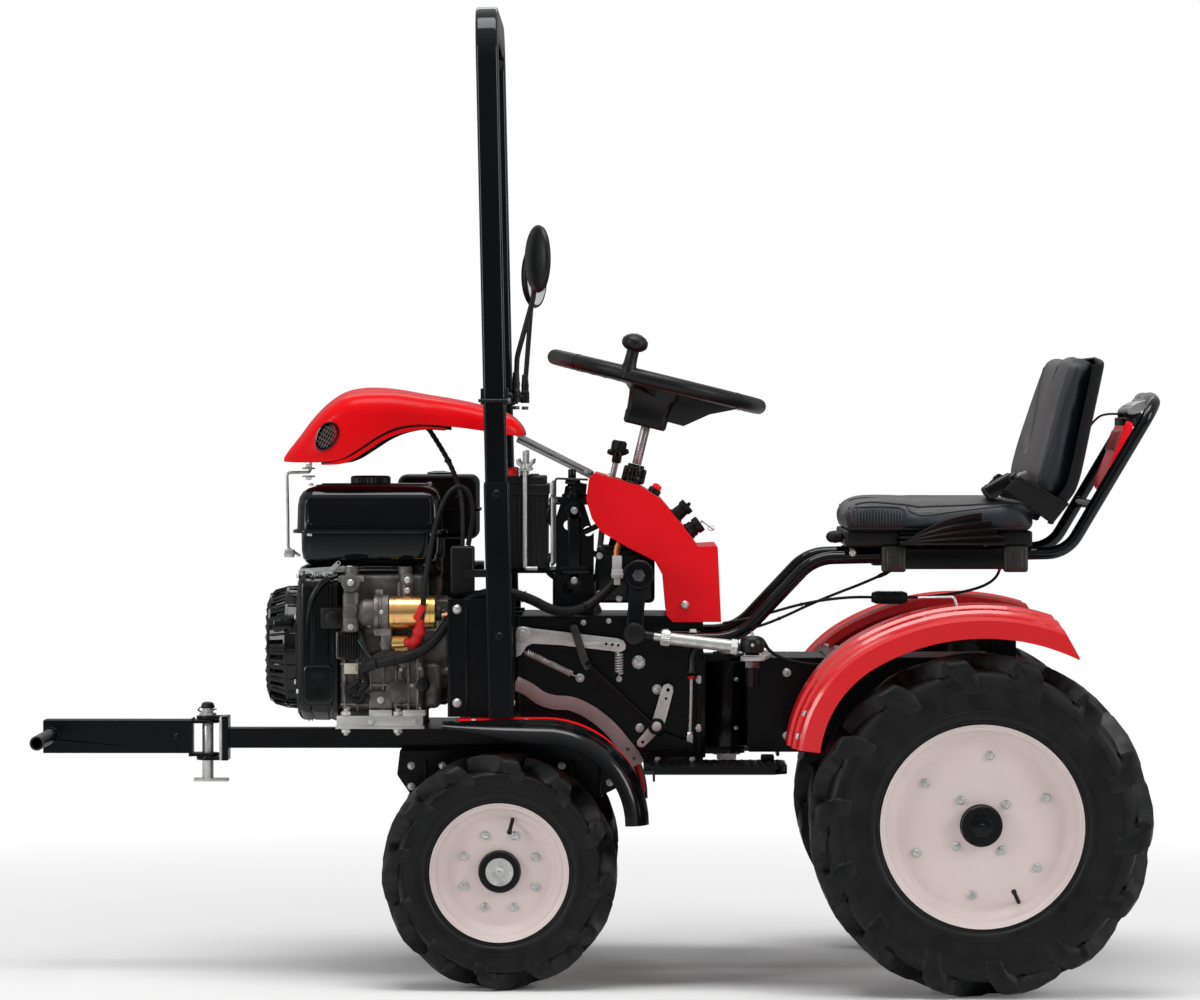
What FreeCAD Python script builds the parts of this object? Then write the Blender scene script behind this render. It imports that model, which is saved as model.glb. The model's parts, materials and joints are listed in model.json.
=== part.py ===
"""Articulated mini tractor with an open single-cylinder engine, roll hoop, seat on a bent tube frame and front bar.

Millimetres. +X runs to the tractor's rear, +Y to its right side, +Z up. The origin lies on the ground under
the middle of the bounding box. The front half carries the engine, the controls and the seat. The rear half
swings under the seat about one upright pivot between the axles.
"""
import math
import os

import FreeCAD
import Part

V = FreeCAD.Vector
X_AXIS = V(1, 0, 0)
Y_AXIS = V(0, 1, 0)
Z_AXIS = V(0, 0, 1)
SIDES = {"left": -1, "right": 1}

# ---- driving dimensions -------------------------------------------------------------------------------------
FRONT_AXLE_X, REAR_AXLE_X = -165.0, 647.0
FRONT_TYRE_R, REAR_TYRE_R = 201.0, 289.0          # loaded radii, so also the axle heights
FRONT_TYRE_Y, REAR_TYRE_Y = (232.0, 342.0), (315.0, 460.0)
FRONT_RIM_R, REAR_RIM_R = 118.0, 171.0            # rim flange radii of an 8 inch and a 12 inch rim
RUNNING_GAP = 0.3                                 # radial clearance of shafts and pins

PIVOT_X = 227.0
PIVOT_R = 41.5                                    # barrel of the rear frame, around the king pin
LUG_R = 32.0
LUG_Z = (384.0, 396.0, 547.0, 559.0)              # lower lug bottom and top, upper lug bottom and top
FRONT_FRAME_X = (-143.0, 184.0)
FRONT_FRAME_Z = (380.0, 630.0)
FRONT_FRAME_Y = 130.0
REAR_FRAME_X = (264.0, 735.0)
REAR_FRAME_Z = (392.0, 557.0)
REAR_FRAME_Y = 105.0
PLATE = 6.0                                       # frame plate thickness
SHEET = 3.0                                       # pressed sheet thickness

HOOP_TOP_Z = 1680.0
HOOP_FOOT_Z = 470.0
HOOP_HALF_WIDTH = 280.0
HOOP_SECTION = (38.0, 50.0)                       # along X, along Y
HOOP_FOOT_X = -163.0
HOOP_LEAN = 0.0215                                # forward travel per unit of height
HOOP_CORNER_R = 90.0

MIRROR_HEAD = {"left": (-100.0, 1245.0), "right": (-116.0, 1230.0)}        # X and Z of each head
MIRROR_STALK = {"left": [(-138, 1030), (-136, 1078), (-108, 1180), (-106, 1225)],
                "right": [(-133, 1030), (-122, 1175), (-118, 1212)]}       # X and Z of the bends, from the nut up
MIRROR_TURN = 25.0                                # the glass looks in towards the driver, degrees

ENGINE_Z = 576.0                                  # crankshaft height
TANK_X = (-522.0, -268.0)
TANK_Y = (-150.0, 130.0)
TANK_Z = (716.0, 856.0)

WHEEL_TILT = 13.7                                 # steering wheel plane, degrees down to the rear
STEERING_HUB = V(104.0, 0.0, 1037.0)
STEERING_R, STEERING_RIM_R = 184.0, 12.8
PITMAN_TOP = V(72.0, -205.0, 703.0)
PITMAN_BALL = V(64.0, -205.0, 602.0)
LINK_BALL = V(267.0, -205.0, 577.0)

SEAT_TUBE_Y = 170.0
SEAT_TUBE_R = 11.0
CUSHION_Y, CUSHION_CLEAR_Y, BELLOWS_Y = 230.0, 230.3, 237.0
SEAT_TUBE = [V(104, 0, 592), V(244, 0, 592), V(375, 0, 731), V(811, 0, 741), V(965, 0, 1001)]
SEAT_TUBE_BENDS = [95.0, 80.0, 60.0, 45.0]
FOOTREST_Z = (367.0, 381.0)
AXLE_TUBE_R = 34.0

DRAWBAR_PIN_X = -687.0
DRAWBAR_PIN_R = 10.0
CROSS_TUBE_X, CROSS_TUBE_Z = -961.0, 415.0
CROSS_TUBE_R, CROSS_TUBE_BORE = 12.5, 9.5
CROSS_TUBE_LENGTH = 480.0
HITCH_BORE_R = 9.5


# ---- small building helpers ---------------------------------------------------------------------------------
def box(x, y, z):
    """Block between two limits on each axis."""
    return Part.makeBox(x[1] - x[0], y[1] - y[0], z[1] - z[0], V(x[0], y[0], z[0]))


def cyl(start, direction, radius, length):
    return Part.makeCylinder(radius, length, start, direction)


def rod(start, end, radius):
    return Part.makeCylinder(radius, (end - start).Length, start, end - start)


def ball(centre, radius):
    return Part.makeSphere(radius, centre)


def profile(points, y):
    """Plate with an XZ outline, between two Y limits."""
    corners = [V(px, y[0], pz) for px, pz in points]
    face = Part.Face(Part.makePolygon(corners + corners[:1]))
    return face.extrude(V(0, y[1] - y[0], 0))


def plan(points, z):
    """Plate with an XY outline, between two Z limits."""
    corners = [V(px, py, z[0]) for px, py in points]
    face = Part.Face(Part.makePolygon(corners + corners[:1]))
    return face.extrude(V(0, 0, z[1] - z[0]))


def fuse(shapes):
    body = shapes[0].fuse(shapes[1:]) if len(shapes) > 1 else shapes[0]
    return body.removeSplitter()


def mirrored(shape):
    return shape.mirror(V(0, 0, 0), Y_AXIS)


def for_side(shape, side):
    """The shape as made on the left side, or its mirror image on the right."""
    return shape if side == "left" else mirrored(shape)


def soft(shape, radius, keep=lambda edge: True):
    """Round the edges that keep() picks."""
    return shape.makeFillet(radius, [edge for edge in shape.Edges if keep(edge)])


def along(edge, axis):
    """True for a straight edge that runs along the axis."""
    if not isinstance(edge.Curve, Part.Line):
        return False
    return abs(edge.Curve.Direction.dot(axis)) > 0.999


def revolved(points, centre_x, centre_z):
    """Ring about a cross-wise axle: points are (Y, radius)."""
    corners = [V(centre_x, py, centre_z + radius) for py, radius in points]
    face = Part.Face(Part.makePolygon(corners + corners[:1]))
    return face.revolve(V(centre_x, 0, centre_z), Y_AXIS, 360)


def bent_path(points, radii):
    """Straight runs joined by tangent arcs, one radius for each inner point."""
    edges = []
    start = points[0]
    for before, corner, after, radius in zip(points, points[1:], points[2:], radii):
        incoming = (corner - before).normalize()
        outgoing = (after - corner).normalize()
        half_turn = incoming.getAngle(outgoing) / 2
        setback = radius * math.tan(half_turn)
        first = corner - incoming * setback
        last = corner + outgoing * setback
        inward = (outgoing - incoming).normalize()
        middle = corner + inward * (radius / math.cos(half_turn) - radius)
        edges.append(Part.LineSegment(start, first).toShape())
        edges.append(Part.Arc(first, middle, last).toShape())
        start = last
    edges.append(Part.LineSegment(start, points[-1]).toShape())
    return Part.Wire(edges)


def bent_tube(points, radii, radius):
    path = bent_path(points, radii)
    direction = points[1] - points[0]
    section = Part.Wire([Part.Circle(points[0], direction, radius).toShape()])
    return path.makePipeShell([section], True, False)


def cord(name, points, radius):
    """Cable held along its route, each arc as large as its two runs allow."""
    runs = [(b - a).Length for a, b in zip(points, points[1:])]
    radii = []
    for i in range(1, len(points) - 1):
        turn = (points[i] - points[i - 1]).getAngle(points[i + 1] - points[i])
        radii.append(0.45 * min(runs[i - 1], runs[i]) / math.tan(turn / 2))
    tube = bent_tube(points, radii, radius)
    length = bent_path(points, radii).Length
    share = tube.Volume / (math.pi * radius ** 2 * length)
    print(f"{name}: smallest bend {min(radii):.0f}, longest run {max(runs):.0f}, volume share {share:.3f}")
    return tube


# ---- front half: frame, gearbox and axle --------------------------------------------------------------------
def front_frame():
    """Welded plate box with the pivot lugs, the engine cradle and the roll hoop's side plates."""
    x0, x1 = FRONT_FRAME_X
    z0, z1 = FRONT_FRAME_Z
    y = FRONT_FRAME_Y
    shell = box((x0, x1), (-y, y), (z0, z1))
    hollow = box((x0 + PLATE, x1 - PLATE), (-y + PLATE, y - PLATE), (z0 + PLATE, z1 - PLATE))
    parts = [shell.cut(hollow)]
    for low, high in (LUG_Z[:2], LUG_Z[2:]):
        lug = box((x1, PIVOT_X), (-LUG_R, LUG_R), (low, high))
        lug = lug.fuse(cyl(V(PIVOT_X, 0, low), Z_AXIS, LUG_R, high - low))
        parts.append(lug)
    parts.append(cyl(V(PIVOT_X, 0, LUG_Z[0] - 8), Z_AXIS, 16, LUG_Z[3] - LUG_Z[0] + 16))
    parts.append(box((-452, x0), (-165, 165), (428, 436)))                      # engine cradle
    for side in (-1, 1):
        inner, outer = sorted((side * 157, side * 165))
        parts.append(box((-452, x0), (inner, outer), (410, 428)))
        inner, outer = sorted((side * 222, side * 230))
        parts.append(box((-256, -140), (inner, outer), (460, 662)))             # roll hoop side plate
    parts.append(box((-225, x0), (-222, 222), (470, 520)))                      # cross beam of the hoop
    return fuse(parts)


def transmission():
    outline = [(-345, 392), (-350, 350), (-250, 205), (-215, 150), (-165, 128), (-112, 150), (-80, 210),
               (-20, 300), (40, 330), (40, 379.5), (-143.5, 379.5), (-143.5, 392)]
    case = profile(outline, (-78, 78))
    case = soft(case, 10, lambda edge: along(edge, Y_AXIS) and edge.CenterOfMass.z < 370)
    bulge = cyl(V(FRONT_AXLE_X, -100, FRONT_TYRE_R), Y_AXIS, 62, 200)
    return fuse([case, bulge])


def axle_tube(centre_x, centre_z, inner, outer, radius, shaft_radius, socket):
    """Two axle tubes with flanges; their outer ends are bored for the wheel shafts."""
    halves = []
    for side in (-1, 1):
        direction = V(0, side, 0)
        tube = cyl(V(centre_x, side * inner, centre_z), direction, radius, outer - inner)
        flange = cyl(V(centre_x, side * (outer - 10), centre_z), direction, radius + 18, 10)
        bore = cyl(V(centre_x, side * (outer - socket), centre_z), direction, shaft_radius + RUNNING_GAP, socket + 1)
        halves.append(tube.fuse(flange).cut(bore))
    return halves


def front_axle():
    return Part.makeCompound(axle_tube(FRONT_AXLE_X, FRONT_TYRE_R, 100, 208, 30, 16, 60))


def footrest(side):
    """Step plate with turned-down edges on two arms from the frame."""
    z0, z1 = FOOTREST_Z
    plate = box((80, 322), (-320, -FRONT_FRAME_Y - 14), (z1 - 4, z1))
    plate = soft(plate, 18, lambda edge: along(edge, Z_AXIS) and edge.CenterOfMass.y < -300)
    lip = box((98, 304), (-320, -316), (z0, z1 - 2))
    arms = [box((x, x + 30), (-300, -FRONT_FRAME_Y + 4), (z0 - 1, z1 - 4)) for x in (90, 150)]
    # The arms pass under the frame box and end flush with its lower corner.
    return for_side(fuse([plate, lip] + arms), side)


# ---- engine -------------------------------------------------------------------------------------------------
def engine_block():
    """Crankcase on its two rails, sloping cylinder with fins on the far side, and the output cover."""
    case = box((-447, -300), (-165, 80), (462, 640))
    case = soft(case, 16, lambda edge: along(edge, X_AXIS))
    cover = cyl(V(-300, -30, ENGINE_Z - 10), X_AXIS, 96, 40)
    nose = cyl(V(-262, 0, ENGINE_Z - 10), X_AXIS, 30, 20)
    deck = box((-440, -300), (-140, 75), (630, 700))
    barrel = cyl(V(-374, 40, 600), V(0, 1, 0.45), 55, 175)
    fins = [cyl(V(-374, 40, 600) + V(0, 0.912, 0.411) * (70 + 14 * n), V(0, 1, 0.45), 72, 7) for n in range(6)]
    rails = [box((-447, -309), (y - 16, y + 16), (436, 463)) for y in (-149, 60)]
    lugs = [cyl(V(x, -150, 690), Z_AXIS, 12, 26) for x in (-425, -332)]
    return fuse([case, cover, nose, deck, barrel] + fins + rails + lugs)


def fan_housing():
    """Sheet cowl between the crankcase and the recoil starter."""
    outline = [(-165, 470), (-120, 450), (60, 450), (140, 500), (150, 640), (90, 716), (-120, 716), (-160, 690)]
    corners = [V(-517, y, z) for y, z in outline]
    cowl = Part.Face(Part.makePolygon(corners + corners[:1])).extrude(V(69.9, 0, 0))
    return soft(cowl, 12, lambda edge: along(edge, X_AXIS) or edge.CenterOfMass.x < -516)


def recoil_cover():
    """Slotted cup over the fan."""
    centre = V(-517.3, 0, ENGINE_Z - 6)
    outer = [(0, 106), (-26, 106), (-54, 96), (-62, 78), (-62, 0), (-58, 0), (-58, 76), (-51, 92),
             (-26, 102), (0, 102)]
    corners = [centre + V(x, 0, radius) for x, radius in outer]
    cup = Part.Face(Part.makePolygon(corners + corners[:1])).revolve(centre, X_AXIS, 360)
    slots = []
    for n in range(24):
        slot = box((-64 + centre.x, -30 + centre.x), (-4, 4), (centre.z + 60, centre.z + 112))
        slot.rotate(centre, X_AXIS, 15 * n + 7.5)
        slots.append(slot)
    hub = cyl(centre + V(-60, 0, 0), X_AXIS, 34, 60)
    back = Part.makeCylinder(106, 3, centre - V(3, 0, 0), X_AXIS)
    return fuse([cup.cut(slots), hub, back])


def fuel_tank():
    """Two pressed halves with a seam flange; the lower half is narrower."""
    x0, x1 = TANK_X
    y0, y1 = TANK_Y
    z0, z1 = TANK_Z
    upper = soft(box((x0, x1), (y0, y1), (779, z1)), 20, lambda edge: edge.CenterOfMass.z > 779.5)
    lower = soft(box((x0 + 14, x1 - 24), (y0 + 12, y1 - 12), (z0, 774)), 16, lambda edge: edge.CenterOfMass.z < 773)
    flange = soft(box((x0 - 6, x1 + 8), (y0 - 7, y1 + 7), (773, 780)), 18, lambda edge: along(edge, Z_AXIS))
    panel = soft(box((-506, -283), (y0 - 5, y0 + 3), (790, 836)), 2.4, lambda edge: along(edge, Y_AXIS))
    return fuse([upper, flange, lower]).cut(panel)


def fuel_cap():
    cap = cyl(V(-399, -10, TANK_Z[1]), Z_AXIS, 34, 17)
    return soft(cap, 2.5, lambda edge: edge.CenterOfMass.z > TANK_Z[1] + 16)


def starter_motor():
    """Motor, its nose casting and clamp, and the round solenoid below."""
    axis_z, axis_y = 638.0, -196.0
    motor = cyl(V(-358, axis_y, axis_z), X_AXIS, 28.5, 81)
    nose = cyl(V(-412, axis_y, axis_z), X_AXIS, 23, 55)
    collar = cyl(V(-384, axis_y, axis_z), X_AXIS, 30, 26)
    cap = cyl(V(-277, axis_y, axis_z), X_AXIS, 14, 8)
    clamp = box((-436, -410), (-212, -165.3), (606, 712))
    clamp = soft(clamp, 8, lambda edge: along(edge, X_AXIS))
    solenoid = cyl(V(-353, axis_y, 585), X_AXIS, 15, 28)
    yoke = box((-372, -352), (-208, -165.3), (572, 620))
    return fuse([motor, nose, collar, cap, clamp, solenoid, yoke])


def muffler():
    can = soft(box((-440, -250), (252, 330), (640, 750)), 22)
    pipe = cyl(V(-374, 226, 684), V(0, 1, 0.1), 17, 40)
    tail = cyl(V(-252, 292, 700), X_AXIS, 14, 42)
    return fuse([can, pipe, tail])


def air_filter():
    case = soft(box((-359, -214), (146, 246), (756, 872)), 16)
    neck = cyl(V(-300, 196, 722), Z_AXIS, 24, 40)
    return fuse([case, neck])


def relay_box():
    """Electrics box on a short arm from the roll hoop's left post."""
    case = soft(box((-254, -212), (-176, -136), (668, 752)), 5)
    arm = box((-226, -190), (-232, -172), (700, 712))
    return fuse([case, arm]).cut(roll_hoop())


# ---- hood ---------------------------------------------------------------------------------------------------
HOOD_STATIONS = [(-546, 906, 897, 92), (-520, 944, 896, 122), (-472, 1000, 897, 146), (-443, 1019, 902, 152),
                 (-412, 1026, 920, 154), (-380, 1026, 941, 155), (-345, 1023, 957, 155), (-300, 1015, 962, 153),
                 (-205, 997, 952, 140), (-165, 985, 945, 130), (-145, 974, 943, 122), (-133, 961, 942, 114),
                 (-128, 949, 942, 108)]                             # X, top Z, lip Z, half width


def hood_section(x, top, low, half):
    """Arched cross-section of the hood: straight cheeks, round shoulders and a slightly crowned top."""
    round_r = min(36.0, 0.8 * (top - low))
    crown = min(10.0, 0.1 * (top - low))
    bend = round_r * math.sqrt(0.5)
    shoulder = top - crown
    left = [V(x, -half, low), V(x, -half, shoulder - round_r),
            V(x, -half + round_r - bend, shoulder - round_r + bend), V(x, -half + round_r, shoulder)]
    right = [V(x, -p.y, p.z) for p in left]
    edges = [Part.LineSegment(left[0], left[1]), Part.Arc(*left[1:]), Part.Arc(left[3], V(x, 0, top), right[3]),
             Part.Arc(*right[:0:-1]), Part.LineSegment(right[1], right[0]), Part.LineSegment(right[0], left[0])]
    return Part.Wire([edge.toShape() for edge in edges])


def hood_loft(inset, below=0.0):
    """Solid inside the hood's skin, drawn in by inset and carried down below the lip."""
    sections = []
    for x, top, low, half in HOOD_STATIONS:
        sections.append(hood_section(x, top - inset, low - below, half - inset))
    return Part.makeLoft(sections, True, True)


def hood():
    """Beak-shaped pressed hood, open underneath."""
    inner = hood_loft(4.0, 30.0).common(box((-540, -134), (-200, 200), (800, 1100)))
    return hood_loft(0).cut(inner)


def hood_lamps():
    """Oval grid lamps let into the two cheeks of the hood."""
    lamps = []
    for side in (-1, 1):
        lens = Part.Ellipse(V(0, 0, 0), 26, 17).toShape()
        lens = Part.Face(Part.Wire([lens])).extrude(V(0, 0, 6))
        lens.rotate(V(0, 0, 0), X_AXIS, -90 * side)
        lens.rotate(V(0, 0, 0), Y_AXIS, -60)
        lens.translate(V(-468, side * 152.4, 941))
        lamps.append(lens)
    return Part.makeCompound(lamps)


def hood_supports():
    """Wire stay at the nose and two bars from the hood's rear to the dash."""
    stay = bent_tube([V(-505, 0, 900), V(-506, 0, 878), V(-547, 0, 877), V(-545, 0, 744), V(-524, 0, 730)],
                     [6, 7, 8], 3.5)
    bars = []
    for side in (-1, 1):
        bar = profile([(-140, 945), (-134, 930), (-12, 866), (-4, 880)], (side * 70 - 8, side * 70 + 8))
        bars.append(bar.cut([profile(DASH_OUTLINE, (-150, 150)), hood_loft(0)]))
    return Part.makeCompound([stay] + bars)


# ---- roll hoop and mirrors ----------------------------------------------------------------------------------
def hoop_x(z):
    return HOOP_FOOT_X - (z - HOOP_FOOT_Z) * HOOP_LEAN


def roll_hoop():
    """One bent rectangular tube, leaning forward a little, with a stepped foot on each side."""
    depth, width = HOOP_SECTION
    half, top, foot = HOOP_HALF_WIDTH, HOOP_TOP_Z, HOOP_FOOT_Z
    outer = soft(box((-depth / 2, depth / 2), (-half, half), (foot, top)), HOOP_CORNER_R,
                 lambda edge: along(edge, X_AXIS) and edge.CenterOfMass.z > foot + 1)
    inner = box((-depth, depth), (-half + width, half - width), (foot - 1, top - width))
    inner = soft(inner, HOOP_CORNER_R - width, lambda edge: along(edge, X_AXIS) and edge.CenterOfMass.z > foot + 1)
    hoop = outer.cut(inner)
    matrix = FreeCAD.Matrix()
    matrix.A13 = -HOOP_LEAN
    matrix.A14 = hoop_x(0)
    return hoop.transformGeometry(matrix)


def mirror(side):
    """Round-backed mirror on a stalk, clamped to the hoop post."""
    head_x, head_z = MIRROR_HEAD[side]
    foot_x = MIRROR_STALK[side][0][0]
    post_y = -HOOP_HALF_WIDTH + HOOP_SECTION[1] / 2
    arm = rod(V(hoop_x(1010) + 19.4, post_y, 1010), V(foot_x + 6, post_y, 1010), 7)
    nut = cyl(V(foot_x, post_y, 1000), Z_AXIS, 8, 20)
    boot = Part.makeCone(6.5, 5, 30, V(foot_x, post_y, 1016), Z_AXIS)
    line = [V(px, post_y, pz) for px, pz in MIRROR_STALK[side]]
    stalk = bent_tube(line, [60] * (len(line) - 2), 4.5)
    head = ball(V(0, 0, 0), 1)
    matrix = FreeCAD.Matrix()
    matrix.A11, matrix.A22, matrix.A33 = 16, 44, 58
    head = head.transformGeometry(matrix)
    head = head.common(box((-20, 4), (-60, 60), (-70, 70)))
    head.rotate(V(0, 0, 0), Z_AXIS, MIRROR_TURN)
    head.translate(V(head_x, post_y - 10, head_z))
    return for_side(fuse([arm, nut, boot, stalk, head]), side)


# ---- driver's place -----------------------------------------------------------------------------------------
DASH_OUTLINE = [(-4, 878), (73, 856), (111, 832), (150, 785), (175, 750), (209, 752), (215, 620), (131, 620),
                (120, 632), (114, 700), (100, 726), (52, 750), (7, 776), (-9, 799), (-19, 832), (-14, 868)]


DASH_SWITCHES = [(V(148, -70, 797), V(0.755, 0, 0.656), 14.0), (V(60, -90, 853), V(0.28, 0, 0.96), 9.0)]


def dash_panel():
    """Folded sheet: two cheeks joined along their upper and rear edges."""
    cheek = soft(profile(DASH_OUTLINE, (-150, 150)), 4, lambda edge: abs(edge.CenterOfMass.y) < 1 and
                 edge.CenterOfMass.z > 700)
    inside = [(-30, 874.5), (72, 852.5), (109, 829), (148, 782), (173, 746.5), (206, 749), (212, 600), (-30, 600)]
    opened = cheek.cut(profile(inside, (-150 + SHEET, 150 - SHEET)))
    holes = [cyl(V(50, 0, 800), Z_AXIS, 32, 100), cyl(V(29, 46, 840), Z_AXIS, 15, 60)]
    holes += [cyl(start - direction * 40, direction, radius + 0.2, 100) for start, direction, radius in DASH_SWITCHES]
    return opened.cut(holes)


def steering_point(distance):
    """Point on the steering shaft, measured down from the wheel's hub."""
    tilt = math.radians(WHEEL_TILT)
    return STEERING_HUB - V(math.sin(tilt), 0, math.cos(tilt)) * distance


def steering_column():
    """Jacket, collar and the steering gearbox with its output boss."""
    jacket = rod(steering_point(62), steering_point(300), 15)
    collar = rod(steering_point(155), steering_point(182), 20)
    gearbox = soft(box((-4, 102), (-128, 40), (650, 752)), 14, lambda edge: along(edge, Y_AXIS))
    boss = cyl(V(PITMAN_TOP.x, -127, PITMAN_TOP.z), V(0, -1, 0), 26, 61)
    return fuse([jacket, collar, gearbox, boss])


def column_bracket():
    """Cast upright with lightening holes ahead of the dash, and the battery's shelf."""
    outline = [(-72, 630), (-72, 800), (-58, 842), (-36, 862), (-18, 858), (-22, 820), (-6, 770), (-6, 630)]
    upright = profile(outline, (-96, -60))
    holes = [cyl(V(x, -110, z), Y_AXIS, 9, 80) for x, z in ((-50, 786), (-16, 776), (-52, 676))]
    brace = profile([(-60, 640), (-20, 640), (-20, 700), (-60, 700)], (-60.5, 90))
    shelf = box((-172, -71), (-98, 98), (703, 709))
    legs = [box((-172, -166), (y - 12, y + 12), (630, 704)) for y in (-80, 80)]
    feet = [box((-172, -130), (y - 12, y + 12), (630, 636)) for y in (-80, 80)]
    rods = [rod(V(-126, y, 709), V(-126, y, 916), 3.5) for y in (-97, 97)]
    strap = box((-136, -116), (-102, 102), (881, 885))
    return fuse([upright.cut(holes), brace, shelf, strap] + legs + feet + rods)


def battery():
    case = soft(box((-164, -87), (-90, 90), (709.2, 872)), 5, lambda edge: along(edge, Z_AXIS))
    caps = [soft(cyl(V(-148, y, 871), Z_AXIS, 9, 9), 2, lambda edge: edge.CenterOfMass.z > 879) for y in (-72, 72)]
    return fuse([case] + caps)


def driver_controls():
    """Gear lever, key switch and stop button: small controls with no joint."""
    lever = bent_tube([V(-8, 46, 631.5), V(10, 46, 800), V(37, 46, 905)], [90], 6)
    knob = soft(cyl(V(33, 46, 896), V(0.17, 0, 1), 18, 38), 8)
    switches = [cyl(start, direction, radius, 24) for start, direction, radius in DASH_SWITCHES]
    return Part.makeCompound([fuse([lever, knob])] + switches)


def control_linkage():
    """Clutch and brake levers, rods and strap on the frame's left side: small controls with no joint."""
    y = -FRONT_FRAME_Y
    main = profile([(-140, 606), (-128, 613), (36, 592), (48, 586), (50, 574), (38, 568), (-126, 586), (-140, 592)],
                   (y - 30, y - 24))
    pins = [cyl(V(px, y, pz), V(0, -1, 0), 7, 32) for px, pz in ((-128, 599), (38, 580))]
    flat = profile([(-46, 612), (-34, 614), (-11, 541), (-20, 538)], (y - 40, y - 36))
    link = rod(V(-17, y - 38, 541), V(94, y - 38, 438), 4)
    crank = profile([(113, 505), (125, 508), (117, 440), (101, 428), (95, 446)], (y - 34, y - 28))
    hub = cyl(V(103, y, 440), V(0, -1, 0), 15, 40)
    gusset = profile([(103, 432), (81, 396), (165, 404)], (y - 24, y - 18))
    strap = profile([(-142, 528), (-94, 490), (-47, 490), (17, 450), (74, 396), (64, 380), (10, 428), (-50, 466),
                     (-98, 466), (-142, 502)], (y - 12, y - 7))
    studs = [cyl(V(px, y, pz), V(0, -1, 0), 6, 10) for px, pz in ((-70, 478), (40, 421))]
    pipe = bent_tube([V(180, y - 8, 577), V(164, y - 12, 560), V(162, y - 12, 415)], [12], 4)
    foot = box((150, 174), (y - 20, y + 0), (408, 418))
    levers = fuse([main] + pins + [flat, link, crank, hub, gusset])
    return Part.makeCompound([levers, fuse([strap] + studs), fuse([pipe, foot])])


# ---- front fenders ------------------------------------------------------------------------------------------
ARCH_X, ARCH_TOP, ARCH_R = -90.0, 455.0, 174.0      # where the level part ends, its height, the bend's radius
SHEET_SECTION = [(-292, 0), (-176, 0), (-176, 3), (-292, 3)]
FLARE_SECTION = [(-292.2, 0), (-300, 1), (-303, 5), (-312, 7), (-316, 12), (-326, 15), (-330, 20), (-338, 23),
                 (-345, 29), (-345, 36), (-336, 30), (-326, 23), (-312, 15), (-298, 9), (-292.2, 8)]


def arch(section, x_start):
    """Section run level and then bent down to the rear through a quarter turn."""
    corners = [V(x_start, y, ARCH_TOP - drop) for y, drop in section]
    level = Part.Face(Part.makePolygon(corners + corners[:1])).extrude(V(ARCH_X - x_start, 0, 0))
    return level.fuse(turned(section, ARCH_X, ARCH_TOP - ARCH_R, ARCH_R, 90, 0))


def front_fender(side):
    """Red inner sheet over the front wheel with a stay to the hoop's side plate."""
    stay = box((-200, -170), (-222, -176), (454, 460))
    return for_side(fuse([arch(SHEET_SECTION, -240), stay]), side)


def fender_flares():
    """Black ribbed rubber lips outside the red sheets, sloping down and out."""
    return Part.makeCompound([for_side(arch(FLARE_SECTION, -265), side) for side in SIDES])


# ---- seat ---------------------------------------------------------------------------------------------------
def seat_frame():
    """One tube: both legs and the tail loop, welded to short brackets on the front frame."""
    legs = [[V(p.x, side * SEAT_TUBE_Y, p.z) for p in SEAT_TUBE] for side in (-1, 1)]
    path = legs[0] + legs[1][::-1]
    radii = SEAT_TUBE_BENDS[:3] + [45.0, 45.0] + SEAT_TUBE_BENDS[2::-1]
    tube = bent_tube(path, radii, SEAT_TUBE_R)
    brackets = []
    for side in (-1, 1):
        inner, outer = sorted((side * (FRONT_FRAME_Y + 0.02), side * (SEAT_TUBE_Y - 4)))
        brackets.append(box((106, 178), (inner, outer), (582, 602)))
    ties = [rod(V(x, -SEAT_TUBE_Y, z), V(x, SEAT_TUBE_Y, z), 8) for x, z in ((452, 732.8), (860, 822.8))]
    return fuse([tube] + brackets + ties)


def seat_base():
    """Two channel rails clamped outside the tubes, with cross plates under the seat."""
    parts = []
    for side in (-1, 1):
        inner, outer = sorted((side * (SEAT_TUBE_Y + SEAT_TUBE_R + 0.5), side * 200))
        parts.append(box((490, 742), (inner, outer), (712, 752)))
        for x in (490, 700):
            inner, outer = sorted((side * (SEAT_TUBE_Y + SEAT_TUBE_R), side * 206))
            parts.append(box((x, x + 42), (inner, outer), (708, 754)))
    for x in (516, 672):
        parts.append(box((x, x + 48), (-198, 198), (751, 755)))
    return fuse(parts)


def seat_bellows():
    """Folded suspension cover between the base and the cushion, fanned up along the cushion's sides."""
    folds = []
    for n, (x0, x1) in enumerate(((512, 708), (518, 702), (514, 706), (520, 700))):
        folds.append(box((x0, x1), (-BELLOWS_Y, BELLOWS_Y), (755.2 + 3.6 * n, 758.9 + 3.6 * n)))
    fan = [(516, 757), (704, 757), (696, 778), (682, 796), (660, 813), (600, 790)]
    for side in (-1, 1):
        folds.append(profile(fan, tuple(sorted((side * CUSHION_CLEAR_Y, side * BELLOWS_Y)))))
    return fuse(folds)


def seat_cushion():
    outline = [(424, 778), (420, 800), (430, 826), (462, 838), (560, 832), (700, 836), (742, 830), (760, 800),
               (752, 772), (440, 770)]
    pad = profile(outline, (-CUSHION_Y, CUSHION_Y))
    return soft(pad, 12, lambda edge: along(edge, Y_AXIS))


def seat_back():
    outline = [(740, 842), (732, 866), (796, 1070), (812, 1082), (862, 1084), (876, 1070), (832, 866), (815, 832),
               (786, 806), (764, 806)]
    pad = profile(outline, (-215, 215))
    return soft(pad, 9, lambda edge: along(edge, Y_AXIS))


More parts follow.
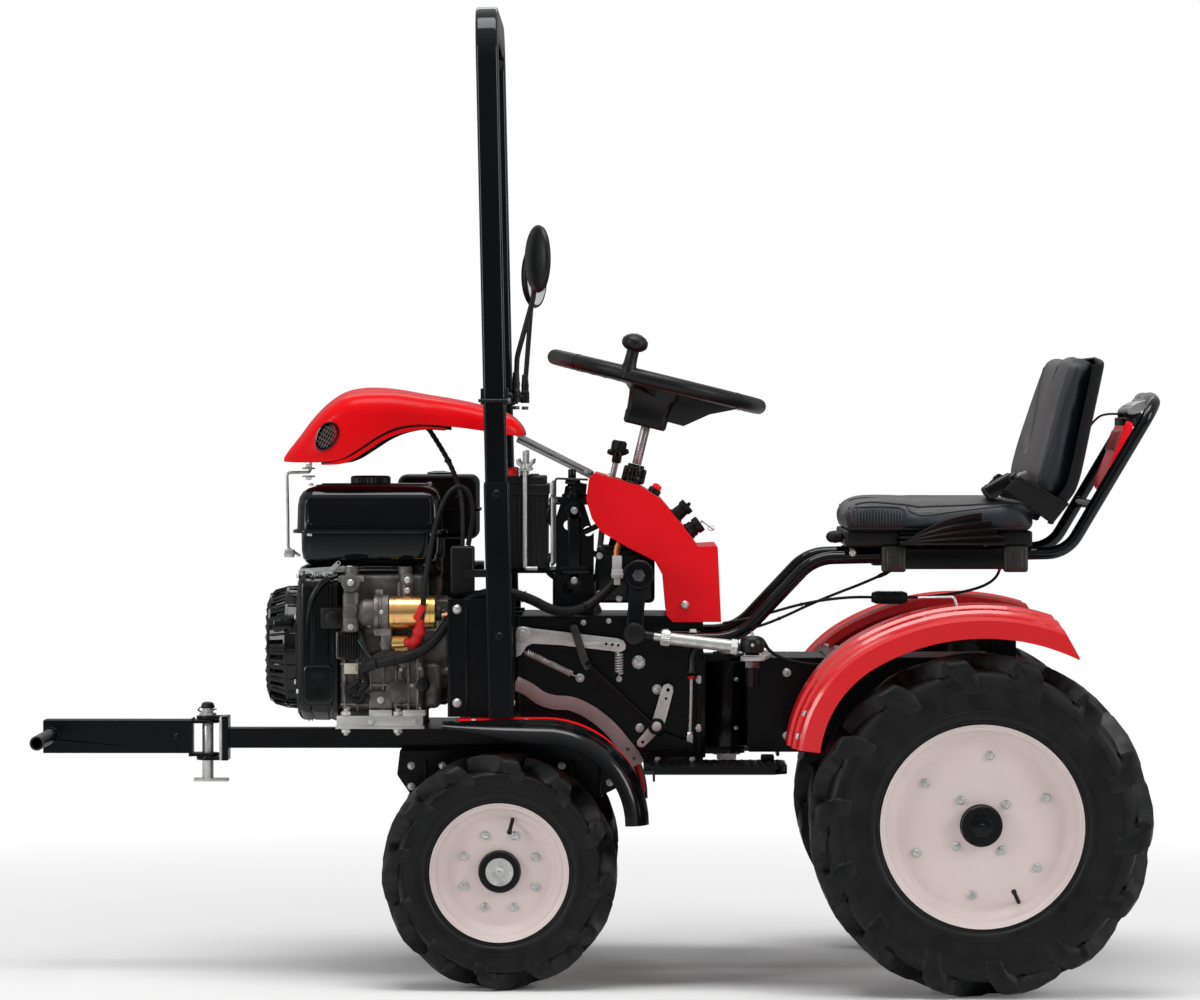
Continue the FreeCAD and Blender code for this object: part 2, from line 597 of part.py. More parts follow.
def tail_lamp():
    """Lamp panel slung between the legs of the tail loop."""
    outline = [(886, 842), (880, 856), (901, 914), (917, 962), (926, 968), (938, 958)]
    panel = profile(outline, (-88, 88))
    clips = [box((921, 950), (y - 9, y + 9), (962, 984)) for y in (-60, 60)]
    reach = [rod(V(936, y, 978), V(956, y, 993.7), 6) for y in (-60, 60)]
    return fuse([panel] + clips + reach)


# ---- steering linkage ---------------------------------------------------------------------------------------
def steering_wheel():
    """Rim, hub, three spokes, shaft top and a spinner knob."""
    up = (STEERING_HUB - steering_point(1)).normalize()
    across = V(math.cos(math.radians(WHEEL_TILT)), 0, -math.sin(math.radians(WHEEL_TILT)))
    rim = Part.makeTorus(STEERING_R, STEERING_RIM_R, STEERING_HUB, up)
    hub_foot = steering_point(50)
    hub = Part.makeCone(34, 42, 50, hub_foot, up)
    cap = Part.makeCone(42, 30, 10, STEERING_HUB, up)
    shaft = rod(steering_point(61.5), hub_foot, 11)
    spokes = []
    for angle in (0, 125, 235):
        turn = math.radians(angle)
        tip = STEERING_HUB + (across * math.cos(turn) + Y_AXIS * math.sin(turn)) * (STEERING_R - 4)
        start = steering_point(24) + (across * math.cos(turn) + Y_AXIS * math.sin(turn)) * 20
        spokes.append(rod(start, tip, 10))
    foot = STEERING_HUB + (across * math.cos(math.radians(257)) + Y_AXIS * math.sin(math.radians(257))) * STEERING_R
    stem = rod(foot, foot + up * 46, 9)
    knob = ball(V(0, 0, 0), 1)
    matrix = FreeCAD.Matrix()
    matrix.A11, matrix.A22, matrix.A33 = 22, 22, 15
    knob = knob.transformGeometry(matrix)
    knob.translate(foot + up * 50)
    return fuse([rim, hub, cap, shaft, stem, knob] + spokes)


def pitman_arm():
    top = cyl(PITMAN_TOP + V(0, 16.5, 0), V(0, -1, 0), 24, 33)
    stub = cyl(PITMAN_TOP + V(0, 16.6, 0), V(0, -1, 0), 12, 37)
    arm = profile([(56, 700), (88, 700), (80, 606), (48, 606)], (PITMAN_TOP.y - 7, PITMAN_TOP.y + 7))
    eye = cyl(PITMAN_BALL + V(0, 15, 0), V(0, -1, 0), 21, 22)
    return fuse([top, stub, arm, eye])


def steering_link():
    """Turnbuckle rod; its rear ball joint is where the closed linkage is opened."""
    shifted = V(0, -17, 0)
    start = PITMAN_BALL + shifted
    end = LINK_BALL + shifted
    direction = (end - start).normalize()
    eye = cyl(PITMAN_BALL + V(0, -7.5, 0), V(0, -1, 0), 19, 20)
    tube = rod(start + direction * 34, end - direction * 26, 9.5)
    necks = [rod(start, start + direction * 36, 8), rod(end - direction * 30, end, 8)]
    nut = rod(end - direction * 40, end - direction * 26, 13)
    joint = soft(cyl(end - V(0, 0, 10), Z_AXIS, 21, 30), 4)
    return fuse([eye, tube, nut, joint] + necks)


# ---- rear half ----------------------------------------------------------------------------------------------
def rear_frame():
    """Plate box on the pivot barrel, with the steering arm, axle posts and the rear hitch."""
    x0, x1 = REAR_FRAME_X
    z0, z1 = REAR_FRAME_Z
    y = REAR_FRAME_Y
    shell = box((x0, x1), (-y, y), (z0, z1))
    hollow = box((x0 + PLATE, x1 - PLATE), (-y + PLATE, y - PLATE), (z0 + PLATE, z1 - PLATE))
    low, high = LUG_Z[1] + 1, LUG_Z[2] - 1
    barrel = cyl(V(PIVOT_X, 0, low), Z_AXIS, PIVOT_R, high - low)
    neck = box((PIVOT_X, x0 + 1), (-24, 24), (low + 8, high - 8))
    king_pin = cyl(V(PIVOT_X, 0, low - 1), Z_AXIS, 16 + RUNNING_GAP, high - low + 2)
    arm = plan([(264, -70), (262, -150), (247, -200), (247, -236), (287, -236), (289, -205), (302, -110), (302, -70)],
               (z1, z1 + 6))
    stud = cyl(V(LINK_BALL.x, LINK_BALL.y - 17, 512), Z_AXIS, 12, z1 - 512 + 1)
    seat_of_axle = cyl(V(REAR_AXLE_X, -200, REAR_TYRE_R), Y_AXIS, AXLE_TUBE_R, 400)
    posts = [box((REAR_AXLE_X - 45, REAR_AXLE_X + 45), (side * 90 - 14, side * 90 + 14), (300, z0)) for side in (-1, 1)]
    hitch = [box((x1, 800), (side * 32 - 5, side * 32 + 5), (400, 470)) for side in (-1, 1)]
    tongues = [box((x1, 830), (-37, 37), (z, z + 8)) for z in (400, 462)]
    body = fuse([shell.cut(hollow), neck, arm, stud] + posts + hitch + tongues + [barrel])
    hitch_bore = cyl(V(812, 0, 390), Z_AXIS, HITCH_BORE_R, 100)
    return body.cut([king_pin, hitch_bore, seat_of_axle])


def rear_axle():
    tubes = axle_tube(REAR_AXLE_X, REAR_TYRE_R, 60, 290, AXLE_TUBE_R, 19, 80)
    case = soft(cyl(V(REAR_AXLE_X, -62, REAR_TYRE_R), Y_AXIS, 92, 124), 24)
    return fuse([case] + tubes)


FENDER_ANGLES = (64.3, 120.0, 173.5)                  # rear end, where the two arcs meet, front end
FENDER_CENTRE, FENDER_R, FENDER_FRONT_R = V(650, 0, 242), 401.0, 227.6
FENDER_FRONT_CENTRE = FENDER_CENTRE + V(-0.5, 0, math.sqrt(0.75)) * (FENDER_R - FENDER_FRONT_R)
FENDER_ARCS = ((FENDER_CENTRE, FENDER_R), (FENDER_FRONT_CENTRE, FENDER_FRONT_R))
FENDER_OUTSIDE = [(-460, 38), (-460, 8), (-456, 2), (-448, 0), (-425, -3), (-420, -8), (-400, -10), (-395, -6),
                  (-355, -9), (-350, -14), (-330, -15), (-325, -11), (-240, -14), (-226, -13), (-220, -8), (-220, 6)]
FENDER_INSIDE = [(-223, 6), (-223, -7), (-227, -10), (-240, -11), (-325, -8), (-330, -12), (-350, -11), (-355, -6),
                 (-395, -3), (-400, -7), (-420, -5), (-425, 0), (-448, 3), (-453, 5), (-457, 9), (-457, 38)]


def turned(section, centre_x, centre_z, radius, first, last):
    """Section of (Y, drop below the radius) points, turned about a cross-wise axis between two angles."""
    corners = [V(centre_x, y, centre_z + radius - drop) for y, drop in section]
    face = Part.Face(Part.makePolygon(corners + corners[:1]))
    centre = V(centre_x, 0, centre_z)
    face.rotate(centre, Y_AXIS, 90 - first)
    return face.revolve(centre, Y_AXIS, first - last)


def along_fender(section):
    pieces = []
    for (centre, radius), first, last in zip(FENDER_ARCS, FENDER_ANGLES, FENDER_ANGLES[1:]):
        pieces.append(turned(section, centre.x, centre.z, radius, first, last))
    return pieces


def rear_fender(side):
    """Pressed wheel cover: crowned top with two raised beads, a deep outer skirt, its rear end cut on a slant."""
    cover = fuse(along_fender(FENDER_OUTSIDE + FENDER_INSIDE))
    slant = profile([(746, 685), (833, 529), (900, 529), (900, 685)], (-480, -200))
    return for_side(cover.cut(slant), side)


def fender_supports():
    """Cross plates from the rear frame to the fenders, and their end stays."""
    front = box((396, 440), (-440, 440), (REAR_FRAME_Z[1], REAR_FRAME_Z[1] + 5))
    posts = [box((690, 730), (side * 80 - 10, side * 80 + 10), (REAR_FRAME_Z[1], 636)) for side in (-1, 1)]
    rear = fuse([box((690, 730), (-440, 440), (634, 639))] + posts)
    above = along_fender(FENDER_INSIDE + [(-470, 38), (-470, -90), (-219, -90), (-219, 6)])
    above += [mirrored(shape) for shape in above]
    return Part.makeCompound([front.cut(above), rear.cut(above)])


# ---- wheels -------------------------------------------------------------------------------------------------
def tyre(centre_x, radius, y, rim_radius):
    """Hollow tyre carcass, its outside at the height of the tread bars."""
    y0, y1 = y
    shoulder, wall = radius * 0.035, (y1 - y0) * 0.06
    outer = [(-y1 + 16, rim_radius - 10.4), (-y1 + 13.6, rim_radius + 2), (-y1 + wall, rim_radius + 10),
             (-y1, (radius + rim_radius) / 2), (-y1 + 3, radius - 4 * shoulder), (-y1 + 12, radius - shoulder), (-y1 + 30, radius),
             (-y0 - 30, radius), (-y0 - 12, radius - shoulder), (-y0 - 3, radius - 4 * shoulder),
             (-y0, (radius + rim_radius) / 2), (-y0 - wall, rim_radius + 10), (-y0 - 13.6, rim_radius + 2),
             (-y0 - 16, rim_radius - 10.4)]
    inner = [(-y0 - 26, rim_radius - 10.4), (-y0 - 20, rim_radius + 14), (-y0 - 14, (radius + rim_radius) / 2),
             (-y0 - 24, radius - 26), (-y1 + 24, radius - 26), (-y1 + 14, (radius + rim_radius) / 2),
             (-y1 + 20, rim_radius + 14), (-y1 + 26, rim_radius - 10.4)]
    return revolved(outer + inner, centre_x, radius)


def rim(centre_x, axle_z, y, flange, hub_radius, shaft_radius, shaft_end):
    """Welded steel wheel: rolled rim, dished disc, hub and the live shaft that runs into the axle tube."""
    y0, y1 = y
    out, back = -y1 + 9, -y0 - 9
    disc = -y1 + 38
    outline = [(out, flange), (out + 3, flange), (out + 6, flange - 10.5), (back - 6, flange - 10.5),
               (back - 3, flange), (back, flange), (back - 1, flange - 15), (disc + 12, flange - 20),
               (disc + 6, flange - 32), (disc + 6, hub_radius), (disc + 34, hub_radius), (disc + 34, shaft_radius),
               (shaft_end, shaft_radius), (shaft_end, 0), (disc - 34, 0), (disc - 34, hub_radius),
               (disc, hub_radius), (disc, flange - 36), (disc + 4, flange - 24), (out + 2, flange - 14)]
    return revolved(outline, centre_x, axle_z)


# ---- front hitch --------------------------------------------------------------------------------------------
def front_drawbar():
    """Flat bar under the engine with a fork for the front bar's pin."""
    bar = box((-655, FRONT_FRAME_X[0]), (-22, 22), (393, 428))
    plate = box((-661, -649), (-26, 26), (371, 449))
    ears = []
    for z in (371, 443):
        ear = box((DRAWBAR_PIN_X, -649), (-20, 20), (z, z + 6)).fuse(cyl(V(DRAWBAR_PIN_X, 0, z), Z_AXIS, 20, 6))
        ears.append(ear)
    hole = cyl(V(DRAWBAR_PIN_X, 0, 360), Z_AXIS, DRAWBAR_PIN_R + RUNNING_GAP, 100)
    return fuse([bar, plate] + ears).cut(hole)


def front_bar():
    """Square bar with a cross tube at its front and a clevis at its rear."""
    bar = box((-975, -713), (-25, 25), (384, 442))
    cavity = box((-969, -719), (-21, 21), (388, 438))
    shell = bar.cut(cavity)
    ears = []
    for z in (378, 436):
        ear = box((-719, DRAWBAR_PIN_X), (-20, 20), (z, z + 6)).fuse(cyl(V(DRAWBAR_PIN_X, 0, z), Z_AXIS, 20, 6))
        ears.append(ear)
    end = box((-719, -713), (-25, 25), (378, 442))
    half = CROSS_TUBE_LENGTH / 2
    cross = cyl(V(CROSS_TUBE_X, -half, CROSS_TUBE_Z), Y_AXIS, CROSS_TUBE_R, CROSS_TUBE_LENGTH)
    bore = cyl(V(CROSS_TUBE_X, -half - 1, CROSS_TUBE_Z), Y_AXIS, CROSS_TUBE_BORE, CROSS_TUBE_LENGTH + 2)
    hole = cyl(V(DRAWBAR_PIN_X, 0, 360), Z_AXIS, DRAWBAR_PIN_R + 0.05, 100)
    return fuse([shell, end, cross] + ears).cut([bore, hole])


def hitch_pin():
    """Pin with a flag handle below and a ring clip above."""
    pin = cyl(V(DRAWBAR_PIN_X, 0, 331), Z_AXIS, DRAWBAR_PIN_R, 137)
    flag = box((-712, -652), (-8, 8), (333, 339))
    collar = cyl(V(DRAWBAR_PIN_X, 0, 449.5), Z_AXIS, 15, 4)
    return fuse([pin, flag, collar])


# ---- cables -------------------------------------------------------------------------------------------------
def cables():
    routes = {
        "wiring_conduit": (8.5, [V(-376, -222, 552), V(-330, -232, 560), V(-290, -228, 578), V(-262, -212, 612),
                                 V(-240, -200, 645), V(-208, -196, 668), V(-165, -194, 676), V(-118, -192, 664),
                                 V(-72, -184, 638), V(-30, -170, 640), V(8, -150, 664), V(34, -140, 692)]),
        "hood_wire": (4.0, [V(-322, -60, 1008), V(-312, -60, 984), V(-296, -62, 956), V(-276, -70, 926),
                            V(-258, -84, 896), V(-244, -102, 864), V(-236, -122, 832), V(-233, -138, 798),
                            V(-233, -146, 753)]),
        "starter_cable": (4.5, [V(-300, -231, 628), V(-297, -234, 670), V(-292, -232, 712), V(-285, -226, 752),
                                V(-277, -213, 792), V(-266, -200, 826), V(-252, -188, 850), V(-235, -177, 857),
                                V(-220, -169, 844), V(-214, -163, 815), V(-217, -160, 784), V(-223, -158, 753)]),
        "seat_cable": (2.5, [V(218, -150, 618), V(262, -150, 625), V(306, -150, 638), V(352, -150, 651),
                             V(402, -150, 660), V(452, -150, 664), V(502, -150, 662), V(552, -150, 663),
                             V(602, -150, 667), V(648, -150, 675), V(682, -150, 688), V(698, -150, 708),
                             V(696, -150, 730), V(690, -150, 749.5)]),
        "adjuster_cable": (2.5, [V(230, -140, 600), V(276, -140, 610), V(322, -140, 628), V(368, -140, 650),
                                 V(416, -140, 670), V(464, -140, 688), V(508, -140, 708)]),
        "tail_lamp_wire": (2.0, [V(853, -60, 947), V(866, -60, 968), V(886, -60, 982), V(912, -60, 980)]),
        "rear_brake_cable": (3.0, [V(285, -130, 590), V(294, -128, 574), V(310, -123, 561), V(331, -117, 552),
                                   V(358, -112, 546), V(394, -110, 543)]),
    }
    return {name: cord(name, points, radius) for name, (radius, points) in routes.items()}


# ---- all nodes ----------------------------------------------------------------------------------------------
def build():
    nodes = {
        "front_frame": front_frame(),
        "transmission": transmission(),
        "front_axle": front_axle(),
        "engine_block": engine_block(),
        "fan_housing": fan_housing(),
        "recoil_cover": recoil_cover(),
        "fuel_tank": fuel_tank(),
        "fuel_cap": fuel_cap(),
        "starter_motor": starter_motor(),
        "muffler": muffler(),
        "air_filter": air_filter(),
        "battery": battery(),
        "column_bracket": column_bracket(),
        "hood": hood(),
        "hood_lamps": hood_lamps(),
        "hood_supports": hood_supports(),
        "roll_hoop": roll_hoop(),
        "dash_panel": dash_panel(),
        "driver_controls": driver_controls(),
        "steering_column": steering_column(),
        "control_linkage": control_linkage(),
        "fender_flares": fender_flares(),
        "seat_frame": seat_frame(),
        "seat_base": seat_base(),
        "seat_bellows": seat_bellows(),
        "seat_cushion": seat_cushion(),
        "seat_back": seat_back(),
        "tail_lamp": tail_lamp(),
        "front_drawbar": front_drawbar(),
        "front_bar": front_bar(),
        "hitch_pin": hitch_pin(),
        "steering_wheel": steering_wheel(),
        "pitman_arm": pitman_arm(),
        "steering_link": steering_link(),
        "rear_frame": rear_frame(),
        "rear_axle": rear_axle(),
        "fender_supports": fender_supports(),
        "relay_box": relay_box(),
        "footrests": Part.makeCompound([footrest(side) for side in SIDES]),
    }
    for side in SIDES:
        nodes[f"mirror_{side}"] = mirror(side)
        nodes[f"front_fender_{side}"] = front_fender(side)
        nodes[f"rear_fender_{side}"] = rear_fender(side)
        nodes[f"front_tyre_{side}"] = for_side(tyre(FRONT_AXLE_X, FRONT_TYRE_R, FRONT_TYRE_Y, FRONT_RIM_R), side)
        nodes[f"rear_tyre_{side}"] = for_side(tyre(REAR_AXLE_X, REAR_TYRE_R, REAR_TYRE_Y, REAR_RIM_R), side)
        front = rim(FRONT_AXLE_X, FRONT_TYRE_R, FRONT_TYRE_Y, FRONT_RIM_R, 35, 16, -155)
        rear = rim(REAR_AXLE_X, REAR_TYRE_R, REAR_TYRE_Y, REAR_RIM_R, 34, 19, -218)
        nodes[f"front_rim_{side}"] = for_side(front, side)
        nodes[f"rear_rim_{side}"] = for_side(rear, side)
    nodes.update(cables())
    return nodes


def main():
    os.makedirs("parts", exist_ok=True)
    for name, shape in build().items():
        if not shape.isValid():
            print("invalid:", name)
        shape.exportStep(f"parts/{name}.step")


main()
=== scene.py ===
# %% [markdown]
# # Mini tractor
# The tractor is two halves joined at an upright pin: a front half with the engine, the roll hoop and the seat, and
# a rear half with the big wheels. Its solid parts arrive as a ready frame that keeps every size. This script gives
# that frame its finishes and adds what makes it look made: tyre bars, bolts, springs, cables and stitched vinyl.
# Lengths in the cells are in millimetres, with +X to the rear, +Y to the right and +Z up.

# %% Load the frame
import json
import math
import random

import bmesh
import bpy
from mathutils import Matrix, Vector
from mathutils.bvhtree import BVHTree

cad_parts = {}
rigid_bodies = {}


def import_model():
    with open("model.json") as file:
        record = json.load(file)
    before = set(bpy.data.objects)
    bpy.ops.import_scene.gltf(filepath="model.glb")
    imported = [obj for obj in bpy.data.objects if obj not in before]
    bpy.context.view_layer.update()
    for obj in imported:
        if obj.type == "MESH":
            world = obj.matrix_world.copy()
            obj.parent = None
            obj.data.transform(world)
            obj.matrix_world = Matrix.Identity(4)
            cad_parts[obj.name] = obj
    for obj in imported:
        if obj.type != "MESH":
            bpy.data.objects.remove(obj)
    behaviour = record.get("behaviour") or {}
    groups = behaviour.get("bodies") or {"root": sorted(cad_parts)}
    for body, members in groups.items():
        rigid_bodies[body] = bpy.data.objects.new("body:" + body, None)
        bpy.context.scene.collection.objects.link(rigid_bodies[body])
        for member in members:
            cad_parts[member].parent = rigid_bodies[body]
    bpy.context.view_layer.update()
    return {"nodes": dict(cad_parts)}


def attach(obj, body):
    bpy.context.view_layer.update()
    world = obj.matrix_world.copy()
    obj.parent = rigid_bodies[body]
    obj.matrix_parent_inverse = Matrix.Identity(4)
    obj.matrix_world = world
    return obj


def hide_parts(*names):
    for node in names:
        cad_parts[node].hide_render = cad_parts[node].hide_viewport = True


for thing in list(bpy.data.objects):
    bpy.data.objects.remove(thing)
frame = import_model()
nodes = frame["nodes"]
random.seed(7)

# %% [markdown]
# Every piece is built in its own small mesh, called a bmesh, and then handed to one function that makes the object,
# hangs it on the body it moves with and gives it a finish. Building in a bmesh first means that one object can hold
# many bolts or plates, which keeps the list of pieces short.

# %% Points, and turning a bmesh into a piece
MM = 0.001
X, Y, Z = Vector((1, 0, 0)), Vector((0, 1, 0)), Vector((0, 0, 1))
SIDES = {"left": -1, "right": 1}


def P(x, y, z):
    return Vector((x, y, z)) * MM


def merge(shapes):
    whole = bmesh.new()
    for shape in shapes:
        mesh = bpy.data.meshes.new("part")
        shape.to_mesh(mesh)
        shape.free()
        whole.from_mesh(mesh)
        bpy.data.meshes.remove(mesh)
    return whole


def piece(name, shapes, body, material, smooth=35):
    """Makes one object out of the shapes and hangs it on a body."""
    whole = merge(shapes if isinstance(shapes, (list, tuple)) else [shapes])
    mesh = bpy.data.meshes.new(name)
    whole.to_mesh(mesh)
    whole.free()
    mesh.shade_smooth()
    mesh.set_sharp_from_angle(angle=math.radians(smooth))
    mesh.materials.append(material)
    obj = bpy.data.objects.new(name, mesh)
    bpy.context.scene.collection.objects.link(obj)
    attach(obj, body)
    return obj


# %% [markdown]
# Most of a tractor is blocks with softened edges, turned parts, bent rods and flat plates. Each of those gets one
# helper. A real edge is never razor sharp, so every block and plate has a small round that catches the light.

# %% Blocks and turned parts
def block(low, high, edge=1.0, steps=2):
    shape = bmesh.new()
    bmesh.ops.create_cube(shape, size=1.0)
    low, high = P(*low), P(*high)
    for vert in shape.verts:
        vert.co = Vector([(a + b) / 2 + c * (b - a) for a, b, c in zip(low, high, vert.co)])
    if edge:
        bmesh.ops.bevel(shape, geom=shape.edges[:], offset=edge * MM, segments=steps, profile=0.5,
                        affect="EDGES", clamp_overlap=True)
    return shape


def frame_along(axis):
    axis = Vector(axis).normalized()
    side = axis.cross(Z if abs(axis.z) < 0.9 else X).normalized()
    return axis, side, axis.cross(side)


def skin(rings, closed=True, ends=True):
    """Joins rings of points, each with the same count, into one surface."""
    shape = bmesh.new()
    rows = [[shape.verts.new(point) for point in ring] for ring in rings]
    count = len(rows[0])
    for row, after in zip(rows, rows[1:]):
        for i in range(count if closed else count - 1):
            j = (i + 1) % count
            shape.faces.new((row[i], row[j], after[j], after[i]))
    if ends:
        shape.faces.new(rows[0][::-1])
        shape.faces.new(rows[-1])
    bmesh.ops.recalc_face_normals(shape, faces=shape.faces)
    return shape


def turned(outline, centre, axis, steps=40, sweep=360.0):
    """Spins an outline of (distance along the axis, radius) points about an axis."""
    axis, side, up = frame_along(axis)
    start = P(*centre)
    rings = []
    for i in range(steps if sweep == 360.0 else steps + 1):
        angle = math.radians(sweep) * i / steps
        out = side * math.cos(angle) + up * math.sin(angle)
        rings.append([start + axis * a * MM + out * max(r, 0.01) * MM for a, r in outline])
    if sweep == 360.0:
        rings.append(rings[0])
    shape = skin(rings, closed=False, ends=False)
    bmesh.ops.remove_doubles(shape, verts=shape.verts, dist=0.00004)
    bmesh.ops.recalc_face_normals(shape, faces=shape.faces)
    return shape


def round_bar(start, end, radius, edge=1.0, steps=28):
    start, end = Vector(start), Vector(end)
    length = (end - start).length
    edge = min(edge, radius * 0.6, length * 0.4)
    outline = [(0, 0), (0, radius - edge), (edge * 0.3, radius - edge * 0.3), (edge, radius),
               (length - edge, radius), (length - edge * 0.3, radius - edge * 0.3), (length, radius - edge),
               (length, 0)]
    return turned(outline, start, end - start, steps)


# %% Bent rods and coils
def eased(points, steps=6):
    """A smooth line through the points (Catmull-Rom)."""
    pts = [Vector(p) for p in points]
    pts = [pts[0] * 2 - pts[1]] + pts + [pts[-1] * 2 - pts[-2]]
    line = []
    for a, b, c, d in zip(pts, pts[1:], pts[2:], pts[3:]):
        for i in range(steps):
            t = i / steps
            line.append(0.5 * (b * 2 + (c - a) * t + (a * 2 - b * 5 + c * 4 - d) * t * t
                               + (b * 3 - a - c * 3 + d) * t ** 3))
    return line + [pts[-2]]


def filleted(points, radius, steps=6):
    """A line whose corners are rounded by a bend of the given radius."""
    pts = [Vector(p) for p in points]
    line = [pts[0]]
    for before, corner, after in zip(pts, pts[1:], pts[2:]):
        u, v = (before - corner).normalized(), (after - corner).normalized()
        half = u.angle(v) / 2
        run = min(radius / math.tan(half), (before - corner).length * 0.49, (after - corner).length * 0.49)
        for i in range(steps + 1):
            t = i / steps
            line.append((corner + u * run) * (1 - t) ** 2 + corner * 2 * t * (1 - t) + (corner + v * run) * t * t)
    return line + [pts[-1]]


def pipe(points, radius, steps=10, section=None, twist=0.0, ends=True):
    """Sweeps a circle, or a section of (side, up) points, along a line in millimetres."""
    pts = [Vector(p) for p in points]
    radii = radius if isinstance(radius, (list, tuple)) else [radius] * len(pts)
    if section is None:
        section = [(math.cos(math.tau * i / steps), math.sin(math.tau * i / steps)) for i in range(steps)]
    ahead = [(b - a).normalized() for a, b in zip(pts, pts[1:])]
    tangents = [ahead[0]] + [(a + b).normalized() for a, b in zip(ahead, ahead[1:])] + [ahead[-1]]
    _, side, _ = frame_along(tangents[0])
    rings = []
    for point, tangent, r in zip(pts, tangents, radii):
        side = (side - tangent * side.dot(tangent)).normalized()
        up = tangent.cross(side)
        rings.append([(point + (side * a + up * b) * r) * MM for a, b in section])
        if twist:
            side = Matrix.Rotation(twist, 3, tangent) @ side
    return skin(rings, ends=ends)


def coil(start, end, radius, wire, turns, hooks=True, per_turn=14):
    """A wound spring with a straight hook at each end."""
    start, end = Vector(start), Vector(end)
    axis, side, up = frame_along(end - start)
    gap = radius * 1.6 if hooks else 0.0
    length = (end - start).length - 2 * gap
    line = [start] if hooks else []
    for i in range(int(turns * per_turn) + 1):
        t = i / (turns * per_turn)
        angle = math.tau * turns * t
        line.append(start + axis * (gap + length * t)
                    + side * math.cos(angle) * radius + up * math.sin(angle) * radius)
    if hooks:
        line.append(end)
    return pipe(line, wire, 6)


# %% Flat plates with holes
def flat_plate(outline, holes, thickness, place, edge=0.6):
    """A plate from a flat outline, with round holes of (u, v, radius), put in place by (origin, u axis, v axis)."""
    curve = bpy.data.curves.new("plate", "CURVE")
    curve.dimensions = "2D"
    curve.fill_mode = "BOTH"
    curve.extrude = max(thickness / 2 - edge, 0.05) * MM
    curve.bevel_depth = edge * MM
    curve.bevel_resolution = 1
    curve.offset = -edge * MM
    rings = [outline] + [[(u + r * math.cos(math.tau * i / 20), v + r * math.sin(math.tau * i / 20))
                          for i in range(20)] for u, v, r in holes]
    for ring in rings:
        spline = curve.splines.new("POLY")
        spline.points.add(len(ring) - 1)
        for point, (u, v) in zip(spline.points, ring):
            point.co = (u * MM, v * MM, 0, 1)
        spline.use_cyclic_u = True
    holder = bpy.data.objects.new("plate", curve)
    mesh = bpy.data.meshes.new_from_object(holder)
    shape = bmesh.new()
    shape.from_mesh(mesh)
    bpy.data.objects.remove(holder)
    bpy.data.curves.remove(curve)
    bpy.data.meshes.remove(mesh)
    origin, u_axis, v_axis = P(*place[0]), Vector(place[1]).normalized(), Vector(place[2]).normalized()
    normal = u_axis.cross(v_axis)
    for vert in shape.verts:
        vert.co = origin + u_axis * vert.co.x + v_axis * vert.co.y + normal * vert.co.z
    bmesh.ops.remove_doubles(shape, verts=shape.verts, dist=0.00002)
    bmesh.ops.recalc_face_normals(shape, faces=shape.faces)
    return shape


def bar_outline(start, end, r1, r2=None):
    """The outline of a lever: two round ends and straight flanks."""
    r2 = r1 if r2 is None else r2
    (u0, v0), (u1, v1) = start, end
    turn = math.atan2(v1 - v0, u1 - u0)
    ring = []
    for cu, cv, r, first in ((u1, v1, r2, -90), (u0, v0, r1, 90)):
        for i in range(13):
            a = turn + math.radians(first + 15 * i)
            ring.append((cu + r * math.cos(a), cv + r * math.sin(a)))
    return ring


def side_plate(outline, y, thickness, holes=(), edge=0.6):
    """A plate standing along the tractor, its outline in (x, z)."""
    return flat_plate(outline, holes, thickness, ((0, y, 0), X, Z), edge)


# %% Bolts
def hexagon(centre, axis, across, height, chamfer=0.12):
    axis, side, up = frame_along(axis)
    base, r = P(*centre), across / 2 / math.cos(math.pi / 6)
    rings = []
    for rise, scale in ((0, 1.0), (height * 0.86, 1.0), (height, 1.0 - chamfer)):
        rings.append([base + axis * rise * MM
                      + (side * math.cos(a) + up * math.sin(a)) * r * scale * MM
                      for a in (math.tau * i / 6 for i in range(6))])
    return skin(rings)


def bolt(centre, axis, size=8.0, washer=True, nut=False):
    """A hex bolt head on a washer, or a nut with the bolt's end standing out of it."""
    axis = Vector(axis).normalized()
    centre = Vector(centre)
    shapes = []
    thick = size * 0.18
    if washer:
        shapes.append(turned([(0, 0), (0, size * 1.05), (thick * 0.7, size * 1.05), (thick, size * 0.98),
                              (thick, 0)], centre, axis, 24))
        centre = centre + axis * thick
    shapes.append(hexagon(centre, axis, size * 1.6, size * 0.62))
    top = size * 0.62
    if nut:
        shapes.append(turned([(top * 0.5, size * 0.5), (top + size * 0.35, size * 0.5),
                              (top + size * 0.45, size * 0.4), (top + size * 0.45, 0)], centre, axis, 16))
    else:
        shapes.append(turned([(top * 0.98, size * 0.62), (top * 1.1, size * 0.5), (top * 1.1, 0)],
                             centre, axis, 16))
    return merge(shapes)


def bolts(name, places, body, material):
    """Several bolts in one piece: places are (point, axis, size) or (point, axis, size, True for a nut)."""
    return piece(name, [bolt(p[0], p[1], p[2], nut=len(p) > 3 and p[3]) for p in places], body, material)


print("helpers ready")
# %% [markdown]
# Paint, plastic, rubber and bare metal all share a few effects: a fine grain that breaks up the gloss, a slow drift
# in colour, a second tone on sharp edges and a little dust on what faces up. The edge tone is wear on most finishes
# and a painted highlight on the tyres and castings. Each effect is a node group, built once. Every material keeps
# its own shader and takes the groups with its own numbers.

# %% Effects shared by the finishes
SOCKETS = {"color": "NodeSocketColor", "float": "NodeSocketFloat", "vector": "NodeSocketVector"}


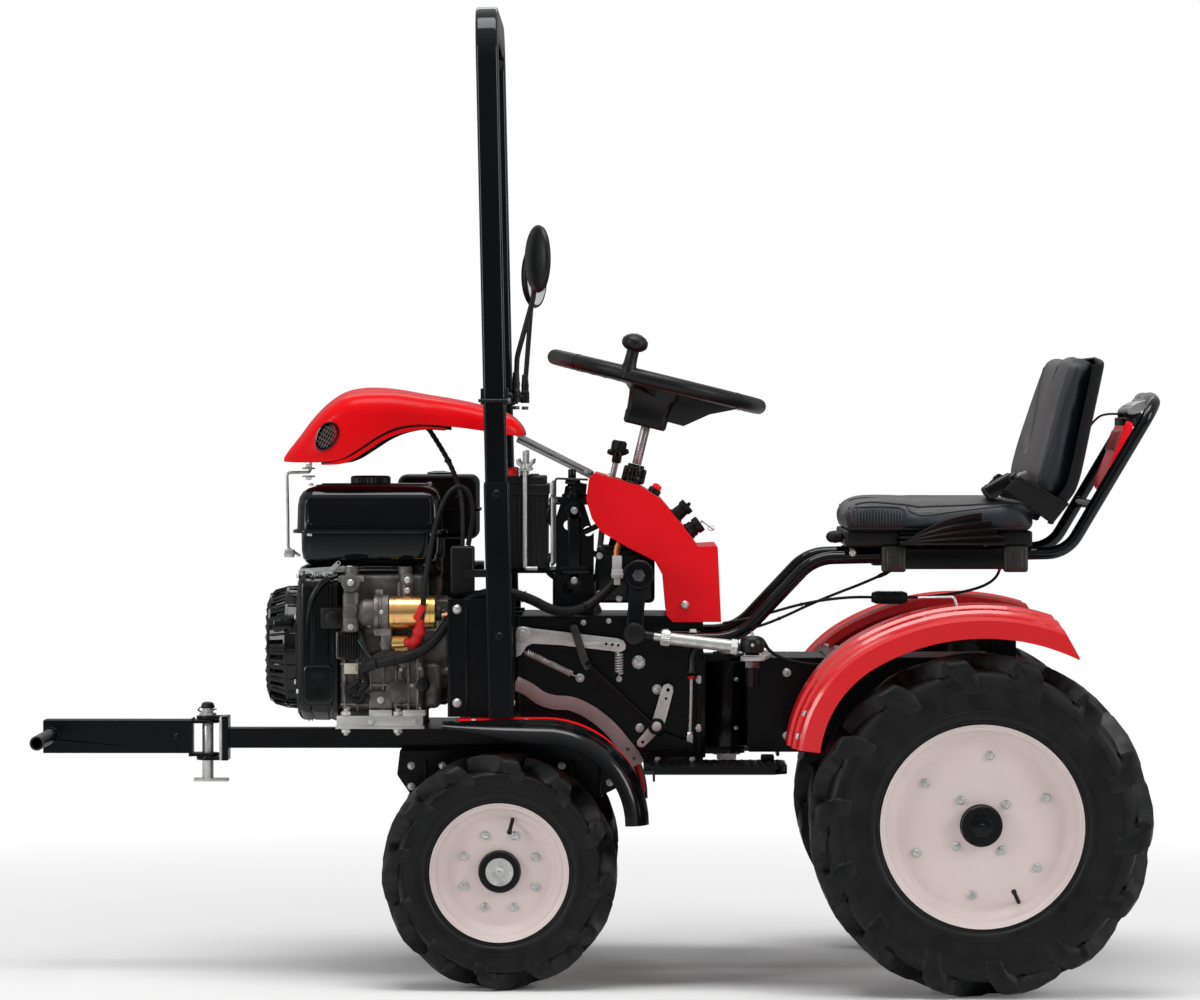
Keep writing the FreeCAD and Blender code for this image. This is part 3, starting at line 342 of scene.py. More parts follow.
def new_group(name, inputs, outputs):
    group = bpy.data.node_groups.new(name, "ShaderNodeTree")
    for label, (kind, value) in inputs.items():
        socket = group.interface.new_socket(label, in_out="INPUT", socket_type=SOCKETS[kind])
        if value is not None:
            socket.default_value = value
    for label, kind in outputs.items():
        group.interface.new_socket(label, in_out="OUTPUT", socket_type=SOCKETS[kind])
    return group, group.nodes.new("NodeGroupInput"), group.nodes.new("NodeGroupOutput")


def add_node(tree, kind, links=None, **settings):
    """Adds a node, sets its settings, and feeds its inputs with sockets or plain values."""
    node = tree.nodes.new(kind)
    for key, value in settings.items():
        setattr(node, key, value)
    for key, value in (links or {}).items():
        if isinstance(value, bpy.types.NodeSocket):
            tree.links.new(value, node.inputs[key])
        else:
            node.inputs[key].default_value = value
    return node


def ramp(tree, factor, low, high):
    return add_node(tree, "ShaderNodeMapRange", {"Value": factor, "From Min": low, "From Max": high}).outputs[0]


def grain_group():
    group, given, out = new_group("fine grain", {"Scale": ("float", 300.0), "Strength": ("float", 0.1),
                                                 "Stretch": ("vector", (1, 1, 1))}, {"Normal": "vector"})
    place = add_node(group, "ShaderNodeTexCoord").outputs["Object"]
    place = add_node(group, "ShaderNodeVectorMath", {0: place, 1: given.outputs["Stretch"]},
                     operation="MULTIPLY").outputs[0]
    noise = add_node(group, "ShaderNodeTexNoise", {"Vector": place, "Scale": given.outputs["Scale"],
                                                   "Detail": 3.0, "Roughness": 0.6})
    bump = add_node(group, "ShaderNodeBump", {"Strength": given.outputs["Strength"], "Distance": 0.001,
                                              "Height": noise.outputs["Fac"]})
    group.links.new(bump.outputs["Normal"], out.inputs["Normal"])
    return group


def drift_group():
    """Slow changes in colour and in roughness over a surface."""
    group, given, out = new_group(
        "slow drift", {"Color": ("color", None), "Other": ("color", None), "Scale": ("float", 8.0),
                       "Roughness": ("float", 0.4), "Spread": ("float", 0.1)},
        {"Color": "color", "Roughness": "float"})
    place = add_node(group, "ShaderNodeTexCoord").outputs["Object"]
    noise = add_node(group, "ShaderNodeTexNoise", {"Vector": place, "Scale": given.outputs["Scale"],
                                                   "Detail": 4.0})
    factor = ramp(group, noise.outputs["Fac"], 0.35, 0.65)
    mix = add_node(group, "ShaderNodeMix", {"Factor": factor, 6: given.outputs["Color"],
                                            7: given.outputs["Other"]}, data_type="RGBA")
    spread = add_node(group, "ShaderNodeMath", {0: factor, 1: given.outputs["Spread"]}, operation="MULTIPLY")
    rough = add_node(group, "ShaderNodeMath", {0: spread.outputs[0], 1: given.outputs["Roughness"]},
                     operation="ADD", use_clamp=True)
    group.links.new(mix.outputs[2], out.inputs["Color"])
    group.links.new(rough.outputs[0], out.inputs["Roughness"])
    return group


def edge_wear_and_light_group():
    """A second tone on sharp outer edges, broken up by noise: wear on most finishes, a painted highlight on others."""
    group, given, out = new_group("worn edges", {"Color": ("color", None), "Worn": ("color", None),
                                                 "Amount": ("float", 0.5)}, {"Color": "color"})
    place = add_node(group, "ShaderNodeTexCoord").outputs["Object"]
    point = add_node(group, "ShaderNodeNewGeometry").outputs["Pointiness"]
    edge = ramp(group, point, 0.54, 0.62)
    noise = add_node(group, "ShaderNodeTexNoise", {"Vector": place, "Scale": 60.0, "Detail": 3.0})
    broken = ramp(group, noise.outputs["Fac"], 0.4, 0.6)
    mask = add_node(group, "ShaderNodeMath", {0: edge, 1: broken}, operation="MULTIPLY")
    mask = add_node(group, "ShaderNodeMath", {0: mask.outputs[0], 1: given.outputs["Amount"]},
                    operation="MULTIPLY")
    mix = add_node(group, "ShaderNodeMix", {"Factor": mask.outputs[0], 6: given.outputs["Color"],
                                            7: given.outputs["Worn"]}, data_type="RGBA")
    group.links.new(mix.outputs[2], out.inputs["Color"])
    return group


def dust_group():
    """Pale dust that settles on faces that look up."""
    group, given, out = new_group("settled dust", {"Color": ("color", None), "Amount": ("float", 0.2)},
                                  {"Color": "color"})
    geometry = add_node(group, "ShaderNodeNewGeometry")
    up = add_node(group, "ShaderNodeSeparateXYZ", {0: geometry.outputs["Normal"]}).outputs[2]
    lying = ramp(group, up, 0.3, 1.0)
    place = add_node(group, "ShaderNodeTexCoord").outputs["Object"]
    noise = add_node(group, "ShaderNodeTexNoise", {"Vector": place, "Scale": 25.0, "Detail": 6.0})
    patchy = ramp(group, noise.outputs["Fac"], 0.3, 0.8)
    mask = add_node(group, "ShaderNodeMath", {0: lying, 1: patchy}, operation="MULTIPLY")
    mask = add_node(group, "ShaderNodeMath", {0: mask.outputs[0], 1: given.outputs["Amount"]},
                    operation="MULTIPLY")
    mix = add_node(group, "ShaderNodeMix", {"Factor": mask.outputs[0], 6: given.outputs["Color"],
                                            7: (0.32, 0.29, 0.26, 1)}, data_type="RGBA")
    group.links.new(mix.outputs[2], out.inputs["Color"])
    return group


def pebble_group():
    """The pebbled skin of vinyl or moulded plastic."""
    group, given, out = new_group("pebbled skin", {"Scale": ("float", 700.0), "Strength": ("float", 0.3)},
                                  {"Normal": "vector", "Crease": "float"})
    place = add_node(group, "ShaderNodeTexCoord").outputs["Object"]
    cells = add_node(group, "ShaderNodeTexVoronoi", {"Vector": place, "Scale": given.outputs["Scale"]},
                     feature="DISTANCE_TO_EDGE")
    height = ramp(group, cells.outputs["Distance"], 0.0, 0.25)
    bump = add_node(group, "ShaderNodeBump", {"Strength": given.outputs["Strength"], "Distance": 0.0006,
                                              "Height": height})
    group.links.new(bump.outputs["Normal"], out.inputs["Normal"])
    group.links.new(height, out.inputs["Crease"])
    return group


GRAIN, DRIFT, EDGE_WEAR_AND_LIGHT, DUST, PEBBLE = grain_group(), drift_group(), edge_wear_and_light_group(), dust_group(), pebble_group()


# %% [markdown]
# One function wires a material from those groups. Numbers that are the same all over, such as the coat's gloss,
# sit on the shader itself; only what changes over the surface comes through a group.

# %% A material from the shared effects
def use(tree, group, **values):
    node = tree.nodes.new("ShaderNodeGroup")
    node.node_tree = group
    for key, value in values.items():
        if isinstance(value, bpy.types.NodeSocket):
            tree.links.new(value, node.inputs[key])
        else:
            node.inputs[key].default_value = value
    return node


def rgba(color):
    return (*color, 1.0)


def finish(name, color, rough, other=None, spread=0.08, drift=9.0, grain=(300.0, 0.08), stretch=(1, 1, 1),
           worn=None, dust=0.0, pebble=None, **shader):
    """A material: base colour, second tone, grain, edge wear and painted edge light, dust, plain shader settings."""
    material = bpy.data.materials.new(name)
    material.use_nodes = True
    tree = material.node_tree
    surface = tree.nodes["Principled BSDF"]
    base = use(tree, DRIFT, Color=rgba(color), Other=rgba(other or [c * 0.82 for c in color]), Scale=drift,
               Roughness=rough, Spread=spread)
    shade = base.outputs["Color"]
    if worn:
        shade = use(tree, EDGE_WEAR_AND_LIGHT, Color=shade, Worn=rgba(worn[0]), Amount=worn[1]).outputs["Color"]
    if dust:
        shade = use(tree, DUST, Color=shade, Amount=dust).outputs["Color"]
    tree.links.new(shade, surface.inputs["Base Color"])
    tree.links.new(base.outputs["Roughness"], surface.inputs["Roughness"])
    if pebble:
        skin_node = use(tree, PEBBLE, Scale=pebble[0], Strength=pebble[1])
    else:
        skin_node = use(tree, GRAIN, Scale=grain[0], Strength=grain[1], Stretch=stretch)
    tree.links.new(skin_node.outputs["Normal"], surface.inputs["Normal"])
    for key, value in shader.items():
        surface.inputs[key.replace("_", " ")].default_value = value
    return material


BLACK_PAINT = finish("black_paint", (0.0020, 0.0026, 0.0036), 0.24, spread=0.03, drift=3.0, grain=(90.0, 0.10),
                     dust=0.010, Specular_IOR_Level=0.16, Coat_Weight=0.08, Coat_Roughness=0.10)
BLACK_GLOSS = finish("black_gloss", (0.0016, 0.0026, 0.0040), 0.10, spread=0.03, drift=4.0, grain=(60.0, 0.05),
                     dust=0.008, Specular_IOR_Level=0.20, Coat_Weight=0.22, Coat_Roughness=0.03)
RED_GLOSS = finish("red_gloss", (0.74, 0.0024, 0.0062), 0.26, other=(0.70, 0.0022, 0.0058), spread=0.03,
                   drift=4.0, grain=(45.0, 0.05), Specular_IOR_Level=0.10, Coat_Weight=0.03, Coat_Roughness=0.05)
RED_PAINT = finish("red_paint", (0.76, 0.0026, 0.0095), 0.33, other=(0.72, 0.0026, 0.0090), spread=0.03,
                   drift=3.0, grain=(120.0, 0.06), dust=0.015, Specular_IOR_Level=0.18, Coat_Weight=0.10,
                   Coat_Roughness=0.12)
GUARD_RED = finish("guard_red", (0.66, 0.010, 0.014), 0.24, other=(0.58, 0.006, 0.010), spread=0.06, drift=3.0,
                   grain=(60.0, 0.10), dust=0.05, Specular_IOR_Level=0.45, Coat_Weight=0.40, Coat_Roughness=0.06)
RIM_PAINT = finish("rim_paint", (0.71, 0.61, 0.59), 0.34, other=(0.64, 0.54, 0.52), spread=0.05, drift=5.0,
                   grain=(150.0, 0.06), worn=((0.42, 0.38, 0.37), 0.25), dust=0.03, Specular_IOR_Level=0.3)
BLACK_PLASTIC = finish("black_plastic", (0.0030, 0.0034, 0.0042), 0.34, spread=0.06, pebble=(900.0, 0.10),
                       dust=0.015, Specular_IOR_Level=0.28)
GLOSS_PLASTIC = finish("gloss_plastic", (0.0022, 0.0026, 0.0034), 0.13, spread=0.04, grain=(70.0, 0.06),
                       dust=0.01, Specular_IOR_Level=0.34)
RUBBER = finish("rubber", (0.0042, 0.0044, 0.0050), 0.46, spread=0.10, grain=(500.0, 0.10), dust=0.02,
                Specular_IOR_Level=0.24)
# The tyre's lighter edge tone is a painted highlight along the edges of the tread bars.
TYRE = finish("tyre_rubber", (0.0016, 0.0018, 0.0024), 0.38, other=(0.0062, 0.0064, 0.0072), spread=0.18,
              drift=26.0, grain=(420.0, 0.20), worn=((0.026, 0.027, 0.029), 0.8), dust=0.02,
              Specular_IOR_Level=0.22)
ZINC = finish("zinc", (0.60, 0.61, 0.59), 0.25, other=(0.36, 0.37, 0.355), spread=0.14, drift=60.0,
              grain=(700.0, 0.08), worn=((0.9, 0.9, 0.88), 0.4), Metallic=0.62)
ZINC_PLATE = finish("zinc_plate", (0.58, 0.57, 0.56), 0.36, other=(0.42, 0.415, 0.405), spread=0.16,
                    drift=26.0, grain=(260.0, 0.12), stretch=(0.12, 1, 1), Metallic=0.65)
CHROME = finish("chrome", (0.78, 0.78, 0.79), 0.08, spread=0.05, grain=(60.0, 0.02), Metallic=1.0)
# The casting's dark base is painted shade, and its light edge tone is a painted highlight that leaves the recesses
# dark.
CAST_IN_PAINTED_SHADE = finish("cast_aluminium", (0.135, 0.122, 0.114), 0.40, other=(0.060, 0.054, 0.050), spread=0.18, drift=34.0,
              grain=(480.0, 0.55), worn=((0.42, 0.40, 0.385), 0.85), dust=0.05, Metallic=0.60)
GOLD = finish("gold_zinc", (0.78, 0.55, 0.16), 0.22, other=(0.80, 0.38, 0.20), spread=0.12, drift=26.0,
              grain=(300.0, 0.05), Metallic=1.0)
DARK_STEEL = finish("dark_steel", (0.055, 0.053, 0.052), 0.36, other=(0.035, 0.034, 0.034), spread=0.16,
                    drift=24.0, grain=(260.0, 0.12), worn=((0.2, 0.2, 0.2), 0.5), Metallic=0.8)
PINK_STRAP = finish("strap_paint", (0.34, 0.25, 0.25), 0.42, other=(0.28, 0.20, 0.20), spread=0.1,
                    grain=(200.0, 0.08), worn=((0.5, 0.48, 0.47), 0.4), Specular_IOR_Level=0.35)
GREY_BAR = finish("grey_bar", (0.34, 0.34, 0.345), 0.30, other=(0.27, 0.27, 0.275), spread=0.12,
                  grain=(200.0, 0.07), Metallic=0.3)
LAMP_GRID = finish("lamp_grid", (0.105, 0.062, 0.058), 0.32, grain=(260.0, 0.08), Specular_IOR_Level=0.3)
# The lighter grey vinyl is a painted sheen for the seat's top and front faces; the dark side vinyl is the cover's own
# colour.
VINYL_PAINTED_SHEEN = finish("seat_vinyl", (0.066, 0.063, 0.064), 0.42, other=(0.052, 0.050, 0.051), spread=0.10,
               drift=7.0, pebble=(620.0, 0.30), worn=((0.10, 0.095, 0.092), 0.3), dust=0.04,
               Specular_IOR_Level=0.42)
VINYL_SIDE = finish("seat_vinyl_side", (0.0095, 0.0150, 0.0215), 0.34, other=(0.0075, 0.0115, 0.0165),
                    spread=0.10, drift=9.0, pebble=(760.0, 0.26), Specular_IOR_Level=0.42)
WEBBING = finish("belt_webbing", (0.008, 0.008, 0.009), 0.72, grain=(1500.0, 0.5), Specular_IOR_Level=0.2)
# The red lens glows faintly: a painted glow for light passing through the plastic, also on the dash button.
RED_LENS_PAINTED_GLOW = finish("red_lens_painted_glow", (0.84, 0.012, 0.024), 0.16, other=(0.74, 0.008, 0.016), spread=0.04,
                  grain=(120.0, 0.04), Specular_IOR_Level=0.22, Emission_Color=(0.5, 0.0, 0.01, 1.0),
                  Emission_Strength=0.32)
RED_RUBBER = finish("red_rubber", (0.60, 0.010, 0.012), 0.42, grain=(400.0, 0.10), Specular_IOR_Level=0.3)
CREAM = finish("cream_plastic", (0.55, 0.50, 0.40), 0.42, grain=(400.0, 0.06), Specular_IOR_Level=0.35)
PALE_PLASTIC = finish("pale_plastic", (0.50, 0.47, 0.47), 0.40, grain=(400.0, 0.05), Specular_IOR_Level=0.35)
MIRROR = finish("mirror_glass", (0.86, 0.87, 0.88), 0.02, spread=0.01, grain=(20.0, 0.0), Metallic=1.0)
SILVER_PLASTIC = finish("silver_plastic", (0.55, 0.55, 0.56), 0.30, grain=(300.0, 0.2), Metallic=0.4)
COPPER = finish("copper", (0.72, 0.36, 0.20), 0.25, grain=(300.0, 0.08), Metallic=1.0)
print("finishes ready")

# %% [markdown]
# Each part of the frame first gets the finish that its real counterpart has. Parts that need a finer shape are
# replaced further on.

# %% Finishes on the frame's own parts
NODE_FINISH = {
    BLACK_PAINT: ("front_frame transmission front_axle column_bracket roll_hoop steering_column footrests "
                  "seat_base front_drawbar front_bar pitman_arm rear_frame rear_axle fender_supports"),
    BLACK_GLOSS: "seat_frame fuel_tank muffler",
    CAST_IN_PAINTED_SHADE: "engine_block",
    GLOSS_PLASTIC: "fan_housing recoil_cover",
    BLACK_PLASTIC: ("air_filter battery relay_box driver_controls steering_wheel fuel_cap mirror_left "
                    "mirror_right hood_lamps"),
    RED_GLOSS: "hood",
    RED_PAINT: "dash_panel front_fender_left front_fender_right",
    GUARD_RED: "rear_fender_left rear_fender_right",
    RUBBER: "fender_flares seat_bellows",
    GOLD: "starter_motor",
    ZINC: "hood_supports hitch_pin steering_link",
    ZINC_PLATE: "control_linkage",
    VINYL_PAINTED_SHEEN: "seat_cushion seat_back",
    RED_LENS_PAINTED_GLOW: "tail_lamp",
    RIM_PAINT: "front_rim_left front_rim_right rear_rim_left rear_rim_right",
    TYRE: "front_tyre_left front_tyre_right rear_tyre_left rear_tyre_right",
}
for material, names in NODE_FINISH.items():
    for name in names.split():
        data = nodes[name].data
        data.materials.clear()
        data.materials.append(material)
# Castings and boxes that keep their shape get a small round along their sharp edges.
for name in ("air_filter muffler rear_axle transmission front_axle relay_box dash_panel column_bracket front_frame "
             "rear_frame footrests front_drawbar front_bar fender_supports").split():
    weld_points = nodes[name].modifiers.new("weld", "WELD")
    weld_points.merge_threshold = 0.01 * 0.001
    soften = nodes[name].modifiers.new("round", "BEVEL")
    soften.width, soften.segments = 1.2 * 0.001, 2
    soften.limit_method, soften.angle_limit = "ANGLE", math.radians(40)
    soften.harden_normals = True
print("frame finished")
# %% [markdown]
# The wheels are what the eye meets first. A farm tyre is a smooth carcass with tall rubber bars in two staggered
# rows that meet in a V. Each bar starts just past the middle, runs back to the shoulder and then turns down onto
# the sidewall. The carcass is a turned outline, and each bar is a block swept along that bent line.

# %% Carcass and tread bars of a tyre
def wheel_point(centre, side, across, radius, angle):
    """A point on a wheel: across is measured outwards from the middle of the tread."""
    return Vector((centre[0] + radius * math.cos(angle), centre[1] + side * across,
                   centre[2] + radius * math.sin(angle))) * MM


def carcass(centre, side, half, top, bead):
    """Tyre body from the inner bead over the crown to the outer bead, with raised rings on the sidewall."""
    mid = (top + bead) / 2
    wall = [(half - 20, bead - 5), (half - 11, bead + 1), (half - 8.5, bead + 4), (half - 8.5, bead + 7),
            (half - 6.0, bead + 8.5), (half - 3.6, bead + 14), (half - 2.8, bead + 20), (half - 1.2, bead + 20.8),
            (half - 1.1, bead + 23), (half - 2.2, bead + 23.8), (half - 1.6, mid - 4), (half - 1.4, mid + 6),
            (half - 0.2, mid + 6.6), (half - 0.2, mid + 8.4), (half - 1.6, mid + 9.2), (half - 3.5, top - 40),
            (half - 7, top - 32), (half - 13, top - 28), (half - 24, top - 25.5), (0, top - 24)]
    outline = wall + [(-a, r) for a, r in wall[-2::-1]]
    rings = []
    steps = 120
    for i in range(steps + 1):
        angle = math.tau * i / steps
        rings.append([wheel_point(centre, side, a, r, angle) for a, r in outline])
    shape = skin(rings, closed=False, ends=False)
    bmesh.ops.remove_doubles(shape, verts=shape.verts, dist=0.00002)
    return shape


def tread_bar(centre, side, row, start, half, top, bead, width, skew):
    """One bar: row is +1 for the outer row and -1 for the inner one."""
    deep = top - 29
    wall_end = bead + (top - bead) * 0.42
    stations = [  # across, top radius, base across, base radius, share of the skew, half width
        (-7.0, top - 3.0, -7.0, deep, -0.16, 0.78), (2.0, top - 0.2, 2.0, deep, 0.02, 0.86),
        (half * 0.45, top, half * 0.45, deep, 0.46, 0.92), (half - 15, top - 2.6, half - 16, deep, 0.80, 1.0),
        (half - 6.0, top - 7.0, half - 15, deep - 4, 0.92, 1.08), (half - 1.0, top - 14, half - 13, deep - 8, 1.0, 1.1),
        (half, top - 25, half - 9, deep - 16, 1.08, 1.06), (half, (top + wall_end) / 2, half - 7, (deep + wall_end) / 2,
                                                         1.16, 0.92),
        (half - 0.3, wall_end + 6, half - 6, wall_end + 6, 1.23, 0.74), (half - 3.0, wall_end - 1, half - 7,
                                                                        wall_end - 2, 1.26, 0.62)]
    rings = []
    for i, (a, r, base_a, base_r, share, wide) in enumerate(stations):
        angle = start - skew * share
        on_wall = min(1.0, max(0.0, (i - 3) / 2.0))
        lean = (1 - on_wall) * 0.62                      # across part of the bar's width on the crown
        run = width * wide / 2
        ring = []
        for out, grow in ((0, 1.28), (0.86, 1.04), (1.0, 0.90), (1.0, -0.90), (0.86, -1.04), (0, -1.28)):
            aa, rr = base_a + (a - base_a) * out, base_r + (r - base_r) * out
            step = run * grow
            ring.append(wheel_point(centre, side, row * min(aa + step * lean, half), rr,
                                    angle + step * math.sqrt(1 - lean * lean) / rr))
        rings.append(ring)
    return skin(rings)


def farm_tyre(name, centre, side, half, top, bead, count, width, skew, body):
    shapes = [carcass(centre, side, half, top, bead)]
    pitch = math.tau / count
    for n in range(count):
        for row, shift in ((1, 0.0), (-1, 0.5)):
            shapes.append(tread_bar(centre, side, row, (n + shift) * pitch + 0.2, half, top, bead, width, skew))
    for n in range(count * 2):                           # moulding whiskers near the bead
        angle = math.tau * (n + 0.3 * (n % 3)) / (count * 2)
        foot = wheel_point(centre, side, half - 3.0, bead + 15 + 6 * (n % 2), angle) / MM
        shapes.append(pipe([foot, foot + Vector((0, side * 3.4, 0.6))], 0.55, 5))
    return piece(name, shapes, body, TYRE, smooth=42)


# %% [markdown]
# The wheels themselves are pressed steel, painted off-white. A rolled rim carries a dished disc, with a ring of
# plated bolts, a black hub and a rubber valve. The disc is one turned outline, so its folds stay round and catch
# a soft line of light.

# %% Rim, hub, bolts and valve
def steel_wheel(name, centre, side, half, flange, body, hub, bolt_rings, valve, disc_in):
    out = Vector((0, side, 0))
    face = half - disc_in
    outline = [(half - 9.2, flange - 2.2), (half - 7.8, flange - 0.4), (half - 8.4, flange + 0.6),
               (half - 10.2, flange + 0.2), (half - 12, flange - 3), (half - 14, flange - 8.2),
               (half - 22, flange - 9.6), (half - 26, flange - 10.4), (face + 12, flange - 14),
               (face + 9, flange - 17.5), (face + 6.5, flange - 22), (face + 2.5, flange - 24.5),
               (face + 0.8, flange - 27), (face + 0.4, flange - 31), (face, flange - 34), (face, hub + 4),
               (face + 0.6, hub + 1.5), (face + 0.6, 0)]
    back = [(a - 3.4, r) for a, r in outline[5:]]
    inner = [(-half + 12, flange - 8.2), (-half + 9, flange - 2), (-half + 8, flange + 0.4), (-half + 10, flange),
             (-half + 13, flange - 6), (-half + 24, flange - 10)]
    shapes = [turned(outline, centre, out, 96), turned(back, centre, out, 96),
              turned([(face + 10, flange - 15), (-half + 24, flange - 13.4), (-half + 12, flange - 10)],
                     centre, out, 96),
              turned([(half - 26, flange - 10.4)] + inner[::-1] + [(-half + 12, flange - 9.6)], centre, out, 96)]
    piece(f"{name}_rim", shapes, body, RIM_PAINT, smooth=50)
    c = Vector(centre)
    plated = []
    for count, radius, first, size in bolt_rings:
        for n in range(count):
            a = math.radians(first + 360.0 * n / count)
            at = c + out * face + Vector((math.cos(a), 0, math.sin(a))) * radius
            plated.append(bolt(at, out, size))
    piece(f"{name}_bolts", plated, body, ZINC)
    a = math.radians(valve[1])
    foot = c + out * face + Vector((math.cos(a), 0, math.sin(a))) * (valve[0] + 12)
    tip = c + out * (face + 24) + Vector((math.cos(a), 0, math.sin(a))) * (valve[0] - 8)
    middle = (foot + tip) / 2 + out * 3
    piece(f"{name}_valve", [pipe(eased([foot, middle, tip]), 3.4, 12),
                            round_bar(tip, tip + (tip - middle).normalized() * 6, 4.4, 1)],
          body, RUBBER)
    return face


WHEELS = {"front": (-165, 201, (232, 342), 118, 12, 27.0, 0.32), "rear": (647, 289, (315, 460), 171, 14, 34.0, 0.28)}
for end, (x, radius, (y_in, y_out), flange, count, bar_width, skew) in WHEELS.items():
    for side_name, side in SIDES.items():
        body = f"{end}_wheel_{side_name}"
        centre = (x, side * (y_in + y_out) / 2, radius)
        half = (y_out - y_in) / 2
        rubber = farm_tyre(f"{end}_tread_{side_name}", centre, side, half, radius, flange, count, bar_width,
                           skew, body)
        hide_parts(f"{end}_tyre_{side_name}")
        out = Vector((0, side, 0))
        c = Vector(centre)
        if end == "front":
            face = steel_wheel(body, centre, side, half, flange, body, 35,
                               [(8, 66, 22, 7.2)], (82, 76), 40)
            shapes = [turned([(0, 36.5), (3, 36.5), (5, 35), (14, 34.6), (16, 33), (16, 26), (13, 25), (13, 0)],
                             c + out * face, out, 64),
                      turned([(-34, 0), (-34, 35), (-4, 35)], c + out * face, out, 48)]
            hub = piece(f"{body}_hub", shapes, body, BLACK_PAINT)
            shapes = [turned([(0, 24.2), (3, 24.2), (4, 23.4), (4, 8), (3, 7), (3, 0)], c + out * (face + 12.5), out, 48),
                      bolt(c + out * (face + 15.4), out, 8.0)]
            piece(f"{body}_cap", shapes, body, ZINC)
        else:
            face = steel_wheel(body, centre, side, half, flange, body, 34,
                               [(6, 118, 23, 7.4), (4, 55, 40, 7.4)], (132, -64), 44)
            shapes = [turned([(0, 36), (4, 36), (6, 34.4), (22, 34), (24, 32), (24, 0)], c + out * face, out, 64),
                      hexagon(c + out * (face + 24), out, 34, 9), bolt(c + out * (face + 33), out, 6.5),
                      turned([(-34, 0), (-34, 34), (-4, 34)], c + out * face, out, 48)]
            hub = piece(f"{body}_hub", shapes, body, BLACK_PAINT)
        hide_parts(f"{end}_rim_{side_name}")
        shaft = 16 if end == "front" else 19
        inner = 155 if end == "front" else 218
        at = Vector((x, side * inner, radius))
        piece(f"{body}_shaft", round_bar(at, c + out * (face - 30), shaft, 1.5), body, DARK_STEEL)
print("wheels made")
# %% [markdown]
# The hood is one glossy pressing, shaped like a beak: a sharp lip in front, a high brow over the tank, then a long
# slope back under the roll hoop. It could be carved from a block, but a skin through a row of arched sections
# follows the brow better and keeps the reflections long and smooth.

# %% Hood
HOOD_STATIONS = [(-546, 906, 897, 92), (-536, 922, 896.5, 106), (-520, 944, 896, 122), (-497, 975, 896, 136),
                 (-472, 1000, 897, 146), (-443, 1019, 902, 152), (-412, 1026, 920, 154), (-380, 1026.5, 941, 155),
                 (-345, 1023, 957, 155), (-300, 1015, 962, 153), (-252, 1007, 958, 148), (-205, 997, 952, 140),
                 (-165, 985, 945, 130), (-145, 974, 943, 122), (-133, 961, 942, 114), (-128, 949, 942, 108)]


def hood_ring(x, top, low, half, inset):
    """An arch from the left lip over the top to the right lip."""
    top, half = top - inset, half - inset
    bend = min(34.0, 0.62 * (top - low))
    crown = min(11.0, 0.12 * (top - low))
    ring = [(-half, low), (-half, low + (top - low - bend - crown) * 0.5), (-half, top - crown - bend)]
    for i in range(1, 9):
        a = math.radians(90.0 * i / 8)
        ring.append((-half + bend * (1 - math.cos(a)), top - crown - bend + bend * math.sin(a)))
    flat = half - bend
    ring += [(-flat * (1 - t), top - crown * (1 - t) ** 2) for t in (0.25, 0.5, 0.75)]
    ring = ring + [(0.0, top)] + [(-y, z) for y, z in ring[::-1]]
    return [P(x, y, z) for y, z in ring]


def smooth_stations(stations, steps=4):
    lines = [eased([(s[0], s[1], s[2]) for s in stations], steps), eased([(s[0], s[3], 0) for s in stations], steps)]
    return [(a.x, a.y, a.z, b.y) for a, b in zip(*lines)]


def hood_skin():
    stations = smooth_stations(HOOD_STATIONS)
    outer = [hood_ring(*s, 0.0) for s in stations]
    inner = [hood_ring(*s, 3.2) for s in stations]
    shape = skin([o + i[::-1] for o, i in zip(outer, inner)])
    edges = [e for e in shape.edges if len(e.link_faces) == 2 and e.calc_face_angle() > 1.0]
    bmesh.ops.bevel(shape, geom=edges, offset=0.0009, segments=2, profile=0.5, affect="EDGES")
    return shape


hood = piece("hood_skin", hood_skin(), "front_half", RED_GLOSS, smooth=40)
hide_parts("hood")

# The lower lip is a separate strip, a dark slit away from the cheek, with the rolled edge that stiffens it.
strips = []
for side in (-1, 1):
    low_line = eased([(-478, side * 145, 893), (-452, side * 149.5, 895), (-428, side * 151, 902),
                      (-400, side * 152, 919), (-370, side * 152.5, 938), (-338, side * 152.5, 950.5),
                      (-300, side * 150.5, 956), (-262, side * 147, 954.5)], 5)
    count = len(low_line) - 1
    strips.append(pipe(low_line, [0.25 + 0.75 * min(1.0, 5 * i / count, 4 * (count - i) / count)
                                  for i in range(count + 1)],
                       section=[(-1.4, -3.6), (1.4, -3.6), (1.6, 0), (1.4, 3.0), (-1.4, 3.0)]))
piece("hood_lower_lips", strips, "front_half", RED_GLOSS)
# A thin black strip just inside each slit is painted shade, so the slit reads dark.
slit_shade_strips = []
for side in (-1, 1):
    line = eased([(-478, side * 141, 898), (-452, side * 145.5, 899), (-425, side * 147.5, 908),
                  (-398, side * 148, 925), (-368, side * 148.5, 943), (-336, side * 148.5, 954),
                  (-300, side * 147, 959), (-262, side * 143, 957.5)], 4)
    slit_shade_strips.append(pipe(line, 1.0, section=[(-1, -6.5), (1, -6.5), (1, 6), (-1, 6)]))
piece("hood_slit_painted_shade", slit_shade_strips, "front_half", RUBBER)

# %% [markdown]
# Each cheek carries an oval grid lamp. The bezel is an oval ring, the lens behind it is nearly black, and a few
# raised bars cross it. The bars follow the same tilt as the oval.

# %% Hood lamps
def oval(u, v, tilt=-60.0, centre=(-468.0, 941.0)):
    a = math.radians(tilt)
    return centre[0] + u * math.cos(a) + v * math.sin(a), centre[1] - u * math.sin(a) + v * math.cos(a)


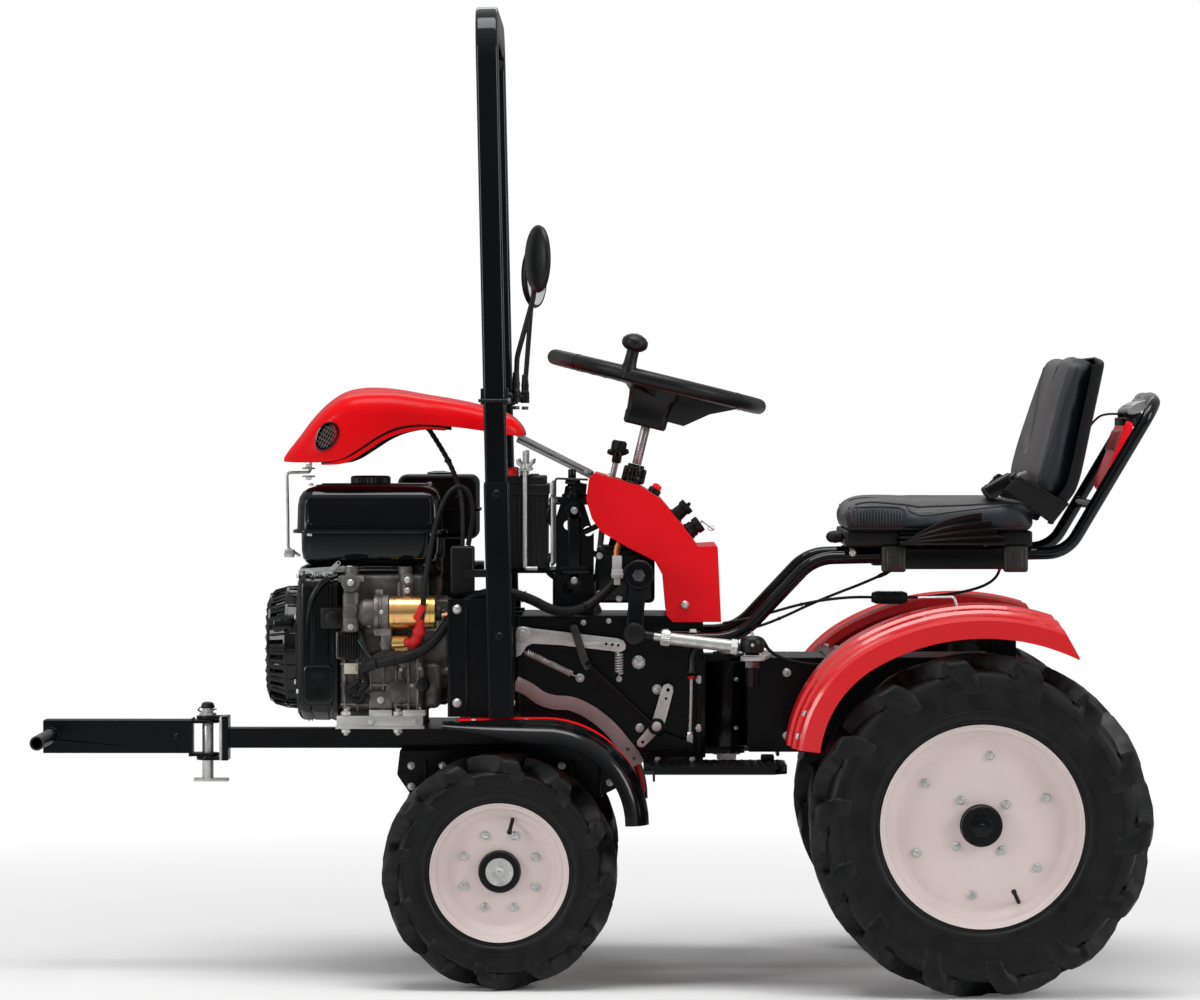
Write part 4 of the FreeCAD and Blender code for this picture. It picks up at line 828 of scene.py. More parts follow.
for name, side in SIDES.items():
    bezel = []
    for radius_u, radius_v, bulge in ((27.5, 18.5, 0.0), (27.0, 18.0, 2.6), (25.0, 16.2, 3.4), (23.0, 14.6, 1.4),
                                      (22.2, 14.0, -3.0)):
        ring = []
        for i in range(40):
            a = math.tau * i / 40
            x, z = oval(radius_u * math.cos(a), radius_v * math.sin(a) * (1 + 0.14 * math.cos(a)))
            ring.append(P(x, side * (151.0 + bulge), z))
        bezel.append(ring)
    ring_piece = piece(f"hood_lamp_bezel_{name}", skin(bezel, ends=False), "front_half", GLOSS_PLASTIC)
    rings = []
    for s, out in ((1, 148.6), (0.7, 150.0), (0.35, 150.6), (0.02, 150.8)):
        flat = [oval(22.4 * s * math.cos(a), 14.2 * s * math.sin(a) * (1 + 0.14 * math.cos(a)))
                for a in (math.tau * i / 40 for i in range(40))]
        rings.append([P(x, side * out, z) for x, z in flat])
    lens = skin(rings)
    bars = []
    for v in (-9, -4.5, 0, 4.5, 9):
        reach = 21.0 * math.sqrt(max(0.0, 1 - (v / 14.2) ** 2))
        a, b = oval(-reach, v), oval(reach, v)
        bars.append(pipe([(a[0], side * 151.6, a[1]), (b[0], side * 151.6, b[1])], 0.9, 6))
    for u in (-15, -7.5, 0, 7.5, 15):
        reach = 13.4 * math.sqrt(max(0.0, 1 - (u / 22.4) ** 2))
        a, b = oval(u, -reach), oval(u, reach)
        bars.append(pipe([(a[0], side * 151.8, a[1]), (b[0], side * 151.8, b[1])], 0.9, 6))
    piece(f"hood_lamp_lens_{name}", lens, "front_half", GLOSS_PLASTIC)
    piece(f"hood_lamp_grid_{name}", bars, "front_half", LAMP_GRID)
    if side < 0:
        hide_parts("hood_lamps")

# %% [markdown]
# A wire stay holds the hood's nose to the tank, pinched by a small bolt, and two grey bars tie its tail to the
# dash. The bars are really a pair of flat strips with a groove between them, and a dark strip in the groove is
# painted shade.

# %% Hood stay and rear bars
stay = [pipe(filleted([(-505, 0, 900), (-506, 0, 878), (-547, 0, 877), (-545.5, 0, 800), (-545, 0, 744),
                       (-524, 0, 730)], 6), 2.6, 12),
        block((-520, -9, 869), (-498, 9, 872), 0.8), block((-520, -9, 883), (-498, 9, 886), 0.8),
        bolt((-509, 0, 886), Z, 6.5), hexagon((-509, 0, 869), -Z, 10, 5),
        block((-552, -8, 728), (-534, 8, 742), 1.5)]
stay = piece("hood_stay", stay, "front_half", ZINC)
bars, groove_shade_strips = [], []
for y in (-70, 70):
    for drop in (0, 1):
        start, end = Vector((-141, y, 944 - 10 * drop)), Vector((-11 + 3 * drop, y, 878 - 10 * drop))
        bars.append(pipe([start, end], 1.0, section=[(-8, -2), (-7, -2.8), (7, -2.8), (8, -2), (8, 2),
                                                     (7, 2.8), (-7, 2.8), (-8, 2)]))
    # A dark strip fills the groove between the two strips: painted shade.
    start, end = Vector((-139, y, 939)), Vector((-9, y, 873))
    groove_shade_strips.append(pipe([start, end], 1.0, section=[(-7, -5.5), (7, -5.5), (7, 5.5), (-7, 5.5)]))
    bars.append(bolt((-20, y - 8.2 if y < 0 else y + 8.2, 878), (0, y, 0), 5))
bars = piece("hood_bars", bars, "front_half", GREY_BAR)
piece("hood_bar_groove_shade", groove_shade_strips, "front_half", DARK_STEEL)
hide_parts("hood_supports")

# %% [markdown]
# The roll hoop is one rectangular tube, bent twice and leaning forward a little. Its corners are rounded, so it is
# swept as a rounded section along a filleted line. At the foot it stands in a slightly larger socket, and the step
# between the two is the detail that tells them apart.

# %% Roll hoop and its sockets
def rounded_section(half_u, half_v, corner, steps=5):
    ring = []
    for su, sv, first in ((1, 1, 0), (-1, 1, 90), (-1, -1, 180), (1, -1, 270)):
        for i in range(steps):
            a = math.radians(first + 90 * i / (steps - 1))
            ring.append((su * (half_u - corner) + corner * math.cos(a), sv * (half_v - corner) + corner * math.sin(a)))
    return ring


def hoop_x(z):
    return -163.0 - (z - 470.0) * 0.0215


path = [(0, -255, 470), (0, -255, 1655), (0, 255, 1655), (0, 255, 470)]
path = [Vector((hoop_x(p.z), p.y, p.z)) for p in filleted(path, 66, 12)]
hoop = piece("hoop_tube", pipe(path, 1.0, section=rounded_section(25, 19, 5.5)), "front_half", BLACK_GLOSS)
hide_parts("roll_hoop")
sockets, hoop_bolts = [], []
for side in (-1, 1):
    line = [Vector((hoop_x(z), side * 255, z)) for z in (461, 700, 859, 864)]
    sockets.append(pipe(line, [1.0, 1.0, 1.0, 0.96], section=rounded_section(27.4, 21.6, 4)))
    for z in (843, 600):
        hoop_bolts.append(((hoop_x(z), side * 282.4, z), (0, side, 0), 8))
    for x, z in ((-240, 645), (-240, 484), (-148, 484)):
        hoop_bolts.append(((x, side * 230, z), (0, side, 0), 7.5))
piece("hoop_sockets", sockets, "front_half", BLACK_PAINT)
dark = [p for p in hoop_bolts if p[0][2] in (843, 600)]
bolts("hoop_side_bolts", [p for p in hoop_bolts if p not in dark], "front_half", ZINC)
bolts("hoop_socket_bolts", dark, "front_half", BLACK_PAINT)

# %% [markdown]
# A mirror stands on each post. The frame already has its stalk and its rounded back; what is missing is the glass,
# the rubber lip around it and the clamp with its nuts.

# %% Mirror glass, lips and clamps
for (name, side), (head_x, head_z, foot) in zip(SIDES.items(), ((-100, 1245, -138), (-116, 1230, -133))):
    head = Vector((head_x, side * 265, head_z))
    turn = math.radians(25 * -side)                      # the glass looks in towards the driver
    facing, along = Vector((math.cos(turn), math.sin(turn), 0)), Vector((-math.sin(turn), math.cos(turn), 0))

    def mirror_ring(out, scale):
        return [(head + facing * out + along * (42.6 * scale * math.cos(a)) + Z * (56.2 * scale * math.sin(a))) * MM
                for a in (math.tau * i / 56 for i in range(56))]

    lip = [mirror_ring(*at) for at in ((2.0, 1.0), (4.8, 1.0), (5.4, 0.97), (5.0, 0.93))]
    glass = [mirror_ring(*at) for at in ((4.7, 0.935), (5.0, 0.6), (5.2, 0.3), (5.25, 0.01))]
    piece(f"mirror_lip_{name}", skin(lip, ends=False), "front_half", RUBBER)
    piece(f"mirror_glass_{name}", skin(glass), "front_half", MIRROR)
    post = side * 255.0
    clamp = [block((hoop_x(1010) + 18.5, post - 22, 996), (hoop_x(1010) + 23.5, post + 22, 1024), 1.5),
             block((hoop_x(1010) - 23.5, post - 22, 996), (hoop_x(1010) - 18.5, post + 22, 1024), 1.5),
             turned([(0, 7), (3, 8), (6, 7), (14, 6.6), (18, 7.2), (22, 6.4), (36, 5.6), (38, 4.5)], (foot, post, 1014),
                    Z, 24)]
    for out in (-18, 18):
        clamp.append(round_bar((hoop_x(1010) - 27, post + out * 1.75, 1003),
                               (hoop_x(1010) + 27, post + out * 1.75, 1003), 3, 0.8))
    piece(f"mirror_clamp_{name}", clamp, "front_half", BLACK_PLASTIC)
    nuts = [hexagon((foot, post, 994), -Z, 12, 6), hexagon((foot, post, 1018), Z, 13, 6),
            hexagon((hoop_x(1010) + 23.5, post - 31.5, 1003), X, 9, 5),
            hexagon((hoop_x(1010) + 23.5, post + 31.5, 1003), X, 9, 5)]
    piece(f"mirror_nuts_{name}", nuts, "front_half", DARK_STEEL)
print("hood, hoop and mirrors made")
# %% [markdown]
# The engine hangs in front, fully in the open, so it needs the most parts: a black fan cowl, a grey cast crankcase
# with ribs, a gold-plated starter with a red cable boot, a flat finned box for the charging current and a
# loom of wires. The tank above it is two pressed halves joined by a flat seam.

# %% Fuel tank, cap and tank bolt
def rounded_block(low, high, corner, edge, steps=5):
    """A block whose upright corners are well rounded and whose top and bottom edges are softer."""
    low, high = Vector(low), Vector(high)
    mid = (low + high) / 2
    section = rounded_section((high.x - low.x) / 2, (high.y - low.y) / 2, corner, 7)
    rings = []
    for i in range(2 * steps):
        top = i >= steps
        a = math.radians(90.0 * (i - steps if top else steps - 1 - i) / (steps - 1))
        inset = edge * (1 - math.cos(a))
        z = (high.z - edge if top else low.z + edge) + (edge if top else -edge) * math.sin(a)
        half_x, half_y = (high.x - low.x) / 2, (high.y - low.y) / 2
        rings.append([P(mid.x + u * (half_x - inset) / half_x, mid.y + v * (half_y - inset) / half_y, z)
                      for u, v in section])
    return skin(rings)


def pressed(low, high, corner, profile):
    """A pressed shell: the plan is a rounded block, and profile lists (height share, inset) up its wall."""
    low, high = Vector(low), Vector(high)
    half, mid = (high - low) / 2, (high + low) / 2
    section = rounded_section(half.x, half.y, corner, 7)
    return skin([[P(mid.x + u * (1 - inset / half.x), mid.y + v * (1 - inset / half.y), low.z + (high.z - low.z) * t)
                  for u, v in section] for t, inset in profile])


tank = [pressed((-521, -149, 779), (-269, 129, 856), 24,
                [(0, 0), (0.55, 1.2), (0.74, 4), (0.86, 10), (0.94, 19), (0.985, 30), (1.0, 46), (0.99, 60)]),
        pressed((-514, -142, 716), (-278, 122, 775), 22,
                [(0, 30), (0.03, 18), (0.10, 8.5), (0.24, 2.8), (0.45, 0.6), (1.0, 0)]),
        rounded_block((-528, -157, 773.6), (-260, 137, 779.6), 30, 1.6, 3)]
for y in (-100, -50, 0, 50, 90):                          # shallow ribs pressed into the top
    if abs(y + 10) > 45:
        tank.append(rounded_block((-490, y - 7, 852), (-300, y + 7, 857.4), 6.5, 1.6, 3))
tank = piece("tank_shell", tank, "front_half", BLACK_GLOSS, smooth=40)
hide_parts("fuel_tank")
face = [(u, v) for u, v in rounded_section(111, 23.5, 9, 5)]
panel = [skin([[P(-394.5 + u * s, -out, 811 + v * s) for u, v in face]
               for out, s in ((148.2, 1.0), (151.6, 1.0), (152.6, 0.985), (152.6, 0.965), (151.4, 0.95), (151.0, 0.5),
                              (150.9, 0.02))])]
piece("tank_side_panel", panel, "front_half", GLOSS_PLASTIC)
cap = [turned([(0, 37), (2, 38), (4, 36)], (-399, -10, 855), Z, 48)]
ring = []
for rise, radius in ((3, 31), (4, 34), (14, 34), (16.5, 32), (17, 28), (15.6, 24), (15.2, 0.1)):
    ring.append([P(-399 + (radius + (1.1 if i % 2 and radius == 34 else 0)) * math.cos(math.tau * i / 72),
                   -10 + (radius + (1.1 if i % 2 and radius == 34 else 0)) * math.sin(math.tau * i / 72),
                   855 + rise) for i in range(72)])
cap.append(skin(ring))
cap = piece("tank_cap", cap, "front_half", BLACK_PLASTIC, smooth=30)
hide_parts("fuel_cap")
bolts("tank_bolts", [((-500, -70, 855), Z, 5), ((-300, 100, 855), Z, 5), ((-498, -146, 773), -Z, 5),
                     ((-285, -146, 773), -Z, 5)], "front_half", ZINC)

# %% [markdown]
# The crankcase is sand cast. It gets upright ribs, a bolted side cover, a filler plug and mounting feet on a plated
# rail. On the far side the sloping cylinder has cooling fins all round, a rocker cover and a spark plug.

# %% Crankcase ribs, cover, feet and rails
cast = [block((-447, -163, 467), (-300, 78, 640), 12, 4), block((-442, -138, 626), (-300, 73, 702), 8, 3)]
for x in (-436, -414, -392, -370, -348, -326, -310):
    cast.append(block((x - 2, -169, 466), (x + 2, -160, 556), 1.5))
for z in (478, 512, 548):
    cast.append(block((-444, -168, z - 2), (-303, -161, z + 2), 1.5))
cast += [turned([(0, 96), (34, 96), (38, 92), (40, 86), (40, 30), (60, 30), (60, 16)], (-300, -30, 566), X, 64),
         block((-302, -150, 470), (-272, 60, 548), 10, 3), block((-452, -168, 556), (-408, -150, 604), 4),
        block((-404, -171, 600), (-304, -158, 634), 5, 3), block((-396, -173, 470), (-352, -160, 503), 6, 3),
        turned([(0, 24), (5, 24), (7, 21), (7, 15), (4, 14), (4, 0)], (-322, -161, 530), -Y, 36),
         turned([(0, 20), (8, 20), (9, 18), (9, 0)], (-345, -163, 500), -Y, 32),
         turned([(0, 14), (12, 14), (13, 12), (13, 0)], (-320, -163, 590), -Y, 32)]
for n in range(8):
    a = math.tau * (n + 0.5) / 8
    at = Vector((-300, -30 + 90 * math.cos(a), 566 + 90 * math.sin(a)))
    cast.append(round_bar(at, at + Vector((42, 0, 0)), 9, 1.5, 16))
for x in (-425, -332):
    cast.append(round_bar((x, -150, 664), (x, -150, 716), 12, 2))
    cast.append(block((x - 14, -158, 640), (x + 14, -134, 690), 4))
barrel = [turned([(0, 54), (172, 54)], (-374, 40, 600), (0, 1, 0.45), 48)]
direction = Vector((0, 1, 0.45)).normalized()
along = frame_along(direction)
for n in range(9):
    at = Vector((-374, 40, 600)) + direction * (58 + 11 * n)
    wide = 70 if n < 5 else 66
    ring = rounded_section(wide, wide * 0.93, 22, 6)
    rings = []
    for thick, scale in ((0, 0.985), (0.8, 1.0), (2.4, 1.0), (3.2, 0.985)):
        rings.append([(at + direction * thick + along[1] * u * scale + along[2] * v * scale) * MM for u, v in ring])
    barrel.append(skin(rings))
top = Vector((-374, 40, 600)) + direction * 158
for ring_scale, start, end in ((1.0, 0, 12), (0.86, 12, 34)):
    ring = rounded_section(64 * ring_scale, 56 * ring_scale, 14, 6)
    rings = []
    for thick, scale in ((start, 1.0), (end - 3, 1.0), (end - 0.8, 0.985), (end, 0.95)):
        rings.append([(top + direction * thick + along[1] * u * scale + along[2] * v * scale) * MM for u, v in ring])
    barrel.append(skin(rings))
# The crankcase's dark tone is painted shade, and its light edges are a painted highlight.
engine = piece("crankcase", cast + barrel, "front_half", CAST_IN_PAINTED_SHADE, smooth=40)
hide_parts("engine_block")
rails = []
for low, high in ((-178, -130), (42, 78)):
    rails += [block((-450, low + 2, 438), (-300, high - 2, 459), 2.5), block((-452, low, 436), (-298, high, 441), 1)]
    rails += [block((x - 20, low + 3, 458), (x + 20, high - 3, 469), 2) for x in (-374, -316)]
piece("engine_rails", rails, "front_half", ZINC_PLATE)
feet = []
for x in (-434, -344):
    for y in (-168, 60):
        feet += [((x, y, 459), Z, 9.5, True), ((x, y, 436), -Z, 9, True)]
feet += [((-390, -176.2, 449), -Y, 6), ((-314, -176.2, 449), -Y, 5), ((-374, -173, 486), -Y, 6)]
feet += [((x, -171, 617), -Y, 5) for x in (-394, -354, -314)]
feet += [((-322 + 19 * math.cos(a), -165.5, 530 + 19 * math.sin(a)), -Y, 3.4) for a in (0.6, 2.7, 4.8)]
for n in range(6):
    feet.append(((-432 + 62 * (n % 3), -163.5, 470 if n < 3 else 622), -Y, 4.6))
for n in range(4):
    offset = along[1] * (48 if n % 2 else -48) + along[2] * (40 if n > 1 else -40)
    feet.append((top + direction * 12 + offset, direction, 5))
for n in range(8):
    a = math.tau * (n + 0.5) / 8
    feet.append(((-258, -30 + 90 * math.cos(a), 566 + 90 * math.sin(a)), X, 5))
bolts("engine_bolts", feet, "front_half", ZINC)
plug = [turned([(0, 13), (4, 13), (5, 11), (13, 11), (14, 9.5), (14, 0)], (-302, -163, 512), -Y, 32),
        block((-306, -179, 500), (-298, -171, 524), 1.5)]
piece("oil_filler_plug", plug, "front_half", BLACK_PLASTIC)
spark = top + direction * 20 + along[1] * 56
piece("spark_plug_cap", [pipe(eased([spark, spark + along[1] * 26 + Vector((0, 4, 4)),
                                     spark + along[1] * 34 + Vector((0, -14, 18)),
                                     spark + along[1] * 24 + Vector((0, -60, 40))]), [9, 9, 9, 8.6, 8.4, 8, 7, 5, 3.6,
                                                                                   3.6, 3.6, 3.6, 3.6, 3.6, 3.6,
                                                                                   3.6, 3.6, 3.6, 3.6], 14)],
      "front_half", RUBBER)

# %% [markdown]
# The fan cowl is a faceted black pressing, and the recoil starter in front of it is a slotted cup. The frame has
# both at the right size. Added here are the stepped rim between them, the cowl's screws, the switch box with its
# dial, and the grip and rope guide of the pull starter.

# %% Cowl details and recoil starter
outline = [(-142, 460), (-120, 450), (60, 450), (140, 500), (150, 640), (90, 716), (-120, 716), (-160, 690), (-165, 470),
           (-142, 460)]
facets = filleted([(0, y, z) for y, z in outline], 20, 4)[:-1]
cowl = []
for steps in (((-517.4, -7), (-514, -1.5), (-509, 1.6), (-499, 2.4), (-494, 1.6), (-492.6, 0.5)),
              ((-491.6, 0.5), (-490, 2.0), (-466, 2.6), (-464, 1.0), (-459, 1.0), (-457, 3.0), (-449, 3.4), (-447, 0.5))):
    rings = []
    for x, grow in steps:
        rings.append([(p + (p - Vector((0, -7, 583))).normalized() * grow + X * x) * MM for p in facets])
    cowl.append(skin(rings, ends=False))
# The shoulder that sweeps over the cowl's left face, and the flat pad below it.
shoulder = eased([(-449, -164, 700), (-470, -166, 692), (-490, -167, 668), (-500, -167, 632), (-503, -167, 590)], 6)
count = len(shoulder) - 1
cowl.append(pipe(shoulder, [1.0 + 5.0 * math.sin(math.pi * min(1.0, 0.15 + i / count)) for i in range(count + 1)], 14))
cowl.append(skin([[P(-482 + u * s, -165 - out, 512 + v * s) for u, v in rounded_section(25, 34, 9, 5)]
                  for out, s in ((0, 1.06), (4.0, 1.0), (5.4, 0.93), (5.6, 0.85), (5.2, 0.5), (5.2, 0.02))]))
piece("cowl_facets", cowl, "front_half", GLOSS_PLASTIC, smooth=30)
cowl = [turned([(0, 124), (4, 124), (8, 119), (8, 106)], (-517, 0, 570), -X, 72),
        turned([(0, 131), (0, 126), (6, 125.5), (7, 128), (6, 130.5)], (-508, 0, 570), X, 72),
        block((-478, -174, 609), (-436, -160, 646), 3),
        turned([(0, 12.5), (3, 12.5), (4, 11), (4, 0)], (-457, -174, 627), -Y, 32),
        block((-449, -176, 559), (-410, -163, 603), 2)]
for n in range(8):
    cowl.append(block((-447 + 4.9 * n, -183, 561), (-444.6 + 4.9 * n, -174, 601), 0.7))
piece("cowl_fittings", cowl, "front_half", BLACK_PLASTIC)
recoil = []
for n in range(24):
    a = math.radians(15 * n)
    for radius in (44, 56):
        at = Vector((-577.8, radius * math.cos(a), 570 + radius * math.sin(a)))
        recoil.append(turned([(0, 2.6), (1.8, 2.2), (2.2, 0)], at, -X, 10))
    rib = [Vector((x, r * math.cos(a), 570 + r * math.sin(a))) for x, r in
           ((-579.4, 64), (-579.6, 78), (-573, 92), (-566, 99), (-545, 105), (-524, 107.4))]
    recoil.append(pipe(rib, [0.8, 1.6, 2.2, 2.4, 2.2, 1.4], 8))
for x, r in ((-573.5, 93.5), (-543, 106.2)):             # the two rings that tie the ribs together
    recoil.append(turned([(-2.4, r - 1), (-2.0, r + 1.6), (2.0, r + 1.9), (2.4, r - 0.6)], (x, 0, 570), X, 72))
recoil += [turned([(0, 30), (3, 29), (4, 26), (4, 0)], (-577, 0, 570), -X, 48),
           block((-566, -100, 600), (-528, -66, 622), 5), turned([(0, 7), (10, 8), (12, 0)], (-548, -98, 612), -Y, 20)]
piece("recoil_details", recoil, "front_half", GLOSS_PLASTIC)
screws = []
for n in range(6):
    a = math.radians(60 * n + 30)
    screws.append(((-524, 113 * math.cos(a), 570 + 113 * math.sin(a)), -X, 5))
for y, z in ((-140, 700), (-154, 500), (120, 690), (100, 470)):
    screws.append(((-517, y, z), -X, 5))
bolts("cowl_screws", screws, "front_half", ZINC)
lever = [side_plate(bar_outline((-512, 706), (-440, 712), 6, 5), -142, 2, [(-508, 706, 2.5)]),
         side_plate(bar_outline((-470, 700), (-448, 722), 5, 4), -148, 2, [(-448, 722, 2)]),
         round_bar((-492, -150, 706), (-492, -138, 706), 4), round_bar((-470, -155, 703), (-470, -140, 703), 5),
         coil((-500, -147, 699), (-456, -147, 704), 3.2, 0.7, 12)]
piece("throttle_lever", lever, "front_half", ZINC)

# %% [markdown]
# The electric starter is the brightest thing on the engine. Its body is yellow-passivated steel, its nose and collar
# are raw castings, and the round relay under it has the same gold finish. A red rubber boot covers the terminal.

# %% Starter, its bracket and wiring
y, z = -196.0, 638.0
motor = [turned([(0, 0), (0, 27), (1.5, 28.5), (8, 28.5), (8.6, 27.9), (9.4, 27.9), (10, 28.5), (70, 28.5),
                 (70.6, 27.9), (71.4, 27.9), (72, 28.5), (79, 28.5), (81, 26), (81, 0)], (-358, y, z), X, 56),
         turned([(0, 0), (0, 14.2), (1, 15), (27, 15), (28, 14), (28, 0)], (-353, y, 585), X, 40)]
motor = piece("starter_body", motor, "front_half", GOLD)
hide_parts("starter_motor")
nose = [turned([(0, 12), (2, 14), (6, 20), (10, 23), (40, 23), (44, 25), (55, 27)], (-412, y, z), X, 44),
        turned([(0, 24), (1, 30.4), (8, 30.4), (9, 29), (14, 29), (15, 30.4), (25, 30.4), (26, 29)],
               (-384, y, z), X, 56),
        block((-382, y - 8, 664), (-368, y + 10, 678), 3), block((-384, y - 17, 598), (-354, y + 15, 612), 4),
        block((-438, -206, 604), (-410, -163, 676), 8, 3), round_bar((-424, -210, 690), (-424, -158, 690), 16, 2.5),
        round_bar((-327, -190, 694), (-327, -150, 694), 11, 2.5), block((-336, -186, 664), (-318, -150, 690), 5),
        block((-446, -204, 690), (-400, -168, 702), 4), block((-372, -208, 573), (-353, -165, 620), 4),
        turned([(0, 9), (6, 9), (7, 7.5), (7, 0)], (-374, y, 585), X, 24),
        round_bar((-424, -214, 642), (-424, -204, 642), 12, 2)]
piece("starter_castings", nose, "front_half", CAST_IN_PAINTED_SHADE)
studs = [((-424, -210.5, 690), -Y, 5.5), ((-327, -190.5, 694), -Y, 5.5), ((-327, -191, 676), -Y, 5),
         ((-424, -206.5, 614), -Y, 5), ((-370, -228, 640), -Y, 3.5), ((-300, -224, 655), -Y, 3),
         ((-300, -224, 622), -Y, 3)]
bolts("starter_bolts", studs, "front_half", ZINC)
terminal = [round_bar((-277, y, z), (-268, y, z), 13.5, 1.5),
            round_bar((-268, y, z), (-262, y, z), 6, 1)]
piece("starter_end_cap", terminal, "front_half", DARK_STEEL)
piece("starter_terminals", [round_bar((-268, -206, 634), (-252, -206, 634), 3.4),
                            hexagon((-262, -206, 634), X, 9, 5), round_bar((-325, y, 590), (-314, y, 590), 3.2),
                            hexagon((-323, y, 590), X, 8.5, 4)], "front_half", COPPER)
boots = [pipe(eased([(-316, -204, 580), (-312, -214, 590), (-306, -220, 606), (-303, -226, 622), (-300, -230, 636)]),
              [4, 6, 8, 10, 11, 11.4, 11, 10, 9, 8.4, 9, 10.6, 11, 10, 8.6, 7.6, 7, 6.6, 6.4, 6.2, 6, 5.8, 5.6, 5.4, 5.2],
              16),
         pipe(eased([(-330, -204, 588), (-322, -212, 586), (-312, -214, 578)]),
              [5, 6.4, 7.6, 8.4, 8.8, 8.8, 8.4, 7.6, 6.8, 6, 5.4, 5, 4.6], 14),
         pipe(eased([(-308, -226, 628), (-303, -231, 640), (-298, -232, 652)]),
              [8.6, 8.4, 8.2, 8, 7.8, 7.6, 7.4, 7, 6.8, 6.6, 6.4, 6.2, 6], 14)]
piece("red_terminal_boots", boots, "front_half", RED_RUBBER)
loom = [pipe(eased([(-376, -222, 552), (-392, -212, 548), (-404, -196, 536), (-398, -186, 516), (-412, -180, 500)]),
             [9, 9.6, 10, 10.4, 10.6, 11, 11, 10.6, 10, 9.6, 9, 8.6, 8, 7.6, 7.4, 7.2, 7, 6.8, 6.6, 6.4, 6.2, 6, 5.8,
              5.4, 5], 12),
        pipe(eased([(-386, -214, 556), (-398, -206, 572), (-402, -196, 592), (-412, -190, 612), (-418, -196, 634)]),
             4.2, 10),
        pipe(eased([(-400, -196, 560), (-380, -200, 572), (-360, -204, 580), (-348, -206, 574)]), 3, 8),
        pipe(eased([(-410, -184, 520), (-426, -182, 508), (-428, -178, 492), (-410, -176, 484), (-400, -178, 496)]),
             5.2, 10),
        block((-436, -186, 496), (-414, -174, 514), 2)]
piece("engine_loom", loom, "front_half", RUBBER)
piece("cream_connector", [block((-436, -190, 532), (-412, -174, 550), 1.2),
                          block((-433, -192, 536), (-415, -188, 546), 0.6)], "front_half", CREAM)
GREEN_WIRE = finish("green_wire", (0.02, 0.16, 0.07), 0.4, grain=(300.0, 0.05))
ORANGE_WIRE = finish("orange_wire", (0.60, 0.16, 0.02), 0.4, grain=(300.0, 0.05))
for name, paint, line in (("green_wire", GREEN_WIRE, [(-412, -188, 590), (-404, -194, 578), (-396, -196, 562),
                                                      (-392, -206, 552)]),
                          ("orange_wires", ORANGE_WIRE, [(-416, -186, 540), (-408, -192, 536), (-402, -194, 528),
                                                         (-404, -192, 518)])):
    piece(name, [pipe(eased(line), 1.3, 6), pipe(eased([Vector(p) + Vector((3, 1, 3)) for p in line]), 1.3, 6)],
          "front_half", paint)
print("engine's left side made")

# %% [markdown]
# The right side is seldom seen but has its own furniture: the exhaust in a slotted guard, the air cleaner on the
# carburettor, and the fuel hose.

# %% Exhaust guard, air cleaner and carburettor
guard = [block((-446, 250, 634), (-244, 255, 756), 2), block((-444, 328, 642), (-246, 333.5, 748), 4)]
for n in range(9):
    guard.append(block((-436 + 21 * n, 333, 656), (-428 + 21 * n, 335.5, 734), 1))
guard.append(turned([(0, 16), (0, 13), (44, 13), (44, 16)], (-252, 292, 700), X, 36))
piece("exhaust_guard", guard, "front_half", DARK_STEEL)
filter_parts = [block((-362, 143, 806), (-211, 249, 812), 2), turned([(0, 22), (3, 22), (4, 20), (6, 8)],
                                                                     (-286, 196, 872), Z, 32)]
for n in range(6):
    filter_parts.append(block((-346 + 22 * n, 245.5, 770), (-340 + 22 * n, 248, 856), 1))
piece("air_cleaner_details", filter_parts, "front_half", GLOSS_PLASTIC)
carb = [block((-322, 172, 690), (-280, 220, 724), 5), round_bar((-300, 196, 640), (-300, 196, 692), 19, 4),
        round_bar((-322, 196, 706), (-346, 196, 706), 15, 3), block((-352, 168, 686), (-344, 224, 728), 3)]
piece("carburettor", carb, "front_half", CAST_IN_PAINTED_SHADE)
piece("fuel_hose", [pipe(eased([(-330, 110, 712), (-322, 132, 690), (-312, 160, 668), (-304, 178, 650)]), 4.5, 12)],
      "front_half", RUBBER)
print("engine's right side made")
# %% [markdown]
# The seat is foam under vinyl. Its side view gives the outline, the corners are rounded off towards both sides, and
# the two bolsters stand a little higher than the middle. Then the skin is blown up like a cloth bag while the seam
# lines are held still, which is close to what foam does under a sewn cover: full between the seams, tight along them.

# %% Foam shapes
def foam(outline, half, corner, swell, hollow):
    """A pad from its side outline in (x, z). swell lifts the bolsters, hollow drops the middle panel."""
    ring = [Vector((p.x, 0, p.z)) for p in eased([(x, 0, z) for x, z in outline + outline[:1]], 5)[:-1]]
    centre = sum(ring, Vector()) / len(ring)
    stations = [-half + corner * (1 - math.cos(math.radians(a))) for a in range(0, 91, 15)]
    stations += [-half + corner + (half - corner) * 2 * i / 24 for i in range(1, 24)]
    stations += [-y for y in stations[6::-1]]
    rows = []
    for y in stations:
        near = max(0.0, abs(y) - (half - corner))
        inset = corner - math.sqrt(max(0.0, corner ** 2 - near ** 2))
        lift = swell * math.exp(-((abs(y) - half * 0.74) / (half * 0.16)) ** 2) - hollow * math.exp(-(y / 95.0) ** 4)
        row = []
        for before, point, after in zip([ring[-1]] + ring[:-1], ring, ring[1:] + ring[:1]):
            out = (after - before).cross(Y).normalized()
            out = out if out.dot(point - centre) > 0 else -out
            facing = max(0.0, out.dot(PAD_UP[0]))
            row.append((point - out * inset + out * lift * facing + Vector((0, y, 0))) * MM)
        rows.append(row)
    return skin(rows)


